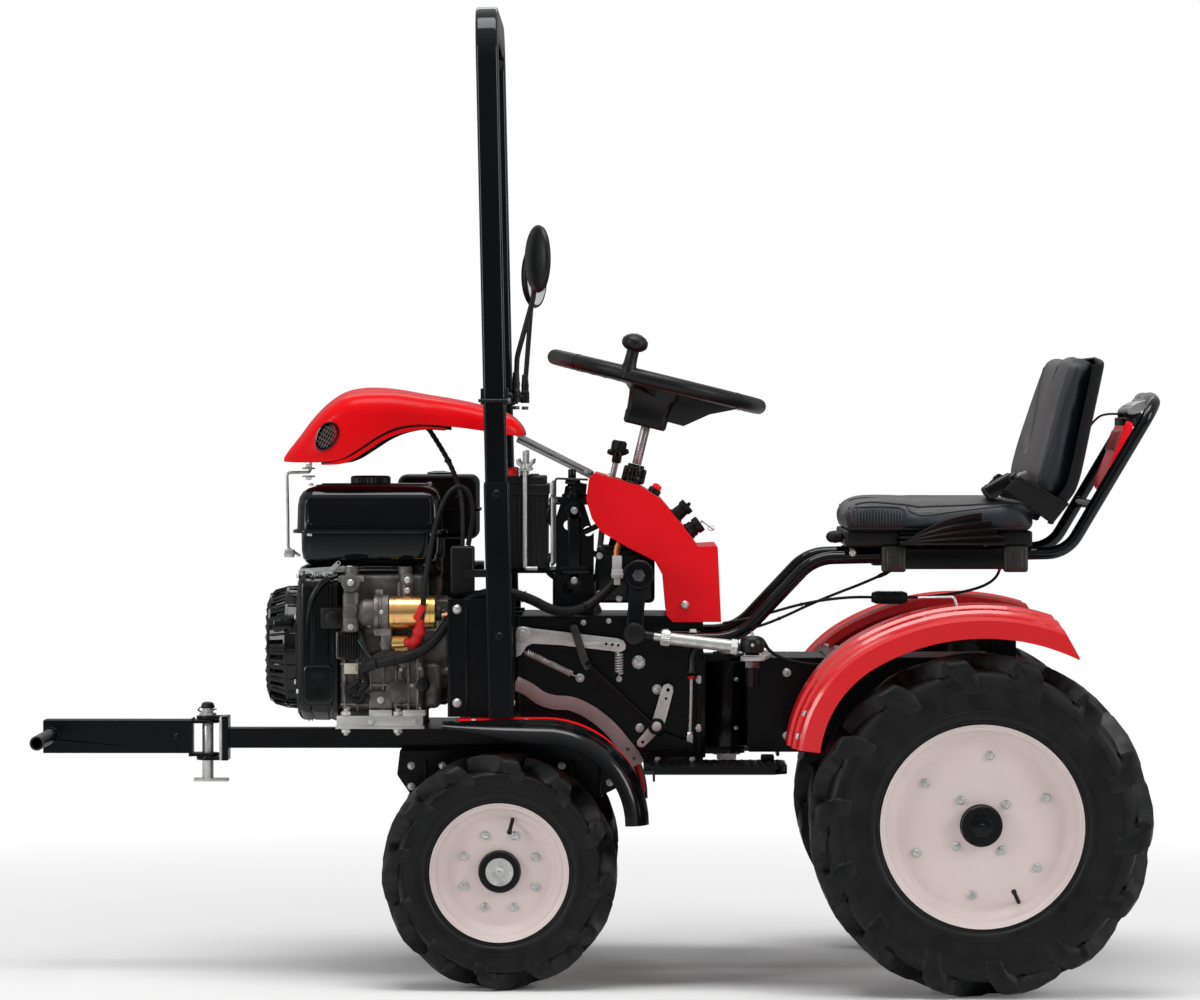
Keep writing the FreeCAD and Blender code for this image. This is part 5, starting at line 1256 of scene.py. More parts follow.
def blown(shape, name, cap, held, voxel=5.5, pressure=4.0):
    """Remeshes a pad evenly and lets the pressure fill it. held(point in mm) is true on a seam."""
    mesh = bpy.data.meshes.new(name)
    shape.to_mesh(mesh)
    shape.free()
    obj = bpy.data.objects.new(name, mesh)
    bpy.context.scene.collection.objects.link(obj)
    remesh = obj.modifiers.new("even", "REMESH")
    remesh.mode, remesh.voxel_size = "VOXEL", voxel * MM
    even = bpy.data.meshes.new_from_object(obj.evaluated_get(bpy.context.evaluated_depsgraph_get()))
    obj.modifiers.clear()
    obj.data = even
    rest = [v.co.copy() for v in even.vertices]
    pins = obj.vertex_groups.new(name="seam")
    pins.add([v.index for v in even.vertices if held(v.co / MM)], 1.0, "REPLACE")
    cloth = obj.modifiers.new("cover", "CLOTH")
    cloth.settings.quality = 4
    cloth.settings.mass = 0.3
    cloth.settings.tension_stiffness = cloth.settings.compression_stiffness = 12.0
    cloth.settings.bending_stiffness = 0.6
    cloth.settings.use_pressure = True
    cloth.settings.uniform_pressure_force = pressure
    cloth.settings.effector_weights.gravity = 0.0
    cloth.settings.vertex_group_mass = "seam"
    for number in range(1, 21):
        bpy.context.scene.frame_set(number)
    grown = bpy.data.meshes.new_from_object(obj.evaluated_get(bpy.context.evaluated_depsgraph_get()))
    obj.modifiers.clear()
    bpy.context.scene.frame_set(1)
    for vert, start, end in zip(even.vertices, rest, grown.vertices):
        move = end.co - start
        vert.co = start + move * min(1.0, cap * MM / max(move.length, 1e-9))
    print(name, "swelled, cap", cap, "mm")
    soften = obj.modifiers.new("smooth", "SMOOTH")
    soften.iterations, soften.factor = 3, 0.5
    finer = obj.modifiers.new("finer", "SUBSURF")
    finer.levels = finer.render_levels = 1
    done = bpy.data.meshes.new_from_object(obj.evaluated_get(bpy.context.evaluated_depsgraph_get()))
    bpy.data.objects.remove(obj)
    result = bmesh.new()
    result.from_mesh(done)
    return result


def on_surface(target, points, towards, lift=0.6):
    """Drops points (mm) along a direction onto a mesh, and lifts them a little off it."""
    tree = BVHTree.FromPolygons([v.co for v in target.data.vertices], [p.vertices[:] for p in target.data.polygons])
    towards = Vector(towards).normalized()
    found = []
    for point in points:
        hit, normal, _, _ = tree.ray_cast(Vector(point) * MM - towards * 0.12, towards)
        if hit is None:
            hit, normal, _, _ = tree.find_nearest(Vector(point) * MM)
        found.append(hit / MM + normal * lift)
    return found


def stitches(line, step=6.0, length=3.6, radius=0.55):
    """Short threads along a line."""
    shapes, run, last = [], 0.0, line[0]
    for point in line[1:]:
        run += (point - last).length
        if run > step:
            along = (point - last).normalized()
            shapes.append(pipe([point - along * length / 2, point + along * length / 2], radius, 5))
            run = 0.0
        last = point
    return shapes


def two_tone(obj, top, side, is_top):
    """Gives the faces that pass the test the first material and the others the second."""
    obj.data.materials.clear()
    obj.data.materials.append(top)
    obj.data.materials.append(side)
    for face in obj.data.polygons:
        face.material_index = 0 if is_top(face.center / MM, face.normal) else 1


# %% [markdown]
# The cushion's cover is dark vinyl; its top panel gets a lighter grey copy of it, a painted sheen. A welt runs round
# the top edge, two seams mark off the middle panel, and a curved seam crosses each side behind a ribbed grip panel.

# %% Seat cushion
PAD_UP = [Vector((-0.05, 0, 1))]
CUSHION = [(433, 780), (428, 800), (437, 819), (465, 830), (520, 828), (560, 825), (630, 826), (700, 829),
           (735, 824), (750, 800), (744, 781), (700, 778), (560, 778), (450, 777)]


def cushion_seam(p):
    top = p.z > 806
    return (top and abs(abs(p.y) - 118) < 3.5) or (abs(p.z - 781) < 2.5) or (top and abs(p.x - 566) < 3.0
                                                                              and abs(p.y) < 118)


pad = blown(foam(CUSHION, 224, 26, 4.0, 5.0), "cushion_form", 9.0, cushion_seam)
cushion = piece("seat_cushion_pad", pad, "front_half", VINYL_PAINTED_SHEEN, smooth=180)
# Faces that look up get the lighter vinyl, a painted sheen; the sides keep the dark vinyl.
two_tone(cushion, VINYL_PAINTED_SHEEN, VINYL_SIDE, lambda p, n: n.z > 0.42 and abs(p.y) < 214)
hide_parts("seat_cushion")
welts, threads = [], []
for side in (-1, 1):
    edge = on_surface(cushion, eased([(445, side * 206, 830), (470, side * 214, 840), (600, side * 215, 840),
                                      (720, side * 214, 838), (742, side * 206, 826)], 16), (0, -side * 0.55, -1), 0.4)
    welts.append(pipe(edge, 2.0, 8))
    low = on_surface(cushion, eased([(438, side * 240, 784), (520, side * 240, 783), (640, side * 240, 783),
                                     (742, side * 240, 785)], 12), (0, -side, 0), 0.2)
    welts.append(pipe(low, 1.6, 8))
    curve = on_surface(cushion, eased([(532, side * 240, 822), (540, side * 240, 812), (565, side * 240, 806),
                                       (610, side * 240, 812), (680, side * 240, 820), (728, side * 240, 824)], 12),
                       (0, -side, 0), 0.2)
    welts.append(pipe(curve, 1.3, 8))
    threads += stitches(on_surface(cushion, eased([(545, side * 240, 808), (565, side * 240, 802),
                                                   (610, side * 240, 808), (680, side * 240, 816)], 60),
                                   (0, -side, 0), 0.3))
    for y in (118, 111):
        line = on_surface(cushion, [(x, side * y, 860) for x in range(446, 736, 3)], (0, 0, -1), 0.3)
        threads += stitches(line) if y == 111 else []
        if y == 118:
            welts.append(pipe(line[::2], 1.5, 8))
cross = on_surface(cushion, [(566, y, 860) for y in range(-112, 113, 6)], (0, 0, -1), 0.2)
welts.append(pipe(cross, 1.4, 8))
piece("seat_cushion_welts", welts, "front_half", VINYL_SIDE)
ribs = []
for side in (-1, 1):
    rim_line = [(434 + 4 * math.sin(a * math.pi), side * 240, 785 + 32 * a) for a in (i / 6 for i in range(7))]
    rim_line += [(x, side * 240, 818 + 3 * math.sin((x - 434) / 96 * math.pi)) for x in range(446, 530, 12)]
    rim_line += [(529, side * 240, z) for z in (815, 805, 795, 788)] + [(x, side * 240, 785) for x in range(520, 430, -12)]
    closed = on_surface(cushion, rim_line + rim_line[:1], (0, -side, 0), 0.5)
    ribs.append(pipe(closed, 1.8, 8))
    for n in range(17):
        x = 440 + 5.2 * n
        top = 816 + 3 * math.sin((x - 434) / 96 * math.pi)
        ribs.append(pipe(on_surface(cushion, [(x, side * 240, 788 + (top - 788) * i / 6) for i in range(7)],
                                    (0, -side, 0), 0.8), [1.0, 1.8, 1.9, 1.9, 1.9, 1.8, 1.0], 8))
piece("seat_side_grips", ribs, "front_half", VINYL_SIDE)

# %% [markdown]
# The backrest is the same kind of pad, held in a thin moulded shell that follows its back edge. A V-shaped seam
# separates the middle panel of the backrest from its bolsters.

# %% Backrest, its shell and the belt
PAD_UP[0] = Vector((-0.95, 0, 0.3)).normalized()
BACK = [(748, 850), (743, 868), (756, 912), (776, 978), (800, 1056), (810, 1073), (826, 1078), (846, 1075),
        (854, 1060), (836, 976), (812, 876), (794, 842), (772, 822), (758, 832)]


def v_line(z):
    """Half the width of the middle panel at a height: narrow below, wide above."""
    return 40 + 112 * min(1.0, max(0.0, (z - 925) / 140)) ** 0.8


def back_seam(p):
    front = p.x < 760 + (p.z - 850) * 0.30
    return (front and p.z > 925 and abs(abs(p.y) - v_line(p.z)) < 3.5) or (front and abs(p.z - 925) < 3 and abs(p.y) < 40)


pad = blown(foam(BACK, 208, 30, 5.0, 4.0), "back_form", 9.0, back_seam)
back = piece("seat_back_pad", pad, "front_half", VINYL_PAINTED_SHEEN, smooth=180)
# Faces that look forward get the lighter vinyl, a painted sheen; the rest keeps the dark vinyl.
two_tone(back, VINYL_PAINTED_SHEEN, VINYL_SIDE, lambda p, n: n.x < -0.30 and abs(p.y) < 196)
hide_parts("seat_back")
welts = []
for side in (-1, 1):
    v = on_surface(back, [(700, side * v_line(z), z) for z in range(925, 1066, 6)], (1, 0, 0), 0.2)
    welts.append(pipe(v, 1.7, 8))
    outer = on_surface(back, eased([(752, side * 230, 872), (772, side * 230, 930), (800, side * 230, 1020),
                                    (816, side * 230, 1062)], 12), (0.35, -side, 0), 0.2)
    welts.append(pipe(outer, 1.5, 8))
    inner = on_surface(back, [(700, side * (v_line(z) + 7), z) for z in range(930, 1062, 3)], (1, 0, 0), 0.3)
    threads += stitches(inner)
welts.append(pipe(on_surface(back, [(700, y, 925) for y in range(-38, 39, 4)], (1, 0, 0), 0.2), 1.5, 8))
piece("seat_back_welts", welts, "front_half", VINYL_SIDE)
THREAD = finish("seat_thread", (0.090, 0.086, 0.084), 0.7, grain=(1500.0, 0.3), Specular_IOR_Level=0.15)
piece("seat_stitches", threads, "front_half", THREAD)

SHELL = [(858, 1079), (872, 1069), (868, 1040), (851, 960), (831, 868), (814, 833), (788, 808), (762, 806)]
rows = []
shell_line = [p for p in eased([(x, 0, z) for x, z in SHELL], 6)]
for y, tuck in ((-216.5, 20), (-216.5, 8), (-215, 2), (-209, 0), (0, -1), (209, 0), (215, 2), (216.5, 8), (216.5, 20)):
    row = []
    for i, point in enumerate(shell_line):
        out = (shell_line[min(i + 1, len(shell_line) - 1)] - shell_line[max(i - 1, 0)]).cross(Y).normalized()
        narrow = 1 - 0.055 * (1 - min(1.0, i / 8)) ** 2   # the upper corners are rounded off
        row.append((point - out * (tuck * min(1.0, 0.3 + i / 10) + 1.0) + Y * y * narrow) * MM)
    rows.append(row)
shell = skin(rows, closed=False, ends=False)
bmesh.ops.solidify(shell, geom=shell.faces[:], thickness=0.0030)
shell_parts = [shell]
for y in (-120, -40, 40, 120):
    shell_parts.append(pipe([Vector((865, y, 1040)), Vector((851, y, 976)), Vector((836, y, 905))], 3.0, 10))
piece("seat_back_shell", shell_parts, "front_half", BLACK_PLASTIC)

# %% [markdown]
# A lap belt is laid over the joint of seat and back. Its webbing wraps round the corner on each side, and the
# buckle on the left rests on the cushion. Webbing is woven, so it gets a fine weave and no gloss.

# %% Belt webbing, buckle and tongue
belt, buckle = [], []
for side in (-1, 1):
    edges = [eased([(x, side * y, z) for x, z, y in edge], 4) for edge in
             (((712, 867, 192), (720, 871, 226), (728, 871, 232.5), (767, 850, 233), (802, 830, 232.5),
               (809, 827, 226), (812, 826, 200), (812, 826, 120)),
              ((690, 845, 192), (698, 848, 226), (705, 846.5, 232.5), (741, 820, 233), (774, 796, 232.5),
               (780, 791.5, 226), (783, 790, 200), (783, 790, 120)))]
    tape = skin([[a.lerp(b, i / 8) * MM for i in range(9)] for a, b in zip(*edges)], closed=False, ends=False)
    bmesh.ops.solidify(tape, geom=tape.faces[:], thickness=0.0024)
    belt.append(tape)
    for share in (0.07, 0.93):                           # the woven edges are a little thicker
        belt.append(pipe([a.lerp(b, share) for a, b in zip(*edges)], 1.5, 6))
piece("belt_webbing", belt, "front_half", WEBBING)
along, across = Vector((0.866, 0, 0.5)), Vector((-0.5, 0, 0.866))
for y, shift, size in ((-192, 0, (29, 23, 13)), (-192, 27, (10, 24, 9))):
    centre = Vector((692, y, 855)) + along * shift
    box_shape = rounded_block((-size[0], -size[1], -size[2]), (size[0], size[1], size[2]), 7, 5, 5)
    for vert in box_shape.verts:
        vert.co = centre * MM + along * vert.co.x + Y * vert.co.y + across * vert.co.z
    buckle.append(box_shape)
for shift in (-18, -10, -2):
    at = Vector((692, -192, 855)) + along * shift + across * 12.9
    buckle.append(pipe([at + Vector((0, -14, 0)), at + Vector((0, 14, 0))], 1.4, 8))
piece("belt_buckle", buckle, "front_half", GLOSS_PLASTIC)
tongue = Vector((724, -192, 873))
metal = [pipe(filleted([tongue + Vector((-6, -20, -2)), tongue + Vector((6, -20, 5)), tongue + Vector((6, 20, 5)),
                        tongue + Vector((-6, 20, -2)), tongue + Vector((-6, -20, -2))], 5, 5), 2.0, 10)]
metal.append(pipe([tongue + Vector((-10, 0, -6)), tongue + Vector((14, 0, 8))], 1.0,
                  section=[(-17, -1.5), (17, -1.5), (17, 1.5), (-17, 1.5)]))
piece("belt_tongue", metal, "front_half", GREY_BAR)
print("seat made")

# %% [markdown]
# Below the cushion a folded rubber cover hides the springs. Its folds fan out from the front, so each fold is drawn
# as a line from the same corner, and the lines swing outwards and inwards in turn.

# %% Bellows, base rails and slider knob
fan_ends = [(700, 756.5), (692, 762), (697, 770), (684, 774), (689, 784), (674, 786), (678, 797), (660, 798), (660, 811)]
covers = []
for side in (-1, 1):
    rows = []
    for s in range(9):
        t = (s / 8) ** 0.9
        row = []
        for n, (x, z) in enumerate(fan_ends):
            deep = 9.0 * t if n % 2 else 0.0
            foot = Vector((518 + 2.0 * n, 0, 757 + 0.9 * n))
            point = foot.lerp(Vector((x, 0, z)), t)
            point.z += 10 * math.sin(math.pi * t) * (n / 8) ** 1.5
            row.append((point + Vector((0, side * (236.4 - deep), 0))) * MM)
        rows.append(row)
    sheet = skin(rows, closed=False, ends=False)
    bmesh.ops.solidify(sheet, geom=sheet.faces[:], thickness=0.0022 * -side)
    bmesh.ops.recalc_face_normals(sheet, faces=sheet.faces)
    covers.append(sheet)
for n, z in enumerate((756, 760, 764, 768)):
    inset = 0 if n % 2 else 5
    covers.append(rounded_block((517 + inset, -228 + inset, z - 1.6), (700 - inset, 228 - inset, z + 1.8), 12, 1.5, 3))
cover = piece("seat_bellows_folds", covers, "front_half", RUBBER, smooth=25)
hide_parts("seat_bellows")
base, clips, knob = [], [], []
for side in (-1, 1):
    low, high = sorted((side * 181.5, side * 200))
    base.append(block((492, low, 713), (740, high, 751), 2.5, 3))
    base.append(block((497, low - 1, 744), (735, high + 1, 748), 1))
    for x in (490, 700):
        low, high = sorted((side * 181, side * 205))
        clips.append(block((x, low, 708), (x + 42, high, 754), 5, 4))
        clips.append(block((x + 8, low - 0.8, 714), (x + 34, high + 0.8, 748), 3, 3))
base += [block((516, -186, 751), (564, 186, 755), 1), block((672, -186, 751), (720, 186, 755), 1)]
rail = piece("seat_rails", base, "front_half", BLACK_PAINT)
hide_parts("seat_base")
piece("seat_rail_ends", clips, "front_half", DARK_STEEL)
knob = [round_bar((474, -160, 768), (424, -160, 768), 3.5), turned([(0, 5), (3, 9), (14, 11), (24, 9.5), (29, 5),
                                                                    (30.5, 0)], (426, -160, 768), -X, 28)]
piece("slider_knob", knob, "front_half", RUBBER)
pan = [block((428, -196, 752), (520, 196, 779), 4, 3), block((692, -196, 752), (750, 196, 779), 4, 3),
       block((520, -190, 771), (692, 190, 779), 1)]
pan += [block((436, y - 3, 748), (512, y + 3, 754), 1.5) for y in (-150, -75, 0, 75, 150)]
piece("seat_pan", pan, "front_half", BLACK_PLASTIC)
places = [((441, side * 182.5, 740), (0, side, 0), 5.5) for side in (-1, 1)]
for side in (-1, 1):
    places += [((556, side * 206, 754), Z, 4.6), ((680, side * 206, 754), Z, 4.6)]
bolts("seat_bolts", places, "front_half", ZINC)
print("seat base made")
# %% [markdown]
# The steering wheel is moulded black plastic over steel: a round rim with grip joints, a deep square hub, three
# spokes and a spinner knob. The rim is a swept ring; the hub is a block that narrows downwards, with a wedge under
# the rear spoke.

# %% Steering wheel
TILT = math.radians(13.7)
HUB = Vector((104, 0, 1037))
W_UP = Vector((math.sin(TILT), 0, math.cos(TILT)))
W_BACK = Vector((math.cos(TILT), 0, -math.sin(TILT)))


def W(back, right, up):
    """A point from the wheel's centre, in the plane of the rim."""
    return HUB + W_BACK * back + Y * right + W_UP * up


def around(radius, up=0.0, steps=120):
    return [W(radius * math.cos(math.tau * i / steps), radius * math.sin(math.tau * i / steps), up)
            for i in range(steps + 1)]


section = [(math.cos(math.tau * i / 20), math.sin(math.tau * i / 20)) for i in range(20)]
rim_parts = [pipe(around(184), 13.6, section=section, ends=False)]
for first in (40, 140, 220, 320):                        # the joints of the moulded grips
    a = math.radians(first)
    line = [W((184 + 13.8 * math.cos(b)) * math.cos(a), (184 + 13.8 * math.cos(b)) * math.sin(a), 13.8 * math.sin(b))
            for b in (math.tau * i / 24 for i in range(25))]
    rim_parts.append(pipe(line, 0.5, 6))
for n in range(40):                                      # finger grips under the rim
    a = math.radians(9 * n + 4)
    rim_parts.append(pipe([W(178 * math.cos(b), 178 * math.sin(b), -12) for b in (a - 0.05, a, a + 0.05)],
                          [1.2, 2.3, 1.2], 8))
hub_rings = []
for up, back_half, right_half, shift in ((-2, 38, 40, 0), (-6, 44, 44, 0), (-28, 43, 43, 0), (-33, 40, 40, -2),
                                         (-57, 37, 38, -3), (-61, 38.5, 39, -3), (-78, 38, 39, -3), (-82, 35, 36, -3)):
    hub_rings.append([W(u + shift, v, up) * MM for u, v in rounded_section(back_half, right_half, 12, 5)])
rim_parts.append(skin(hub_rings))
rim_parts.append(turned([(0, 34), (6, 34), (9, 31), (10, 26), (10, 0)], W(0, 0, -4), W_UP, 48))
for angle, wide in ((0, 1.0), (125, 0.8), (235, 0.8)):
    a = math.radians(angle)
    rings = []
    for out, half_wide, top, low in ((26, 30, -3, -64 if angle == 0 else -30),
                                     (64, 25 * wide, -3, -65 if angle == 0 else -16),
                                     (104, 21 * wide, -3, -34 if angle == 0 else -13),
                                     (150, 16 * wide, -3, -13), (178, 15 * wide, -4, -9)):
        rings.append([W(out * math.cos(a) - v * math.sin(a), out * math.sin(a) + v * math.cos(a),
                        (top + low) / 2 + w) * MM
                      for v, w in rounded_section(half_wide, (top - low) / 2, 2.4, 3)])
    rim_parts.append(skin(rings))
a = math.radians(253.3)
foot = (184 * math.cos(a), 184 * math.sin(a))
rim_parts.append(turned([(-12, 13), (4, 14), (10, 12.8), (14, 11.4), (30, 10.6), (41, 10.8)], W(*foot, 4), W_UP, 32))
rim_parts.append(turned([(40, 0), (40, 9), (43, 16), (48, 21.4), (54, 23), (60, 22), (66, 16.8), (70, 8.4), (71.5, 0)],
                        W(*foot, 0), W_UP, 40))
wheel = piece("steering_wheel_moulding", rim_parts, "steering_wheel", BLACK_PLASTIC, smooth=40)
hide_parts("steering_wheel")
SHAFT_STEEL = finish("bare_steel_shaft", (0.46, 0.43, 0.42), 0.26, other=(0.36, 0.34, 0.33), spread=0.12, drift=40.0,
                     grain=(400.0, 0.08), Metallic=1.0)
shaft = [turned([(-62, 0), (-62, 10.6), (-48, 10.6)], W(0, 0, 0), W_UP, 28),
         round_bar(W(0, 0, -149.4), W(0, 0, -58), 8.2, 0.6)]
piece("steering_shaft", shaft, "steering_wheel", SHAFT_STEEL)

# %% [markdown]
# Below the bare shaft a black collar stands on the column. The steering gear is a casting on the column's foot,
# and its drop arm hangs outside the dash.

# %% Column collar and steering gear
column = [turned([(-182, 15), (-182, 18.5), (-180, 20), (-172, 20), (-171, 19.2), (-169, 19.2), (-168, 20), (-157, 20),
                  (-155, 18.5), (-155, 9)], HUB, W_UP, 40),
          round_bar(W(0, 0, -300), W(0, 0, -150), 14.8, 1),
          block((-2, -126, 652), (100, 38, 750), 9, 3), block((10, -128, 664), (88, -120, 738), 5),
          turned([(0, 27), (12, 27), (14, 25.5), (60, 25.5), (60, 0)], (72, -127, 703), -Y, 48)]
for n in range(8):
    column.append(block((-2 + 13 * n, 37, 660), (1.5 + 13 * n, 42, 742), 1))
for n in range(18):
    t = math.tau * n / 18
    along = W_BACK * math.cos(t) + Y * math.sin(t)
    column.append(pipe([HUB - W_UP * 180 + along * 19.8, HUB - W_UP * 158 + along * 19.8], 0.9, 6))
column = piece("column_and_gear", column, "front_half", BLACK_PAINT, smooth=40)
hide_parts("steering_column")
bolts("steering_gear_bolts", [((x, -128, z), -Y, 5.5) for x, z in ((4, 668), (4, 734), (38, 660), (92, 736))] +
      [((x, 38, z), Y, 6) for x, z in ((8, 664), (8, 738), (90, 664), (90, 738))], "front_half", ZINC)

# %% [markdown]
# The drop arm is a rough forging with a machined boss at each end. Its lower end holds the ball of the steering
# link, which is a plated tube between two lock nuts.

# %% Drop arm
TOP, EYE = Vector((72, -205, 703)), Vector((64, -205, 602))
arm = [turned([(-16, 23), (-16, 25.4), (-14, 26.6), (13, 26.6), (16, 24), (16.4, 19.5), (14.6, 19), (14.6, 15.6),
               (16.8, 15), (17, 11), (15, 10.6), (15, 0)], TOP, -Y, 56),
       turned([(-14, 19), (-12, 20.6), (8, 20.6), (10, 19), (10.4, 14), (12.4, 13.4), (12.6, 9), (9, 8.4), (9, 0)],
              EYE, -Y, 48)]
rings = []
for share, half, thick in ((0.12, 19, 8.5), (0.3, 15.5, 7.5), (0.55, 14.2, 7.0), (0.8, 15, 7.5), (0.92, 16.5, 8)):
    at = TOP.lerp(EYE, share)
    rings.append([(at + Vector((u, v, 0))) * MM for u, v in rounded_section(half, thick, 3.5, 5)])
arm.append(skin(rings))
arm.append(round_bar(TOP + Vector((0, 17, 0)), TOP + Vector((0, -16, 0)), 12, 1))
arm = piece("drop_arm", arm, "pitman_arm", BLACK_PAINT, smooth=40)
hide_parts("pitman_arm")
piece("drop_arm_nut", [hexagon(TOP + Vector((0, -15, 0)), -Y, 19, 4.5), hexagon(EYE + Vector((0, -9, 0)), -Y, 14, 4)],
      "pitman_arm", DARK_STEEL)

# %% Steering link
start, end = Vector((64, -222, 602)), Vector((267, -222, 577))
run = (end - start).normalized()
tube = [turned([(46, 6), (46, 12), (47, 13), (62, 13), (63, 12), (63, 9.4)], start, run, 6),
        turned([(60, 9.5), (61.5, 10.6), (168, 10.6), (170, 9)], start, run, 36),
        turned([(31, 7), (47, 7)], start, run, 20)]
tube.append(hexagon(start + run * 168, run, 25, 12))
for n in range(24):                                      # knurling on the front lock nut
    a = math.tau * n / 24
    _, u, v = frame_along(run)
    off = (u * math.cos(a) + v * math.sin(a)) * 12.4
    tube.append(pipe([start + run * 48 + off, start + run * 61 + off], 0.8, 5))
rod_piece = piece("steering_link_tube", tube, "steering_link", ZINC)
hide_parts("steering_link")
joints = [turned([(-9, 12), (-8, 18), (-6, 19.2), (8, 19.2), (11, 17), (13, 10), (13.4, 0)], start + Vector((0, -2, 0)),
                 -Y, 40),
          turned([(16, 8), (20, 9), (34, 7.5)], start, run, 20),
          round_bar(end - run * 26, end - run * 12, 7, 0.5), round_bar(end - run * 34, end - run * 27, 9.5, 1),
          turned([(-10, 12), (-10, 17), (-8, 20), (4, 21), (12, 20.5), (16, 18), (19, 11), (20, 0)],
                 Vector((267, -222, 580)), Z, 44),
          turned([(-10, 11), (-12, 12.5), (-14, 12.5)], Vector((267, -222, 580)), Z, 32)]
piece("steering_link_ball_joints", joints, "steering_link", BLACK_PLASTIC)
nipple = [turned([(19, 0), (19, 3.4), (23, 3.4), (23.6, 2), (25, 2.4), (26.6, 1.6), (27, 0)], Vector((267, -222, 580)),
                 Z, 20), bolt((267, -243.2, 584), -Y, 3.4, washer=False)]
piece("ball_joint_nipples", nipple, "steering_link", ZINC)
print("steering made")

# %% [markdown]
# The dash is one folded red sheet. Its cut edges are rounded here by a bevel on the frame's own mesh, and on it
# sit the screws, a key switch with its key, a black rotary switch and a red button.

# %% Dash fittings
SLOPE = Vector((0.755, 0, 0.656)).normalized()
FLAT = Vector((0.28, 0, 0.96)).normalized()


STEEP, BUTTON_OUT = Vector((0.81, 0, 0.58)).normalized(), Vector((0.53, 0, 0.85)).normalized()
rotary, lock, button = Vector((136, -72, 802)), Vector((158, -100, 775)), Vector((97, -102, 842))
switches = [turned([(0, 14), (2, 14.6), (4, 12.5), (18, 11.5), (20, 13.6), (29, 13), (30, 0)], rotary, SLOPE, 36),
            turned([(0, 15), (3, 15.6), (5, 14), (12, 14), (13, 12), (15, 12), (16, 14.5), (25, 14.5), (27, 12.5),
                    (27, 0)], lock, STEEP, 40),
            turned([(0, 9), (2, 11.5), (9, 11), (10, 9), (10, 0)], button, BUTTON_OUT, 28),
            turned([(0, 10.5), (2, 11), (3.4, 9.5), (3.8, 0)], (60, -90, 859.5), FLAT, 28)]
for n in range(10):
    a = math.tau * n / 10
    _, u, v = frame_along(SLOPE)
    at = rotary + (u * math.cos(a) + v * math.sin(a)) * 13
    switches.append(pipe([at + SLOPE * 20, at + SLOPE * 29], 1.4, 6))
wing = rotary + SLOPE * 31
switches.append(pipe([wing - Y * 12, wing + Y * 12 + SLOPE], 3.4, 10))
plate = rounded_section(24, 18, 8)                       # the plate under the rotary switch
_, u, v = frame_along(SLOPE)
plate_at = Vector((140.5, -70, 791.5))
switches.append(skin([[(plate_at + SLOPE * out + v * (a * s) + u * (b * s)) * MM for a, b in plate]
                      for out, s in ((-1, 1.0), (2.2, 1.0), (3, 0.95))]))
piece("dash_switches", switches, "front_half", BLACK_PLASTIC)
key_foot, key_run = lock + STEEP * 27, Vector((0.8, 0, -0.6))
key = [pipe([key_foot - STEEP * 3, key_foot + STEEP * 5], 1.0, section=[(-3, -1), (3, -1), (3, 1), (-3, 1)]),
       flat_plate(bar_outline((0, 0), (15, 0), 4, 9), [(17, 0, 3)], 2.2, (key_foot + STEEP * 4, key_run, Y), 0.5),
       pipe([key_foot + STEEP * 4 + key_run * (19 + 5 * math.cos(b)) + STEEP * 5 * math.sin(b)
             for b in (math.tau * i / 16 for i in range(17))], 0.8, 6)]
piece("ignition_key", key, "front_half", ZINC)
# The red button shares the lens material and its faint painted glow.
piece("dash_button", [turned([(9, 8), (14, 8.6), (17, 7.4), (18.5, 4), (19, 0)], button, BUTTON_OUT, 28),
                      turned([(29, 3), (32, 0)], rotary, SLOPE, 12)],
      "front_half", RED_LENS_PAINTED_GLOW)
screws = [((152, side * 150.2, 650), (0, side, 0), 6.5) for side in (-1, 1)]
bolts("dash_screws", screws + [((20, y, 871.5), FLAT, 4.2) for y in (-60, 60)], "front_half", ZINC)

# %% [markdown]
# The gear lever ends in a star knob. A wing-shaped cross handle sits under the cap, as on the real lever.

# %% Gear lever and the parts around the column's foot
lever_top = Vector((30, 46, 880))
knob_axis = Vector((0.17, 0, 1)).normalized()
knob = [turned([(14, 0), (14, 7.6), (18, 8.6), (32, 8.2), (36, 13), (38, 13.4), (52, 12.4), (54, 10.5), (54, 0)],
               lever_top, knob_axis, 32)]
for n in range(4):
    a = math.tau * n / 4
    out = X * math.cos(a) + Y * math.sin(a)
    at = lever_top + knob_axis * 33
    knob.append(pipe([at + out * 6, at + out * 14 + knob_axis, at + out * 19 + knob_axis * 2], [7, 5.6, 3.6], 12))
for n in range(12):
    a = math.tau * n / 12
    _, u, v = frame_along(knob_axis)
    off = (u * math.cos(a) + v * math.sin(a)) * 12.8
    knob.append(pipe([lever_top + knob_axis * 40 + off, lever_top + knob_axis * 51 + off], 0.9, 6))
piece("gear_knob", knob, "front_half", BLACK_PLASTIC)
lever = [pipe(filleted([(-8, 46, 631), (10, 46, 800), (33, 46, 900)], 40), 5.4, 16),
         turned([(0, 16), (4, 16), (16, 9), (18, 7), (26, 6.4)], (-8, 46, 630), Vector((0.1, 0, 1)), 28)]
lever = piece("gear_lever", lever, "front_half", ZINC)
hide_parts("driver_controls")
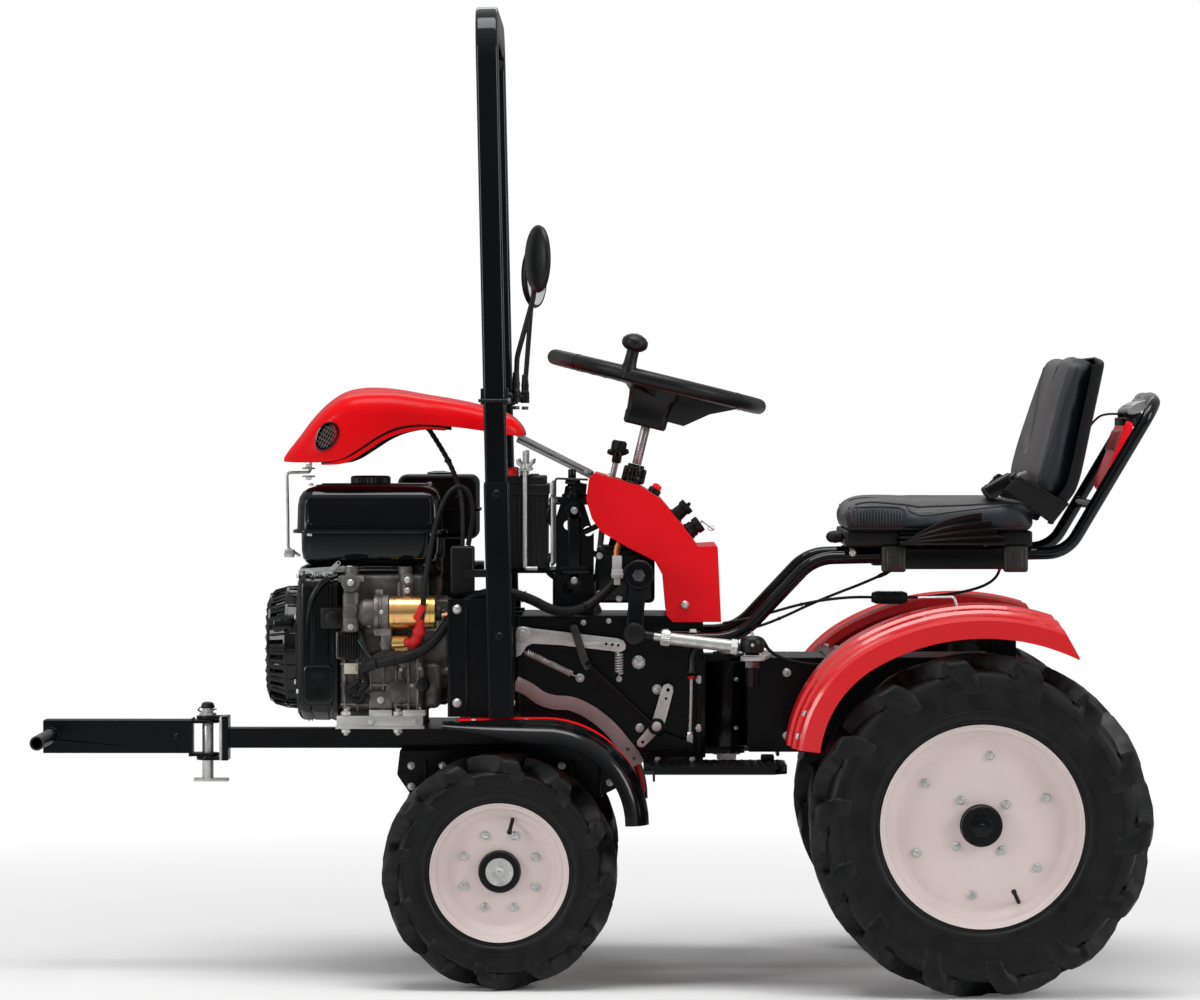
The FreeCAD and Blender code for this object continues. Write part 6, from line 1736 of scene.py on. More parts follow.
valve = [block((-78, -82, 640), (-44, -58, 700), 4), block((-66, -100, 700), (-10, -62, 716), 4),
         round_bar((-40, -98, 690), (-40, -60, 690), 17, 3), round_bar((-40, -98, 812), (-40, -62, 812), 17, 3),
         block((-52, -98, 690), (-28, -84, 812), 4, 3), block((-84, -94, 822), (4, -66, 836), 4, 3),
         pipe(eased([(-70, -86, 832), (-84, -86, 812), (-80, -86, 790), (-52, -88, 772)]), 5, 12),
         pipe(eased([(-6, -86, 832), (10, -86, 812), (6, -86, 790), (-28, -88, 772)]), 5, 12),
         pipe(eased([(-60, -90, 744), (-84, -88, 730), (-86, -86, 706), (-66, -86, 690)]), 5, 12),
         pipe(eased([(-20, -90, 744), (4, -88, 730), (6, -86, 706), (-10, -86, 690)]), 5, 12),
         turned([(0, 22), (6, 22), (8, 18), (20, 16), (22, 12), (30, 10)], (-40, -80, 834), Z, 28),
         round_bar((-44, -84, 862), (-44, -84, 884), 7, 1.5), block((-56, -96, 858), (-30, -70, 866), 2)]
piece("pedal_casting", valve, "front_half", BLACK_PAINT, smooth=40)
bolts("pedal_casting_bolts", [((-40, -98, 812), -Y, 6), ((-40, -98, 690), -Y, 6), ((-74, -94.5, 829), -Y, 4.5),
                              ((-6, -94.5, 829), -Y, 4.5)], "front_half", ZINC)
WIRE_YELLOW = finish("yellow_wire", (0.65, 0.36, 0.02), 0.4, grain=(300.0, 0.05))
plug = [block((26, -158, 706), (43, -144, 735), 1.6), block((25, -160, 696), (45, -142, 712), 1.4),
        block((24, -162, 700), (46, -140, 704), 1.0), block((29, -156, 684), (41, -146, 698), 2.0)]
piece("white_connector", plug, "front_half", PALE_PLASTIC)
for name, paint, shift in (("yellow_wires", WIRE_YELLOW, 0), ("red_wires", RED_RUBBER, 3.4), ("black_wires", RUBBER, 6.8)):
    piece(name, [pipe(eased([(30 + shift + i, -152, 734), (31 + shift + i, -150, 748), (38 + shift, -144, 762),
                             (52, -138, 772)]), 1.2, 6) for i in (0, 1.8)], "front_half", paint)

# %% [markdown]
# The battery stands on a shelf under two threaded rods. Wing nuts pull a strap down on it, red and black caps cover
# the terminals, and moulded ribs run round the case.

# %% Battery, shelf and hold-down
case = [block((-164, -90, 709), (-87, 90, 850), 3, 3), block((-166, -92, 838), (-85, 92, 858), 2.5, 3),
        block((-161, -87, 856), (-90, 87, 872), 3, 3)]
for n in range(7):
    case.append(block((-156 + 10 * n, -91.6, 716), (-153 + 10 * n, -89, 834), 0.8))
for n in range(6):
    y = -75 + 30 * n
    case.append(turned([(0, 8), (2, 8), (3, 7), (3, 0)], (-112, y, 871.5), Z, 24))
case = piece("battery_case", case, "front_half", BLACK_PLASTIC)
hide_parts("battery")
piece("battery_red_cap", [turned([(0, 11), (4, 11.5), (12, 9.5), (15, 6), (16, 0)], (-148, -72, 871), Z, 28),
                          pipe(eased([(-148, -72, 878), (-160, -78, 880), (-172, -88, 872), (-178, -96, 856)]), 4.4, 12)],
      "front_half", RED_RUBBER)
piece("battery_black_cap", [turned([(0, 11), (4, 11.5), (12, 9.5), (15, 6), (16, 0)], (-148, 72, 871), Z, 28),
                            pipe(eased([(-148, 72, 878), (-160, 80, 880), (-170, 92, 866), (-172, 96, 840)]), 4.4, 12)],
      "front_half", RUBBER)
rods = []
for side in (-1, 1):
    rods += [pipe(filleted([(-104, side * 97, 711), (-126, side * 97, 711), (-126, side * 97, 916)], 5), 3.9, 14),
             turned([(0, 8.5), (2, 8.5), (2.4, 7.5), (2.4, 3)], (-126, side * 97, 885), Z, 24)]
    for n in range(14):
        rods.append(turned([(0, 3.8), (0.6, 4.4), (1.2, 3.8)], (-126, side * 97, 894 + 1.5 * n), Z, 14))
    nut = [turned([(0, 6.5), (7, 5.5), (9, 4.5)], (-126, side * 97, 886), Z, 20)]
    for way in (-1, 1):
        nut.append(pipe([(-126 + way * 5, side * 97, 889), (-126 + way * 12, side * 97, 895),
                         (-126 + way * 14, side * 97, 901)], [3.2, 3.0, 2.2], 10))
    rods += nut
    rods.append(pipe([(-78, side * 93, 716), (-78, side * 93, 862)], 3.4, 12))
rods += [block((-137, -104, 881), (-115, 104, 885), 1.2), block((-137, -104, 872), (-134, 104, 885), 1)]
piece("battery_hold_down", rods, "front_half", ZINC)
frame_wire = [pipe(filleted([(-80, -99, 838), (-73, -99, 838), (-73, -99, 868), (-16, -99, 866)], 5, 6), 2.0, 10),
              pipe(filleted([(-73, -99, 838), (-73, -99, 722), (-80, -97, 716)], 5, 6), 2.0, 10)]
piece("cable_guard_wire", frame_wire, "front_half", DARK_STEEL)
shelf = [block((-172, -98, 703), (-71, 98, 709), 1.5), block((-172, -98, 695), (-168, 98, 709), 1),
         block((-75, -98, 695), (-71, 98, 709), 1)]
piece("battery_shelf_lips", shelf, "front_half", BLACK_PAINT)
print("dash, levers and battery made")
# %% [markdown]
# The frame's left side carries the working parts that give the tractor its character: a plated lever with three
# holes, two pull springs, a rod down to the crank on the brake shaft, a curved flat strap, and heads of bolts in
# many sizes. Each is placed from the frame's own side plate.

# %% Levers, springs and rods on the left side
levers = [side_plate([(-140, 606), (-137, 612), (-128, 613), (-110, 609), (36, 592), (46, 588), (50, 580), (49, 573),
                      (42, 569), (34, 569), (-60, 580), (-112, 583), (-122, 578), (-131, 564), (-140, 560)], -157, 5,
                     [(16, 582.5, 2.4), (26.6, 581.3, 2.4), (37, 580, 2.4)]),
          turned([(0, 12.6), (3, 12.6), (4, 11.6), (4, 8), (9, 7.6), (10, 6.6), (10, 0)], (-128, -159, 599), -Y, 36),
          side_plate([(112, 505), (116, 512), (124, 514), (131, 509), (132, 501), (116, 440), (100, 428), (94, 444)],
                     -161, 5, [(123, 503, 3.2), (119.5, 488, 2.4)]),
          side_plate(bar_outline((100, 436), (77, 411), 9.5, 8), -156, 5, [(79, 412, 2.6)])]
lever_piece = piece("plated_levers", levers, "front_half", ZINC_PLATE)
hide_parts("control_linkage")
piece("dark_lever", [side_plate([(-47, 611), (-44, 616), (-36, 616), (-33, 612), (-10, 542), (-20, 537), (-28, 551)],
                                -168, 4)], "front_half", DARK_STEEL)
springs = [coil((-131, -152, 572), (-36.5, -152, 526), 5.2, 1.25, 21),
           coil((38, -152, 578), (38, -152, 520), 6.6, 1.5, 8)]
piece("pull_springs", springs, "front_half", ZINC)
rod_ends = [pipe([(-17, -168, 549), (94, -168, 444)], 3.4, 14),
            round_bar((-15, -166, 548), (-15, -174, 548), 6), round_bar((103, -130, 440), (103, -166, 440), 14.8, 2),
            turned([(0, 14.6), (4, 14.6), (5, 13.4), (5, 9), (4, 8.4), (4, 0)], (103, -163.5, 440), -Y, 36),
            side_plate([(103, 434), (70, 398), (80, 392), (172, 400), (166, 410)], -151, 6, edge=1.0)]
piece("brake_rod_and_hub", rod_ends, "front_half", BLACK_PAINT)
strap_line = eased([(-142, -139.5, 514), (-118, -139.5, 502), (-96, -139.5, 487), (-72, -139.5, 480),
                    (-46, -139.5, 478), (-14, -139.5, 464), (20, -139.5, 438), (46, -139.5, 408), (62, -139.5, 388),
                    (70, -139.5, 372)], 5)
strap = pipe(strap_line, 1.0, section=[(-2.2, -12.2), (2.2, -12.2), (2.6, -11.6), (2.6, 11.6), (2.2, 12.2), (-2.2, 12.2),
                                       (-2.6, 11.6), (-2.6, -11.6)])
piece("curved_strap", [strap], "front_half", PINK_STRAP)
# Dark discs on the strap stand in for its holes: painted shade.
piece("strap_hole_painted_shade", [turned([(0, 3.4), (0.5, 3.4), (0.6, 0)], (x, -142.2, z), -Y, 16) for x, z in ((53, 399), (64, 383))],
      "front_half", DARK_STEEL)
heads = [((72, -130, 549), -Y, 11.0), ((-30, -130, 522), -Y, 7.4), ((38, -130, 520), -Y, 5.0),
         ((104.4, -130, 502), -Y, 8.4), ((74, -130, 435), -Y, 7.4), ((177, -130, 519), -Y, 6.8),
         ((176, -130, 435), -Y, 6.8), ((103, -167.8, 440), -Y, 8.0), ((-24, -130, 618), -Y, 4.6),
         ((20, -130, 621), -Y, 4.6)]
for x, z in ((-118, 460), (20, 612), (60, 500), (150, 590), (177, 519), (176, 435), (-118, 600), (90, 430)):
    heads.append(((x, 130, z), Y, 7.4))
bolts("frame_side_bolts", heads, "front_half", ZINC)
pins = [round_bar((-30, -130, 522), (-30, -154, 522), 3.4), round_bar((38, -130, 520), (38, -155, 520), 3.0)]
piece("spring_pins", pins, "front_half", ZINC)
pipe_parts = [pipe(filleted([(181, -138, 576), (168, -141, 574), (163.5, -142, 556), (163.5, -142, 534)], 9, 7), 4.4, 14),
              turned([(0, 5.4), (1, 6.2), (5, 6.2), (6, 5.4)], (163.5, -142, 531), Z, 20)]
piece("brake_hose_end", pipe_parts, "front_half", DARK_STEEL)
piece("brake_hose_seal", [turned([(0, 5.6), (1, 6.6), (4, 6.6), (5, 5.6)], (163.5, -142, 521), Z, 20)], "front_half",
      RED_RUBBER)
rod_down = [pipe([(163.5, -142, 526), (162.4, -142, 470), (160.8, -142, 424)], 2.6, 12),
            block((155.5, -147, 398), (166, -137, 424), 1.4), round_bar((160.6, -149, 405), (160.6, -135, 405), 3),
            hexagon((160.8, -142, 424), Z, 8, 5)]
piece("brake_pull_rod", rod_down, "front_half", ZINC)


# %% [markdown]
# Plates that meet at right angles are welded. A weld is a row of small overlapping ripples, and a few along the
# frame's front and rear edges tell that it was built from flat steel.

# %% Weld beads and frame edges
def weld(start, end, radius=2.2, step=2.4):
    start, end = Vector(start), Vector(end)
    count = max(2, int((end - start).length / step))
    line, radii = [], []
    for i in range(count * 2 + 1):
        t = i / (count * 2)
        wander = Vector((random.uniform(-0.25, 0.25), random.uniform(-0.25, 0.25), random.uniform(-0.25, 0.25)))
        line.append(start.lerp(end, t) + wander)
        radii.append(radius * (1.08 if i % 2 else 0.86))
    return pipe(line, radii, 8)


beads = []
for side in (-1, 1):
    y = side * 131
    beads += [weld((171, y, 396), (171, y, 540)), weld((-141, y, 400), (-141, y, 470)),
              weld((-138, side * 131, 628.5), (-20, side * 131, 628.5)), weld((60, side * 131, 383), (160, side * 131, 383)),
              weld((108, side * 131, 603), (176, side * 131, 603))]
beads += [weld((185, -60, z), (185, 60, z)) for z in (384, 559)]
piece("front_welds", beads, "front_half", BLACK_PAINT, smooth=60)
edges = []
for side in (-1, 1):
    low, high = sorted((side * 130.2, side * 136))
    edges += [block((-143, low, 380), (-132, high, 630), 1.6), block((180, low, 384), (188, high, 560), 1.6)]
    low, high = sorted((side * 222, side * 234))
    edges += [block((-256, low, 462), (-250, high, 660), 1.4), block((-226, low, 470), (-221, high, 652), 1.4)]
piece("frame_edge_plates", edges, "front_half", BLACK_PAINT)

beads = []
for side in (-1, 1):
    beads += [weld((264, side * 99, 394), (264, side * 99, 555)), weld((300, side * 106, 555), (600, side * 106, 555)),
              weld((604, side * 106, 396), (690, side * 106, 396)), weld((735, side * 34, 410), (735, side * 34, 540))]
PIVOT_R = 41.5
for z in (399, 544):
    arc = [math.radians(a) for a in range(-60, 61, 5)]
    beads.append(pipe([(227 + PIVOT_R * math.cos(a), PIVOT_R * math.sin(a), z) for a in arc], 2.0, 8))
piece("rear_welds", beads, "rear_half", BLACK_PAINT, smooth=60)

# %% Pivot pin, its nuts and grease nipples
pin = [hexagon((227, 0, 560), Z, 34, 12), turned([(0, 24), (3, 24), (3, 12)], (227, 0, 559), Z, 40),
       hexagon((227, 0, 383.5), -Z, 34, 12), turned([(0, 24), (3, 24), (3, 12)], (227, 0, 384.2), -Z, 40)]
piece("pivot_pin_nuts", pin, "front_half", ZINC)
cotter = [pipe(filleted([(210, -20, 566), (245, 20, 566), (250, 14, 566), (214, -26, 566)], 3), 1.4, 8)]
piece("pivot_cotter", cotter, "front_half", DARK_STEEL)
out = Vector((math.cos(-1.2), math.sin(-1.2), 0))
nipples = [turned([(0, 3.5), (5, 3.5), (6, 2), (7.5, 2.6), (9, 1.8), (9.4, 0)], Vector((227, 0, z)) + out * PIVOT_R,
                  out, 16) for z in (430, 515)]
piece("pivot_grease_nipples", nipples, "rear_half", ZINC)
plate = [flat_plate([(262, 70), (262, 140), (247, 200), (247, 236), (253, 243), (281, 243), (288, 236), (290, 205),
                     (303, 112), (303, 70)], [], 6.4, ((0, 0, 560), X, -Y), 0.8)]
piece("steering_arm_plate", plate, "rear_half", ZINC_PLATE)
stud = [turned([(0, 9), (4, 9), (4, 0)], (267, -222, 560), -Z, 28), hexagon((267, -222, 556), -Z, 24, 13, 0.14)]
for n in range(11):
    stud.append(turned([(0, 8.2), (1, 9.2), (2, 8.2)], (267, -222, 513 + 2.6 * n), Z, 24))
stud.append(round_bar((267, -222, 512), (267, -222, 545), 8.2, 1))
piece("ball_stud_and_nut", stud, "rear_half", DARK_STEEL)
bolts("rear_frame_bolts", [((x, side * 105, z), (0, side, 0), s) for side in (-1, 1)
                           for x, z, s in ((330, 530, 7), (330, 420, 7), (596, 420, 8), (700, 420, 8), (596, 500, 8))] +
      [((292, -90, 563), Z, 7), ((292, -140, 563), Z, 6)], "rear_half", ZINC)
print("frame details made")

# %% [markdown]
# The footrests are steel treads with a raised checker pattern: short ridges, each turned a quarter from its
# neighbours. The front mudguards carry black rubber flares with rounded steps.

# %% Footrest tread and front mudguards
tread = []
for side in (-1, 1):
    for i in range(15):
        for j in range(10):
            x, y = 94 + 15.6 * i, 156 + 16.4 * j
            a = math.radians(45 if (i + j) % 2 else -45)
            if x > 296 and y > 288:
                continue
            along = Vector((math.cos(a), math.sin(a) * side, 0)) * 5.6
            at = Vector((x, side * y, 381))
            tread.append(pipe([at - along, at, at + along], [0.8, 1.7, 0.8], 6))
    corner = filleted([(80, side * 316, 374), (300, side * 316, 374), (322, side * 296, 374), (322, side * 160, 374)], 22, 8)
    tread.append(pipe(corner, 1.0, section=[(-2.6, -7), (2.6, -7), (3, -6), (3, 6), (2.6, 7), (-2.6, 7), (-3, 6), (-3, -6)]))
piece("footrest_treads", tread, "front_half", BLACK_GLOSS)
tab = []
for side in (-1, 1):
    tab += [block((283, side * 170 - 12, 379), (306, side * 170 + 12, 392), 3), block((96, side * 236 - 40, 352),
                                                                                      (100, side * 236 + 40, 378), 1)]
piece("footrest_tabs", tab, "front_half", BLACK_PAINT)
bolts("footrest_bolts", [((x, side * 150, 381), Z, 6) for side in (-1, 1) for x in (105, 165)], "front_half", ZINC)


def guard_line(drop=0.0, radius=174.0, start=-262.0):
    """The mudguard's side line in (x, z): level, then a quarter bend down behind the wheel."""
    line = [(start, 455 - drop), (-200, 455 - drop), (-140, 455 - drop)]
    for degrees in range(90, -1, -6):
        a = math.radians(degrees)
        line.append((-90 + (radius - drop) * math.cos(a), 281 + (radius - drop) * math.sin(a)))
    return line


flares = []
for side in (-1, 1):
    rings = []
    section = [(291, 4), (294, 5.5), (300, 5.5), (304, 3), (310, 2), (316, 1.5), (320, -1), (325, -4), (331, -6), (337, -10),
               (341, -16), (344.5, -24), (345, -34), (342, -35), (341, -25), (336, -15), (328, -9), (318, -5), (306, -1.5),
               (292, 0.6)]
    for index, (x, z) in enumerate(guard_line()):
        taper = min(1.0, 0.25 + index * 0.3)
        if index < 3:
            out = Vector((0, 0, 1))
        else:
            a = math.radians(90 - 6 * (index - 3))
            out = Vector((math.cos(a), 0, math.sin(a)))
        rings.append([(Vector((x, side * (291 + (y - 291) * (0.55 + 0.45 * taper)), z)) + out * rise * taper) * MM
                      for y, rise in section])
    flares.append(skin(rings))
flare = piece("rubber_flares", flares, "front_half", GLOSS_PLASTIC, smooth=50)
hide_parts("fender_flares")
guards, ribs = [], []
for side in (-1, 1):
    for y in (200, 236, 262):
        line = [Vector((x, side * y, z)) for x, z in guard_line(start=-236)[:-1]]
        ribs.append(pipe([p + Vector((0, 0, 0.6)) for p in line], 2.6, 8))
piece("front_guard_ribs", ribs, "front_half", RED_PAINT)
places = []
for side in (-1, 1):
    for x, z, axis in ((-210, 456.4, Z), (-120, 456.4, Z), (33, 405, Vector((0.7, 0, 0.7))), (72, 345, Vector((0.93, 0, 0.36)))):
        places.append(((x, side * 284, z), axis, 4.6))
bolts("front_guard_bolts", places, "front_half", ZINC)
print("footrests and front guards made")
# %% [markdown]
# Each rear mudguard is a pressed red shell with raised beads along it and a rolled outer lip. The shell itself
# comes from the frame; beads, bolts and stays go on top. A wire for the cable is clamped to the left one.

# %% Rear mudguards
def fender_line(lift=0.0, first=66, last=120, steps=40):
    """The middle line of the guard in (x, z), from its rear end over the wheel to the front."""
    line = []
    for i in range(steps + 1):
        a = math.radians(first + (last - first) * i / steps)
        line.append((650 + (401 + lift) * math.cos(a), 242 + (401 + lift) * math.sin(a)))
    for i in range(1, 31):
        a = math.radians(120 + 53 * i / 30)
        line.append((563.3 + (227.6 + lift) * math.cos(a), 392.2 + (227.6 + lift) * math.sin(a)))
    return line


beads, lips, stays, places, clamps = [], [], [], [], []
for name, side in SIDES.items():
    for y, first in ((262, 76), (300, 74), (340, 74), (382, 75)):
        line = [Vector((x, side * y, z)) for x, z in fender_line(-0.4, first)]
        radii = [2.0 * min(1.0, i / 5, (len(line) - 1 - i) / 5) + 0.4 for i in range(len(line))]
        beads.append(pipe(line, radii, section=[(math.cos(math.tau * i / 8) * 1.0, math.sin(math.tau * i / 8) * 2.4)
                                                for i in range(8)]))
    low, high = sorted((side * 76, side * 212))
    stays += [block((392, low, 553), (440, high, 559), 1.4), block((688, low, 630), (732, high, 636), 1.4)]
    for x, z, y in ((410, 562.5, 236), (410, 562.5, 200), (425, 562.5, 120)):
        places.append(((x, side * y, z), Z, 5))
    for x, z, y in ((710, 638.5, 240), (710, 638.5, 300), (650, 643.5, 330)):
        a = math.atan2(z - 242, x - 650)
        places.append(((x, side * y, z), (math.cos(a), 0, math.sin(a)), 5.4))
    for a, r, cx, cz in ((168, 229.4, 563.3, 392.2), (158, 229.4, 563.3, 392.2)):
        at = Vector((cx + r * math.cos(math.radians(a)), side * 440, cz + r * math.sin(math.radians(a))))
        places.append((at, (math.cos(math.radians(a)), 0, math.sin(math.radians(a))), 5.4))
piece("rear_guard_beads", beads, "rear_half", GUARD_RED, smooth=60)
piece("rear_guard_stays", stays, "rear_half", BLACK_PAINT)
bolts("rear_guard_bolts", places, "rear_half", ZINC)
wire = [pipe(filleted([(548, -300, 668), (606, -335, 670), (614, -338, 646), (704, -338, 644), (716, -338, 643)], 7, 6),
             2.4, 12)]
piece("guard_cable_wire", wire, "rear_half", ZINC)
for x, y in ((660, -300), (704, -338)):
    clamps += [pipe([(x - 3, y - 9, 643.5), (x, y, 649), (x + 3, y + 9, 643.5)], 2.2, 8), bolt((x, y - 10, 642.5), Z, 4.4),
               bolt((x, y + 10, 642.5), Z, 4.4), block((x - 7, y - 16, 640.5), (x + 7, y + 16, 643.5), 1)]
piece("guard_wire_clamps", clamps, "rear_half", ZINC)

# %% [markdown]
# The tail lamp hangs between the tubes of the loop: a red lens with ribs moulded inside, a clear window, a black
# housing above and a bright cap. The lens is glassy plastic, and a faint painted glow stands in for light passing
# through it.

# %% Tail lamp
LAMP = [(888, 843), (881, 856), (892, 888), (903, 916), (912, 942), (919, 963), (925, 968), (934, 960), (926, 934),
        (912, 900), (899, 868)]
lamp_line = eased([(x, 0, z) for x, z in LAMP + LAMP[:1]], 3)[:-1]
rings = []
centre = sum(lamp_line, Vector()) / len(lamp_line)
for y, inset in ((-88, 3), (-87, 1.2), (-84, 0), (84, 0), (87, 1.2), (88, 3)):
    rings.append([(centre + (p - centre) * (1 - inset / 42) + Vector((0, y, 0))) * MM for p in lamp_line])
lens = [skin(rings)]
ribs = []
for n in range(9):
    y = -80 + 20 * n
    ribs.append(pipe([(884.5, y, 859), (895, y, 889), (905.5, y, 917)], 1.1, 6))
lens = piece("tail_lamp_lens", lens + ribs, "front_half", RED_LENS_PAINTED_GLOW, smooth=50)
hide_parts("tail_lamp")
CLEAR = finish("clear_lens", (0.50, 0.050, 0.060), 0.10, other=(0.66, 0.20, 0.20), drift=30.0, spread=0.05,
               grain=(160.0, 0.05), Specular_IOR_Level=0.5)
window = [block((-3.6, low, -15), (4.4, low + 166, 21), 1.5) for low in (-83,)]
window += [block((-4.6, low, -12), (-2, low + 2, 18), 0.6) for low in range(-72, 73, 18)]
for shape in window:
    for vert in shape.verts:
        vert.co = Vector((0.9085, 0, 0.931)) + vert.co + Vector((0.36 * vert.co.z, 0, 0))
piece("tail_lamp_window", window, "front_half", CLEAR)
cap_rings = []
for y, s in ((-88, 0.9), (-86, 1.0), (86, 1.0), (88, 0.9)):
    cap_rings.append([P(944 + s * 20 * math.cos(a) * 1.05 - s * 4.5 * math.sin(a), y,
                        992 + s * 20 * math.cos(a) * 0.50 + s * 7.5 * math.sin(a))
                      for a in (math.tau * i / 20 for i in range(20))])
silver = [skin(cap_rings)]
for n in range(22):                                      # ribs that give the cap its grip
    silver.append(pipe([P(930 + 1.3 * n, y, 993.5 + 0.62 * n) / MM for y in (-84, 84)], 0.9, 6))
piece("tail_lamp_silver_cap", silver, "front_half", SILVER_PLASTIC)
housing = [block((917, -84, 958), (938, 84, 974), 3, 3), block((921, -69, 962), (950, -51, 984), 2),
           block((921, 51, 962), (950, 69, 984), 2)]
housing += [pipe([(932, y, 980), (956, y, 993.6)], 5.6, 14) for y in (-60, 60)]
piece("tail_lamp_housing", housing, "front_half", BLACK_PLASTIC)
strap = []
for y in (-60, 60):
    strap += [pipe([Vector((965 + 12.4 * math.cos(a), y, 1001 + 12.4 * math.sin(a))) for a in
                    (math.radians(b) for b in range(-60, 241, 20))], 1.0,
                   section=[(-1.2, -5), (1.2, -5), (1.2, 5), (-1.2, 5)])]
piece("tail_lamp_clips", strap, "front_half", ZINC)

# %% [markdown]
# The seat's tube gets weld beads, weld rings and the bolts of its foot. It is glossy black.

# %% Seat tube welds
rings = []
for side in (-1, 1):
    rings += [weld((106, side * 160, 603), (178, side * 160, 603), 1.8), weld((106, side * 160, 581), (178, side * 160,
                                                                                             581), 1.8)]
    for x, z in ((452, 732.8), (860, 822.8)):
        loop = [Vector((x + 9.4 * math.cos(a), side * 159.5, z + 9.4 * math.sin(a)))
                for a in (math.tau * i / 16 for i in range(17))]
        rings.append(pipe(loop, 1.6, 6))
piece("seat_tube_welds", rings, "front_half", BLACK_GLOSS, smooth=60)
bolts("seat_tube_bolts", [((x, side * 170, 603), Z, 7) for side in (-1, 1) for x in (118, 166)], "front_half", ZINC)

# %% [markdown]
# Underneath and behind are the plain working parts: axle flanges with their nuts, the differential cover with a
# drain plug, and a bolt on the hitch.

# %% Rear axle and hitch
places = []
for side in (-1, 1):
    for n in range(6):
        a = math.tau * n / 6
        places.append(((647 + 42 * math.cos(a), side * 290.5, 289 + 42 * math.sin(a)), (0, side, 0), 7))
    for n in range(8):
        a = math.tau * (n + 0.5) / 8
        places.append(((647 + 78 * math.cos(a), side * 62, 289 + 78 * math.sin(a)), (0, side, 0), 6.5))
places += [((735.5, y, z), X, 7) for y in (-80, 80) for z in (420, 530)] + [((647, 0, 197), -Z, 9),
                                                                            ((800, -32.5, 435), -Y, 6)]
bolts("rear_axle_bolts", places, "rear_half", ZINC)
cast = []
for side in (-1, 1):
    for n in range(10):
        a = math.tau * n / 10
        at = Vector((647, 0, 289)) + Vector((math.cos(a), 0, math.sin(a))) * 62
        far = Vector((647, 0, 289)) + Vector((math.cos(a), 0, math.sin(a))) * 36
        cast.append(pipe([at + Y * side * 60, far + Y * side * 118], [3.4, 2.2], 8))
    cast.append(turned([(0, 46), (8, 46), (10, 40), (10, 34)], (647, side * 62, 289), (0, side, 0), 40))
cast += [turned([(-3, 93), (-3, 95), (3, 95), (3, 93)], (647, 0, 289), Y, 64),
         turned([(0, 30), (4, 30), (5, 28), (5, 0)], (647, 0, 381), Z, 32)]
piece("rear_axle_ribs", cast, "rear_half", BLACK_PAINT, smooth=40)
places = []
for side in (-1, 1):
    for n in range(6):
        a = math.tau * (n + 0.5) / 6
        places.append(((-165 + 36 * math.cos(a), side * 100.5, 201 + 36 * math.sin(a)), (0, side, 0), 6))
BELLY = [(-350, 350), (-250, 205), (-215, 150), (-165, 128), (-112, 150), (-80, 210), (-20, 300), (40, 330)]


def belly(x):
    """Height of the gearbox's underside at a place along the tractor."""
    for (x0, z0), (x1, z1) in zip(BELLY, BELLY[1:]):
        if x0 <= x <= x1:
            return z0 + (z1 - z0) * (x - x0) / (x1 - x0)


places += [((x, side * 78.5, z), (0, side, 0), 6.5) for side in (-1, 1) for x in (-325, -270, -62, 22)
           for z in (belly(x) + 16, 366)]
bolts("gearbox_bolts", places, "front_half", ZINC)
ribs = []
for side in (-1, 1):
    low, high = sorted((side * 76, side * 84))
    for x in (-300, -248, -84, -42, 4):
        ribs.append(block((x - 3, low, belly(x) + 5), (x + 3, high, 376), 1.4))
    ribs.append(block((-310, low, 300), (-24, high, 307), 1.4))
for x in (-322, -296, -236, -98, -52, 6):
    ribs.append(block((x - 3, -70, belly(x) - 3), (x + 3, 70, belly(x) + 6), 1.2))
piece("gearbox_ribs", ribs, "front_half", BLACK_PAINT)

# %% [markdown]
# The front bar hooks to the drawbar with a plated pin. The pin has a flag handle below, a spring clip on top, and
# a bent wire ring through it. The bar's front tube is hollow, with its cross bore open.

# %% Front bar, clevis and pin
pin = [turned([(0, 0), (0, 8.6), (2, 10), (116, 10), (118, 8.6), (118, 0)], (-687, 0, 333), Z, 40),
       turned([(0, 15), (4, 15), (4, 9)], (-687, 0, 449.5), Z, 36), block((-712, -9, 333), (-650, 9, 339), 2.2, 3),
       turned([(0, 9), (1, 9.8), (9, 9.8), (10, 9), (14, 6), (14.6, 0)], (-687, 0, 453), Z, 32),
       round_bar((-694, 0, 345), (-680, 0, 345), 2.4)]
pin = piece("clevis_pin", pin, "front_bar", ZINC)
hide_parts("hitch_pin")
clip = [pipe(filleted([(-690, 0, 460), (-700, 4, 464), (-706, 8, 458), (-700, 12, 455), (-690, 14, 455), (-680, 12, 457),
                       (-674, 6, 460), (-672, -6, 460)], 3, 5), 1.5, 10)]
piece("pin_ring_clip", clip, "front_bar", ZINC)
piece("pin_cap", [turned([(0, 12), (3, 12.4), (9, 10), (11, 6), (11.6, 0)], (-687, 0, 462), Z, 28)], "front_bar",
      BLACK_PLASTIC)
loop = []
for z in (371, 443):
    loop.append(block((-664, -22, z), (-652, 22, z + 6), 1.4))
loop += [pipe(filleted([(-662, -24, 374), (-662, -24, 446), (-662, 24, 446), (-662, 24, 374), (-662, -24, 374)], 4, 4), 3.0, 10)]
piece("drawbar_loop", loop, "front_half", ZINC_PLATE)
beads = [weld((-713, -26, 386), (-713, -26, 440), 2), weld((-713, -24, 443), (-713, 24, 443), 2)]
for side in (-1, 1):
    beads.append(pipe([Vector((-961 + 13.4 * math.cos(t), side * 26, 415 + 13.4 * math.sin(t)))
                       for t in (math.tau * i / 20 for i in range(21))], 1.8, 8))
piece("front_bar_welds", beads, "front_bar", BLACK_PAINT, smooth=60)
caps = [turned([(0, 9.6), (0, 12.2), (1.2, 12.6), (2.4, 12.2), (2.4, 9.6)], (-961, side * 238, 415), (0, side, 0), 36)
        for side in (-1, 1)]
piece("front_bar_tube_rings", caps, "front_bar", DARK_STEEL)
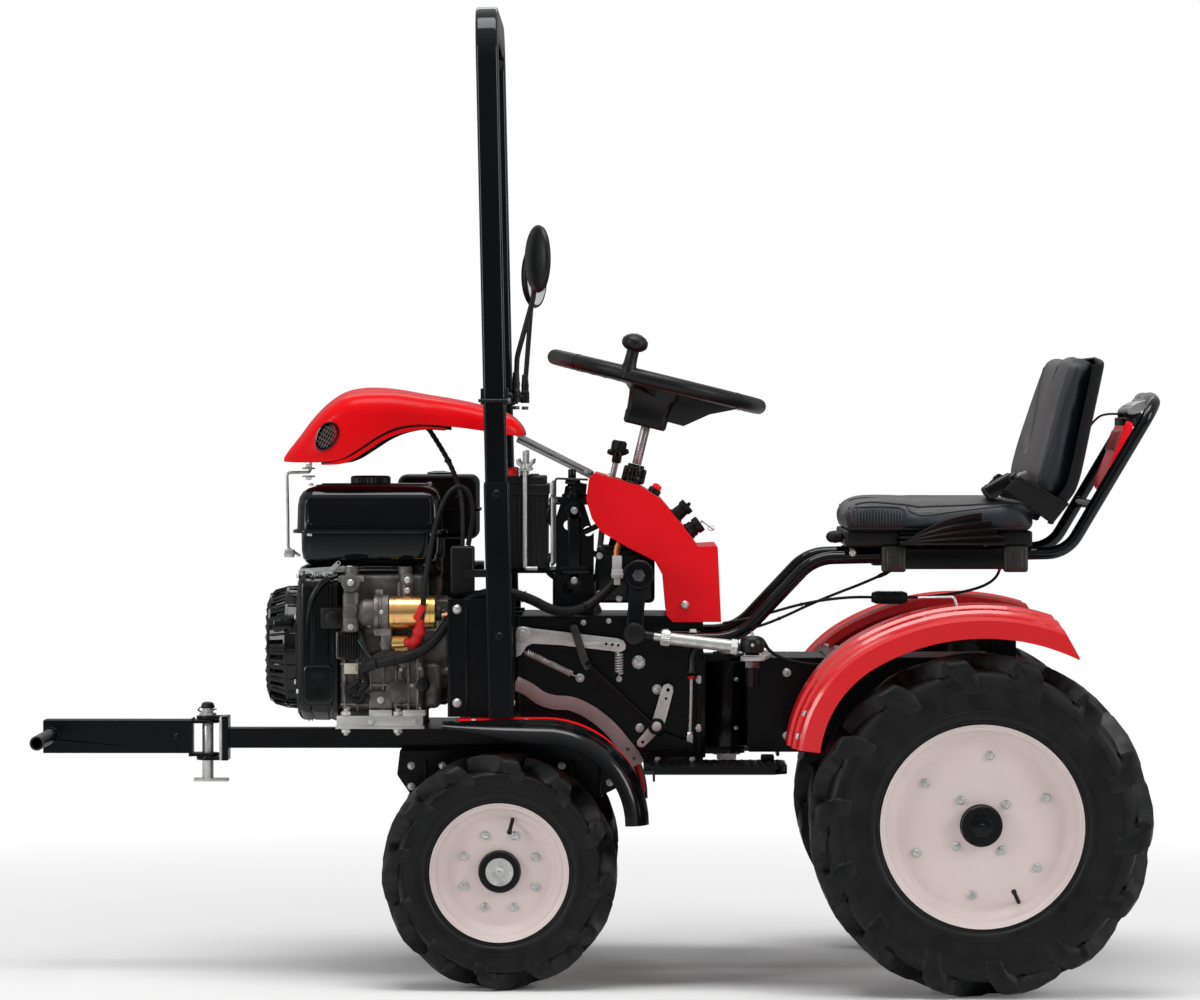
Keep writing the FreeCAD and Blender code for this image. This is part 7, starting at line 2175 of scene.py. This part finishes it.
bolts("front_bar_bolts", [((-740, -25, 413), -Y, 6), ((-740, 25, 413), Y, 6)], "front_bar", BLACK_PAINT)
places = [((-188, side * 22.2, 411), (0, side, 0), 7) for side in (-1, 1)]
places += [((-420, side * 22.2, 411), (0, side, 0), 7) for side in (-1, 1)]
bolts("drawbar_bolts", places, "front_half", ZINC)
print("rear and front bar made")
# %% [markdown]
# Every cable follows the same control points as the frame's own tube, drawn as a smooth curve. Conduit ribs, tape
# and sleeves are then threaded on along that curve.

# %% Cables
ROUTES = {}


def smooth_route(points):
    """The curve through which the frame's own tube runs, as points in millimetres."""
    curve = bpy.data.curves.new("route", "CURVE")
    curve.dimensions = "3D"
    curve.resolution_u = 12
    spline = curve.splines.new("NURBS")
    spline.points.add(len(points) - 1)
    for control, point in zip(spline.points, points):
        control.co = (*P(*point), 1.0)
    spline.order_u = 3
    spline.use_endpoint_u = True
    holder = bpy.data.objects.new("route", curve)
    bare = bpy.data.meshes.new_from_object(holder)
    route = [v.co / MM for v in bare.vertices]
    bpy.data.objects.remove(holder)
    bpy.data.curves.remove(curve)
    bpy.data.meshes.remove(bare)
    return [route[0]] + [b for a, b in zip(route, route[1:]) if (b - a).length > 0.01]


def cable(name, node, body, material, radius, points):
    route = smooth_route(points)
    obj = piece(name, pipe(route, radius, 18), body, material, smooth=60)
    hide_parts(node)
    length = sum((b - a).length for a, b in zip(route, route[1:]))
    ROUTES[name] = (obj, route, length)
    print(name, "length", round(length), "mm")
    return route


def along_route(route, start, end, step):
    """Points at even steps of length along a route, each with its direction."""
    found, run, target = [], 0.0, start
    for a, b in zip(route, route[1:]):
        length = (b - a).length
        while target <= run + length and target <= end:
            found.append((a.lerp(b, (target - run) / max(length, 1e-9)), (b - a).normalized()))
            target += step
        run += length
    return found


def sleeve(route, start, end, radius, step=1.6, ribs=0.0, ends=3.0):
    """A tube over part of a cable; ribs makes it corrugated."""
    spots = along_route(route, start, end, step)
    points = [p for p, _ in spots]
    radii = []
    for i in range(len(points)):
        edge = min(i, len(points) - 1 - i) * step
        radii.append((radius + (ribs if i % 2 else -ribs)) * (0.72 + 0.28 * min(1.0, edge / ends) if ends else 1.0))
    return pipe(points, radii, 14)


def tie(route, at, radius):
    """A cable tie: a thin band with its small head."""
    point, direction = along_route(route, at, at + 1, 2.0)[0]
    _, u, v = frame_along(direction)
    band = turned([(-1.3, radius), (-1.3, radius + 0.9), (1.3, radius + 0.9), (1.3, radius)], point, direction, 18)
    head = pipe([point + u * (radius + 0.4), point + u * (radius + 4.0)], 1.9, 6)
    return [band, head]


loom = cable("loom_conduit", "wiring_conduit", "front_half", RUBBER, 8.5,
             [(-376, -222, 552), (-330, -232, 560), (-290, -228, 578), (-262, -212, 612), (-240, -200, 645),
              (-208, -196, 668), (-165, -194, 676), (-118, -192, 664), (-72, -184, 638), (-30, -170, 640),
              (8, -150, 664), (34, -140, 692)])
total = ROUTES["loom_conduit"][2]
ribs = piece("loom_conduit_ribs", [sleeve(loom, 62, total - 70, 8.6, 2.0, 0.75, 0),
                                   sleeve(loom, 0, 66, 9.2, 3.0, 0.2, 10), sleeve(loom, total - 74, total, 7.6, 4, 0.1, 0)],
             "front_half", RUBBER, smooth=50)
ties = piece("loom_ties", [s for at in (30, 64, 150, 300, total - 76) for s in tie(loom, at, 9.6)], "front_half", RUBBER)

hood_wire = cable("hood_harness", "hood_wire", "front_half", RUBBER, 4.0,
                  [(-322, -60, 1008), (-312, -60, 984), (-296, -62, 956), (-276, -70, 926), (-258, -84, 896),
                   (-244, -102, 864), (-236, -122, 832), (-233, -138, 798), (-233, -146, 753)])
wraps = [sleeve(hood_wire, 0, 230, 4.4, 5.0, 0.35, 0)]
hood_ties = piece("hood_harness_tape", wraps + [s for at in (60, 130, 205) for s in tie(hood_wire, at, 4.8)], "front_half",
                  RUBBER, smooth=50)

starter = cable("starter_lead", "starter_cable", "front_half", RUBBER, 4.5,
                [(-300, -231, 628), (-297, -234, 670), (-292, -232, 712), (-285, -226, 752), (-277, -213, 792),
                 (-266, -200, 826), (-252, -188, 850), (-235, -177, 857), (-220, -169, 844), (-214, -163, 815),
                 (-217, -160, 784), (-223, -158, 753)])
lead_tape = piece("starter_lead_tape", [sleeve(starter, 24, 210, 4.9, 6.0, 0.3, 0)], "front_half", RUBBER,
                  smooth=50)

seat_line = cable("seat_switch_cable", "seat_cable", "front_half", RUBBER, 2.5,
                  [(218, -150, 618), (262, -150, 625), (306, -150, 638), (352, -150, 651), (402, -150, 660),
                   (452, -150, 664), (502, -150, 662), (552, -150, 663), (602, -150, 667), (648, -150, 675),
                   (682, -150, 688), (698, -150, 708), (696, -150, 730), (690, -150, 749.5)])
total = ROUTES["seat_switch_cable"][2]
grip = sleeve(seat_line, 262, 324, 11.5, 2.0, 1.0, 9)
seat_sleeve = piece("seat_cable_sleeve", [grip] + tie(seat_line, 60, 2.6) + tie(seat_line, 140, 2.6), "front_half", RUBBER,
                    smooth=50)
red_end = piece("seat_cable_red_end", [sleeve(seat_line, total - 44, total - 4, 3.0, 4.0, 0.0, 4)], "front_half",
                RED_RUBBER)

adjuster = cable("seat_adjuster_cable", "adjuster_cable", "front_half", RUBBER, 2.5,
                 [(230, -140, 600), (276, -140, 610), (322, -140, 628), (368, -140, 650), (416, -140, 670),
                  (464, -140, 688), (508, -140, 708)])
ferrules = piece("adjuster_ferrules", [sleeve(adjuster, 0, 22, 3.8, 3.0, 0.0, 4),
                                       sleeve(adjuster, ROUTES["seat_adjuster_cable"][2] - 24,
                                              ROUTES["seat_adjuster_cable"][2] - 1, 3.8, 3.0, 0.0, 4)] +
                 tie(adjuster, 90, 2.6), "front_half", RUBBER)

lamp_line = cable("tail_lamp_lead", "tail_lamp_wire", "front_half", RUBBER, 2.0,
                  [(853, -60, 947), (866, -60, 968), (886, -60, 982), (912, -60, 980)])

brake = cable("rear_brake_line", "rear_brake_cable", "rear_half", RUBBER, 3.0,
              [(285, -130, 590), (294, -128, 574), (310, -123, 561), (331, -117, 552), (358, -112, 546),
               (394, -110, 543)])
brake_ends = piece("rear_brake_ferrule", [sleeve(brake, 0, 18, 4.2, 3.0, 0.0, 4)] + tie(brake, 60, 3.1), "rear_half",
                   RUBBER)
print("cables made")
# %% [markdown]
# The tractor stands on a plain pale floor under soft studio light: a broad lamp overhead that draws the long
# highlights on hoods and tubes, a weaker one on each side, and an even pale world around it all.

# %% Floor, world and lamps
def studio_floor():
    material = bpy.data.materials.new("studio_floor")
    material.use_nodes = True
    tree = material.node_tree
    surface = tree.nodes["Principled BSDF"]
    surface.inputs["Base Color"].default_value = (0.86, 0.86, 0.86, 1)
    surface.inputs["Roughness"].default_value = 0.8
    surface.inputs["Specular IOR Level"].default_value = 0.1
    white = add_node(tree, "ShaderNodeEmission", {"Color": (1, 1, 1, 1), "Strength": 1.0})
    path = add_node(tree, "ShaderNodeLightPath")
    place = add_node(tree, "ShaderNodeTexCoord").outputs["Object"]
    away = add_node(tree, "ShaderNodeVectorMath", {0: place}, operation="LENGTH").outputs["Value"]
    far = ramp(tree, away, 0.6, 3.0)
    keep = add_node(tree, "ShaderNodeMath", {0: far, 1: path.outputs["Is Camera Ray"]}, operation="MULTIPLY")
    mix = add_node(tree, "ShaderNodeMixShader", {0: keep.outputs[0], 1: surface.outputs[0], 2: white.outputs[0]})
    tree.links.new(mix.outputs[0], tree.nodes["Material Output"].inputs["Surface"])
    bpy.ops.mesh.primitive_circle_add(vertices=96, radius=9.0, fill_type="NGON", location=(0, 0, 0))
    floor = bpy.context.object
    floor.name = "floor"
    floor.data.materials.append(material)


def studio_world():
    world = bpy.data.worlds.new("studio")
    bpy.context.scene.world = world
    world.use_nodes = True
    tree = world.node_tree
    background = tree.nodes["Background"]
    path = add_node(tree, "ShaderNodeLightPath")
    direction = add_node(tree, "ShaderNodeTexCoord").outputs["Generated"]
    rise = add_node(tree, "ShaderNodeSeparateXYZ", {0: direction}).outputs[2]
    sky = ramp(tree, rise, 0.02, 0.75)
    sky.node.inputs["To Min"].default_value = 0.12
    sky.node.inputs["To Max"].default_value = 0.7
    across = add_node(tree, "ShaderNodeMath", {0: add_node(tree, "ShaderNodeSeparateXYZ", {0: direction}).outputs[0]},
                      operation="ABSOLUTE").outputs[0]
    flank = ramp(tree, across, 0.35, 0.85)                # two bright walls, one ahead and one behind
    flank.node.inputs["To Max"].default_value = 0.75
    sky = add_node(tree, "ShaderNodeMath", {0: sky, 1: flank}, operation="MAXIMUM").outputs[0]
    gloss = add_node(tree, "ShaderNodeMath", {0: path.outputs["Is Glossy Ray"], 1: sky}, operation="MULTIPLY")
    seen = add_node(tree, "ShaderNodeMath", {0: path.outputs["Is Camera Ray"],
                                             1: path.outputs["Is Transmission Ray"]}, operation="MAXIMUM")
    seen = add_node(tree, "ShaderNodeMath", {0: seen.outputs[0], 1: gloss.outputs[0]}, operation="MAXIMUM")
    diffuse = add_node(tree, "ShaderNodeMath", {0: path.outputs["Is Diffuse Ray"], 1: WORLD_LEVEL},
                       operation="MULTIPLY")
    seen = add_node(tree, "ShaderNodeMath", {0: seen.outputs[0], 1: diffuse.outputs[0]}, operation="MAXIMUM")
    background.inputs["Color"].default_value = (1, 1, 1, 1)
    tree.links.new(seen.outputs[0], background.inputs["Strength"])


def lamp(name, size, at, towards, power):
    light = bpy.data.lights.new(name, "AREA")
    light.shape = "RECTANGLE"
    light.size, light.size_y = size
    light.energy = power
    obj = bpy.data.objects.new(name, light)
    bpy.context.scene.collection.objects.link(obj)
    obj.location = at
    obj.rotation_euler = (Vector(towards) - Vector(at)).to_track_quat("-Z", "Y").to_euler()


WORLD_LEVEL = 0.42
studio_floor()
studio_world()
lamp("overhead", (2.6, 1.4), (0.0, -0.7, 3.8), (0.0, 0.0, 0.6), 84)
lamp("left_side", (1.0, 1.8), (-3.4, -2.8, 1.9), (0.0, 0.0, 0.6), 48)
lamp("right_side", (1.0, 1.8), (3.6, -2.4, 2.0), (0.2, 0.0, 0.6), 48)
lamp("behind", (3.0, 1.0), (0.0, 3.4, 3.4), (0.0, 0.0, 0.6), 16)

# %% [markdown]
# The camera looks straight at the tractor's left side from almost nine metres with a long lens, so the wheels stay
# nearly round and only a little of the far side shows.

# %% Camera and colour
camera_data = bpy.data.cameras.new("camera")
camera_data.lens = 152.69
camera_data.sensor_width = 36.0
camera = bpy.data.objects.new("camera", camera_data)
bpy.context.scene.collection.objects.link(camera)
camera.location = P(57, -8960, 978.5)
camera.rotation_euler = Vector((-0.005894, 1.0, -0.0167)).to_track_quat("-Z", "Y").to_euler()
bpy.context.scene.camera = camera
bpy.context.scene.view_settings.view_transform = "Standard"
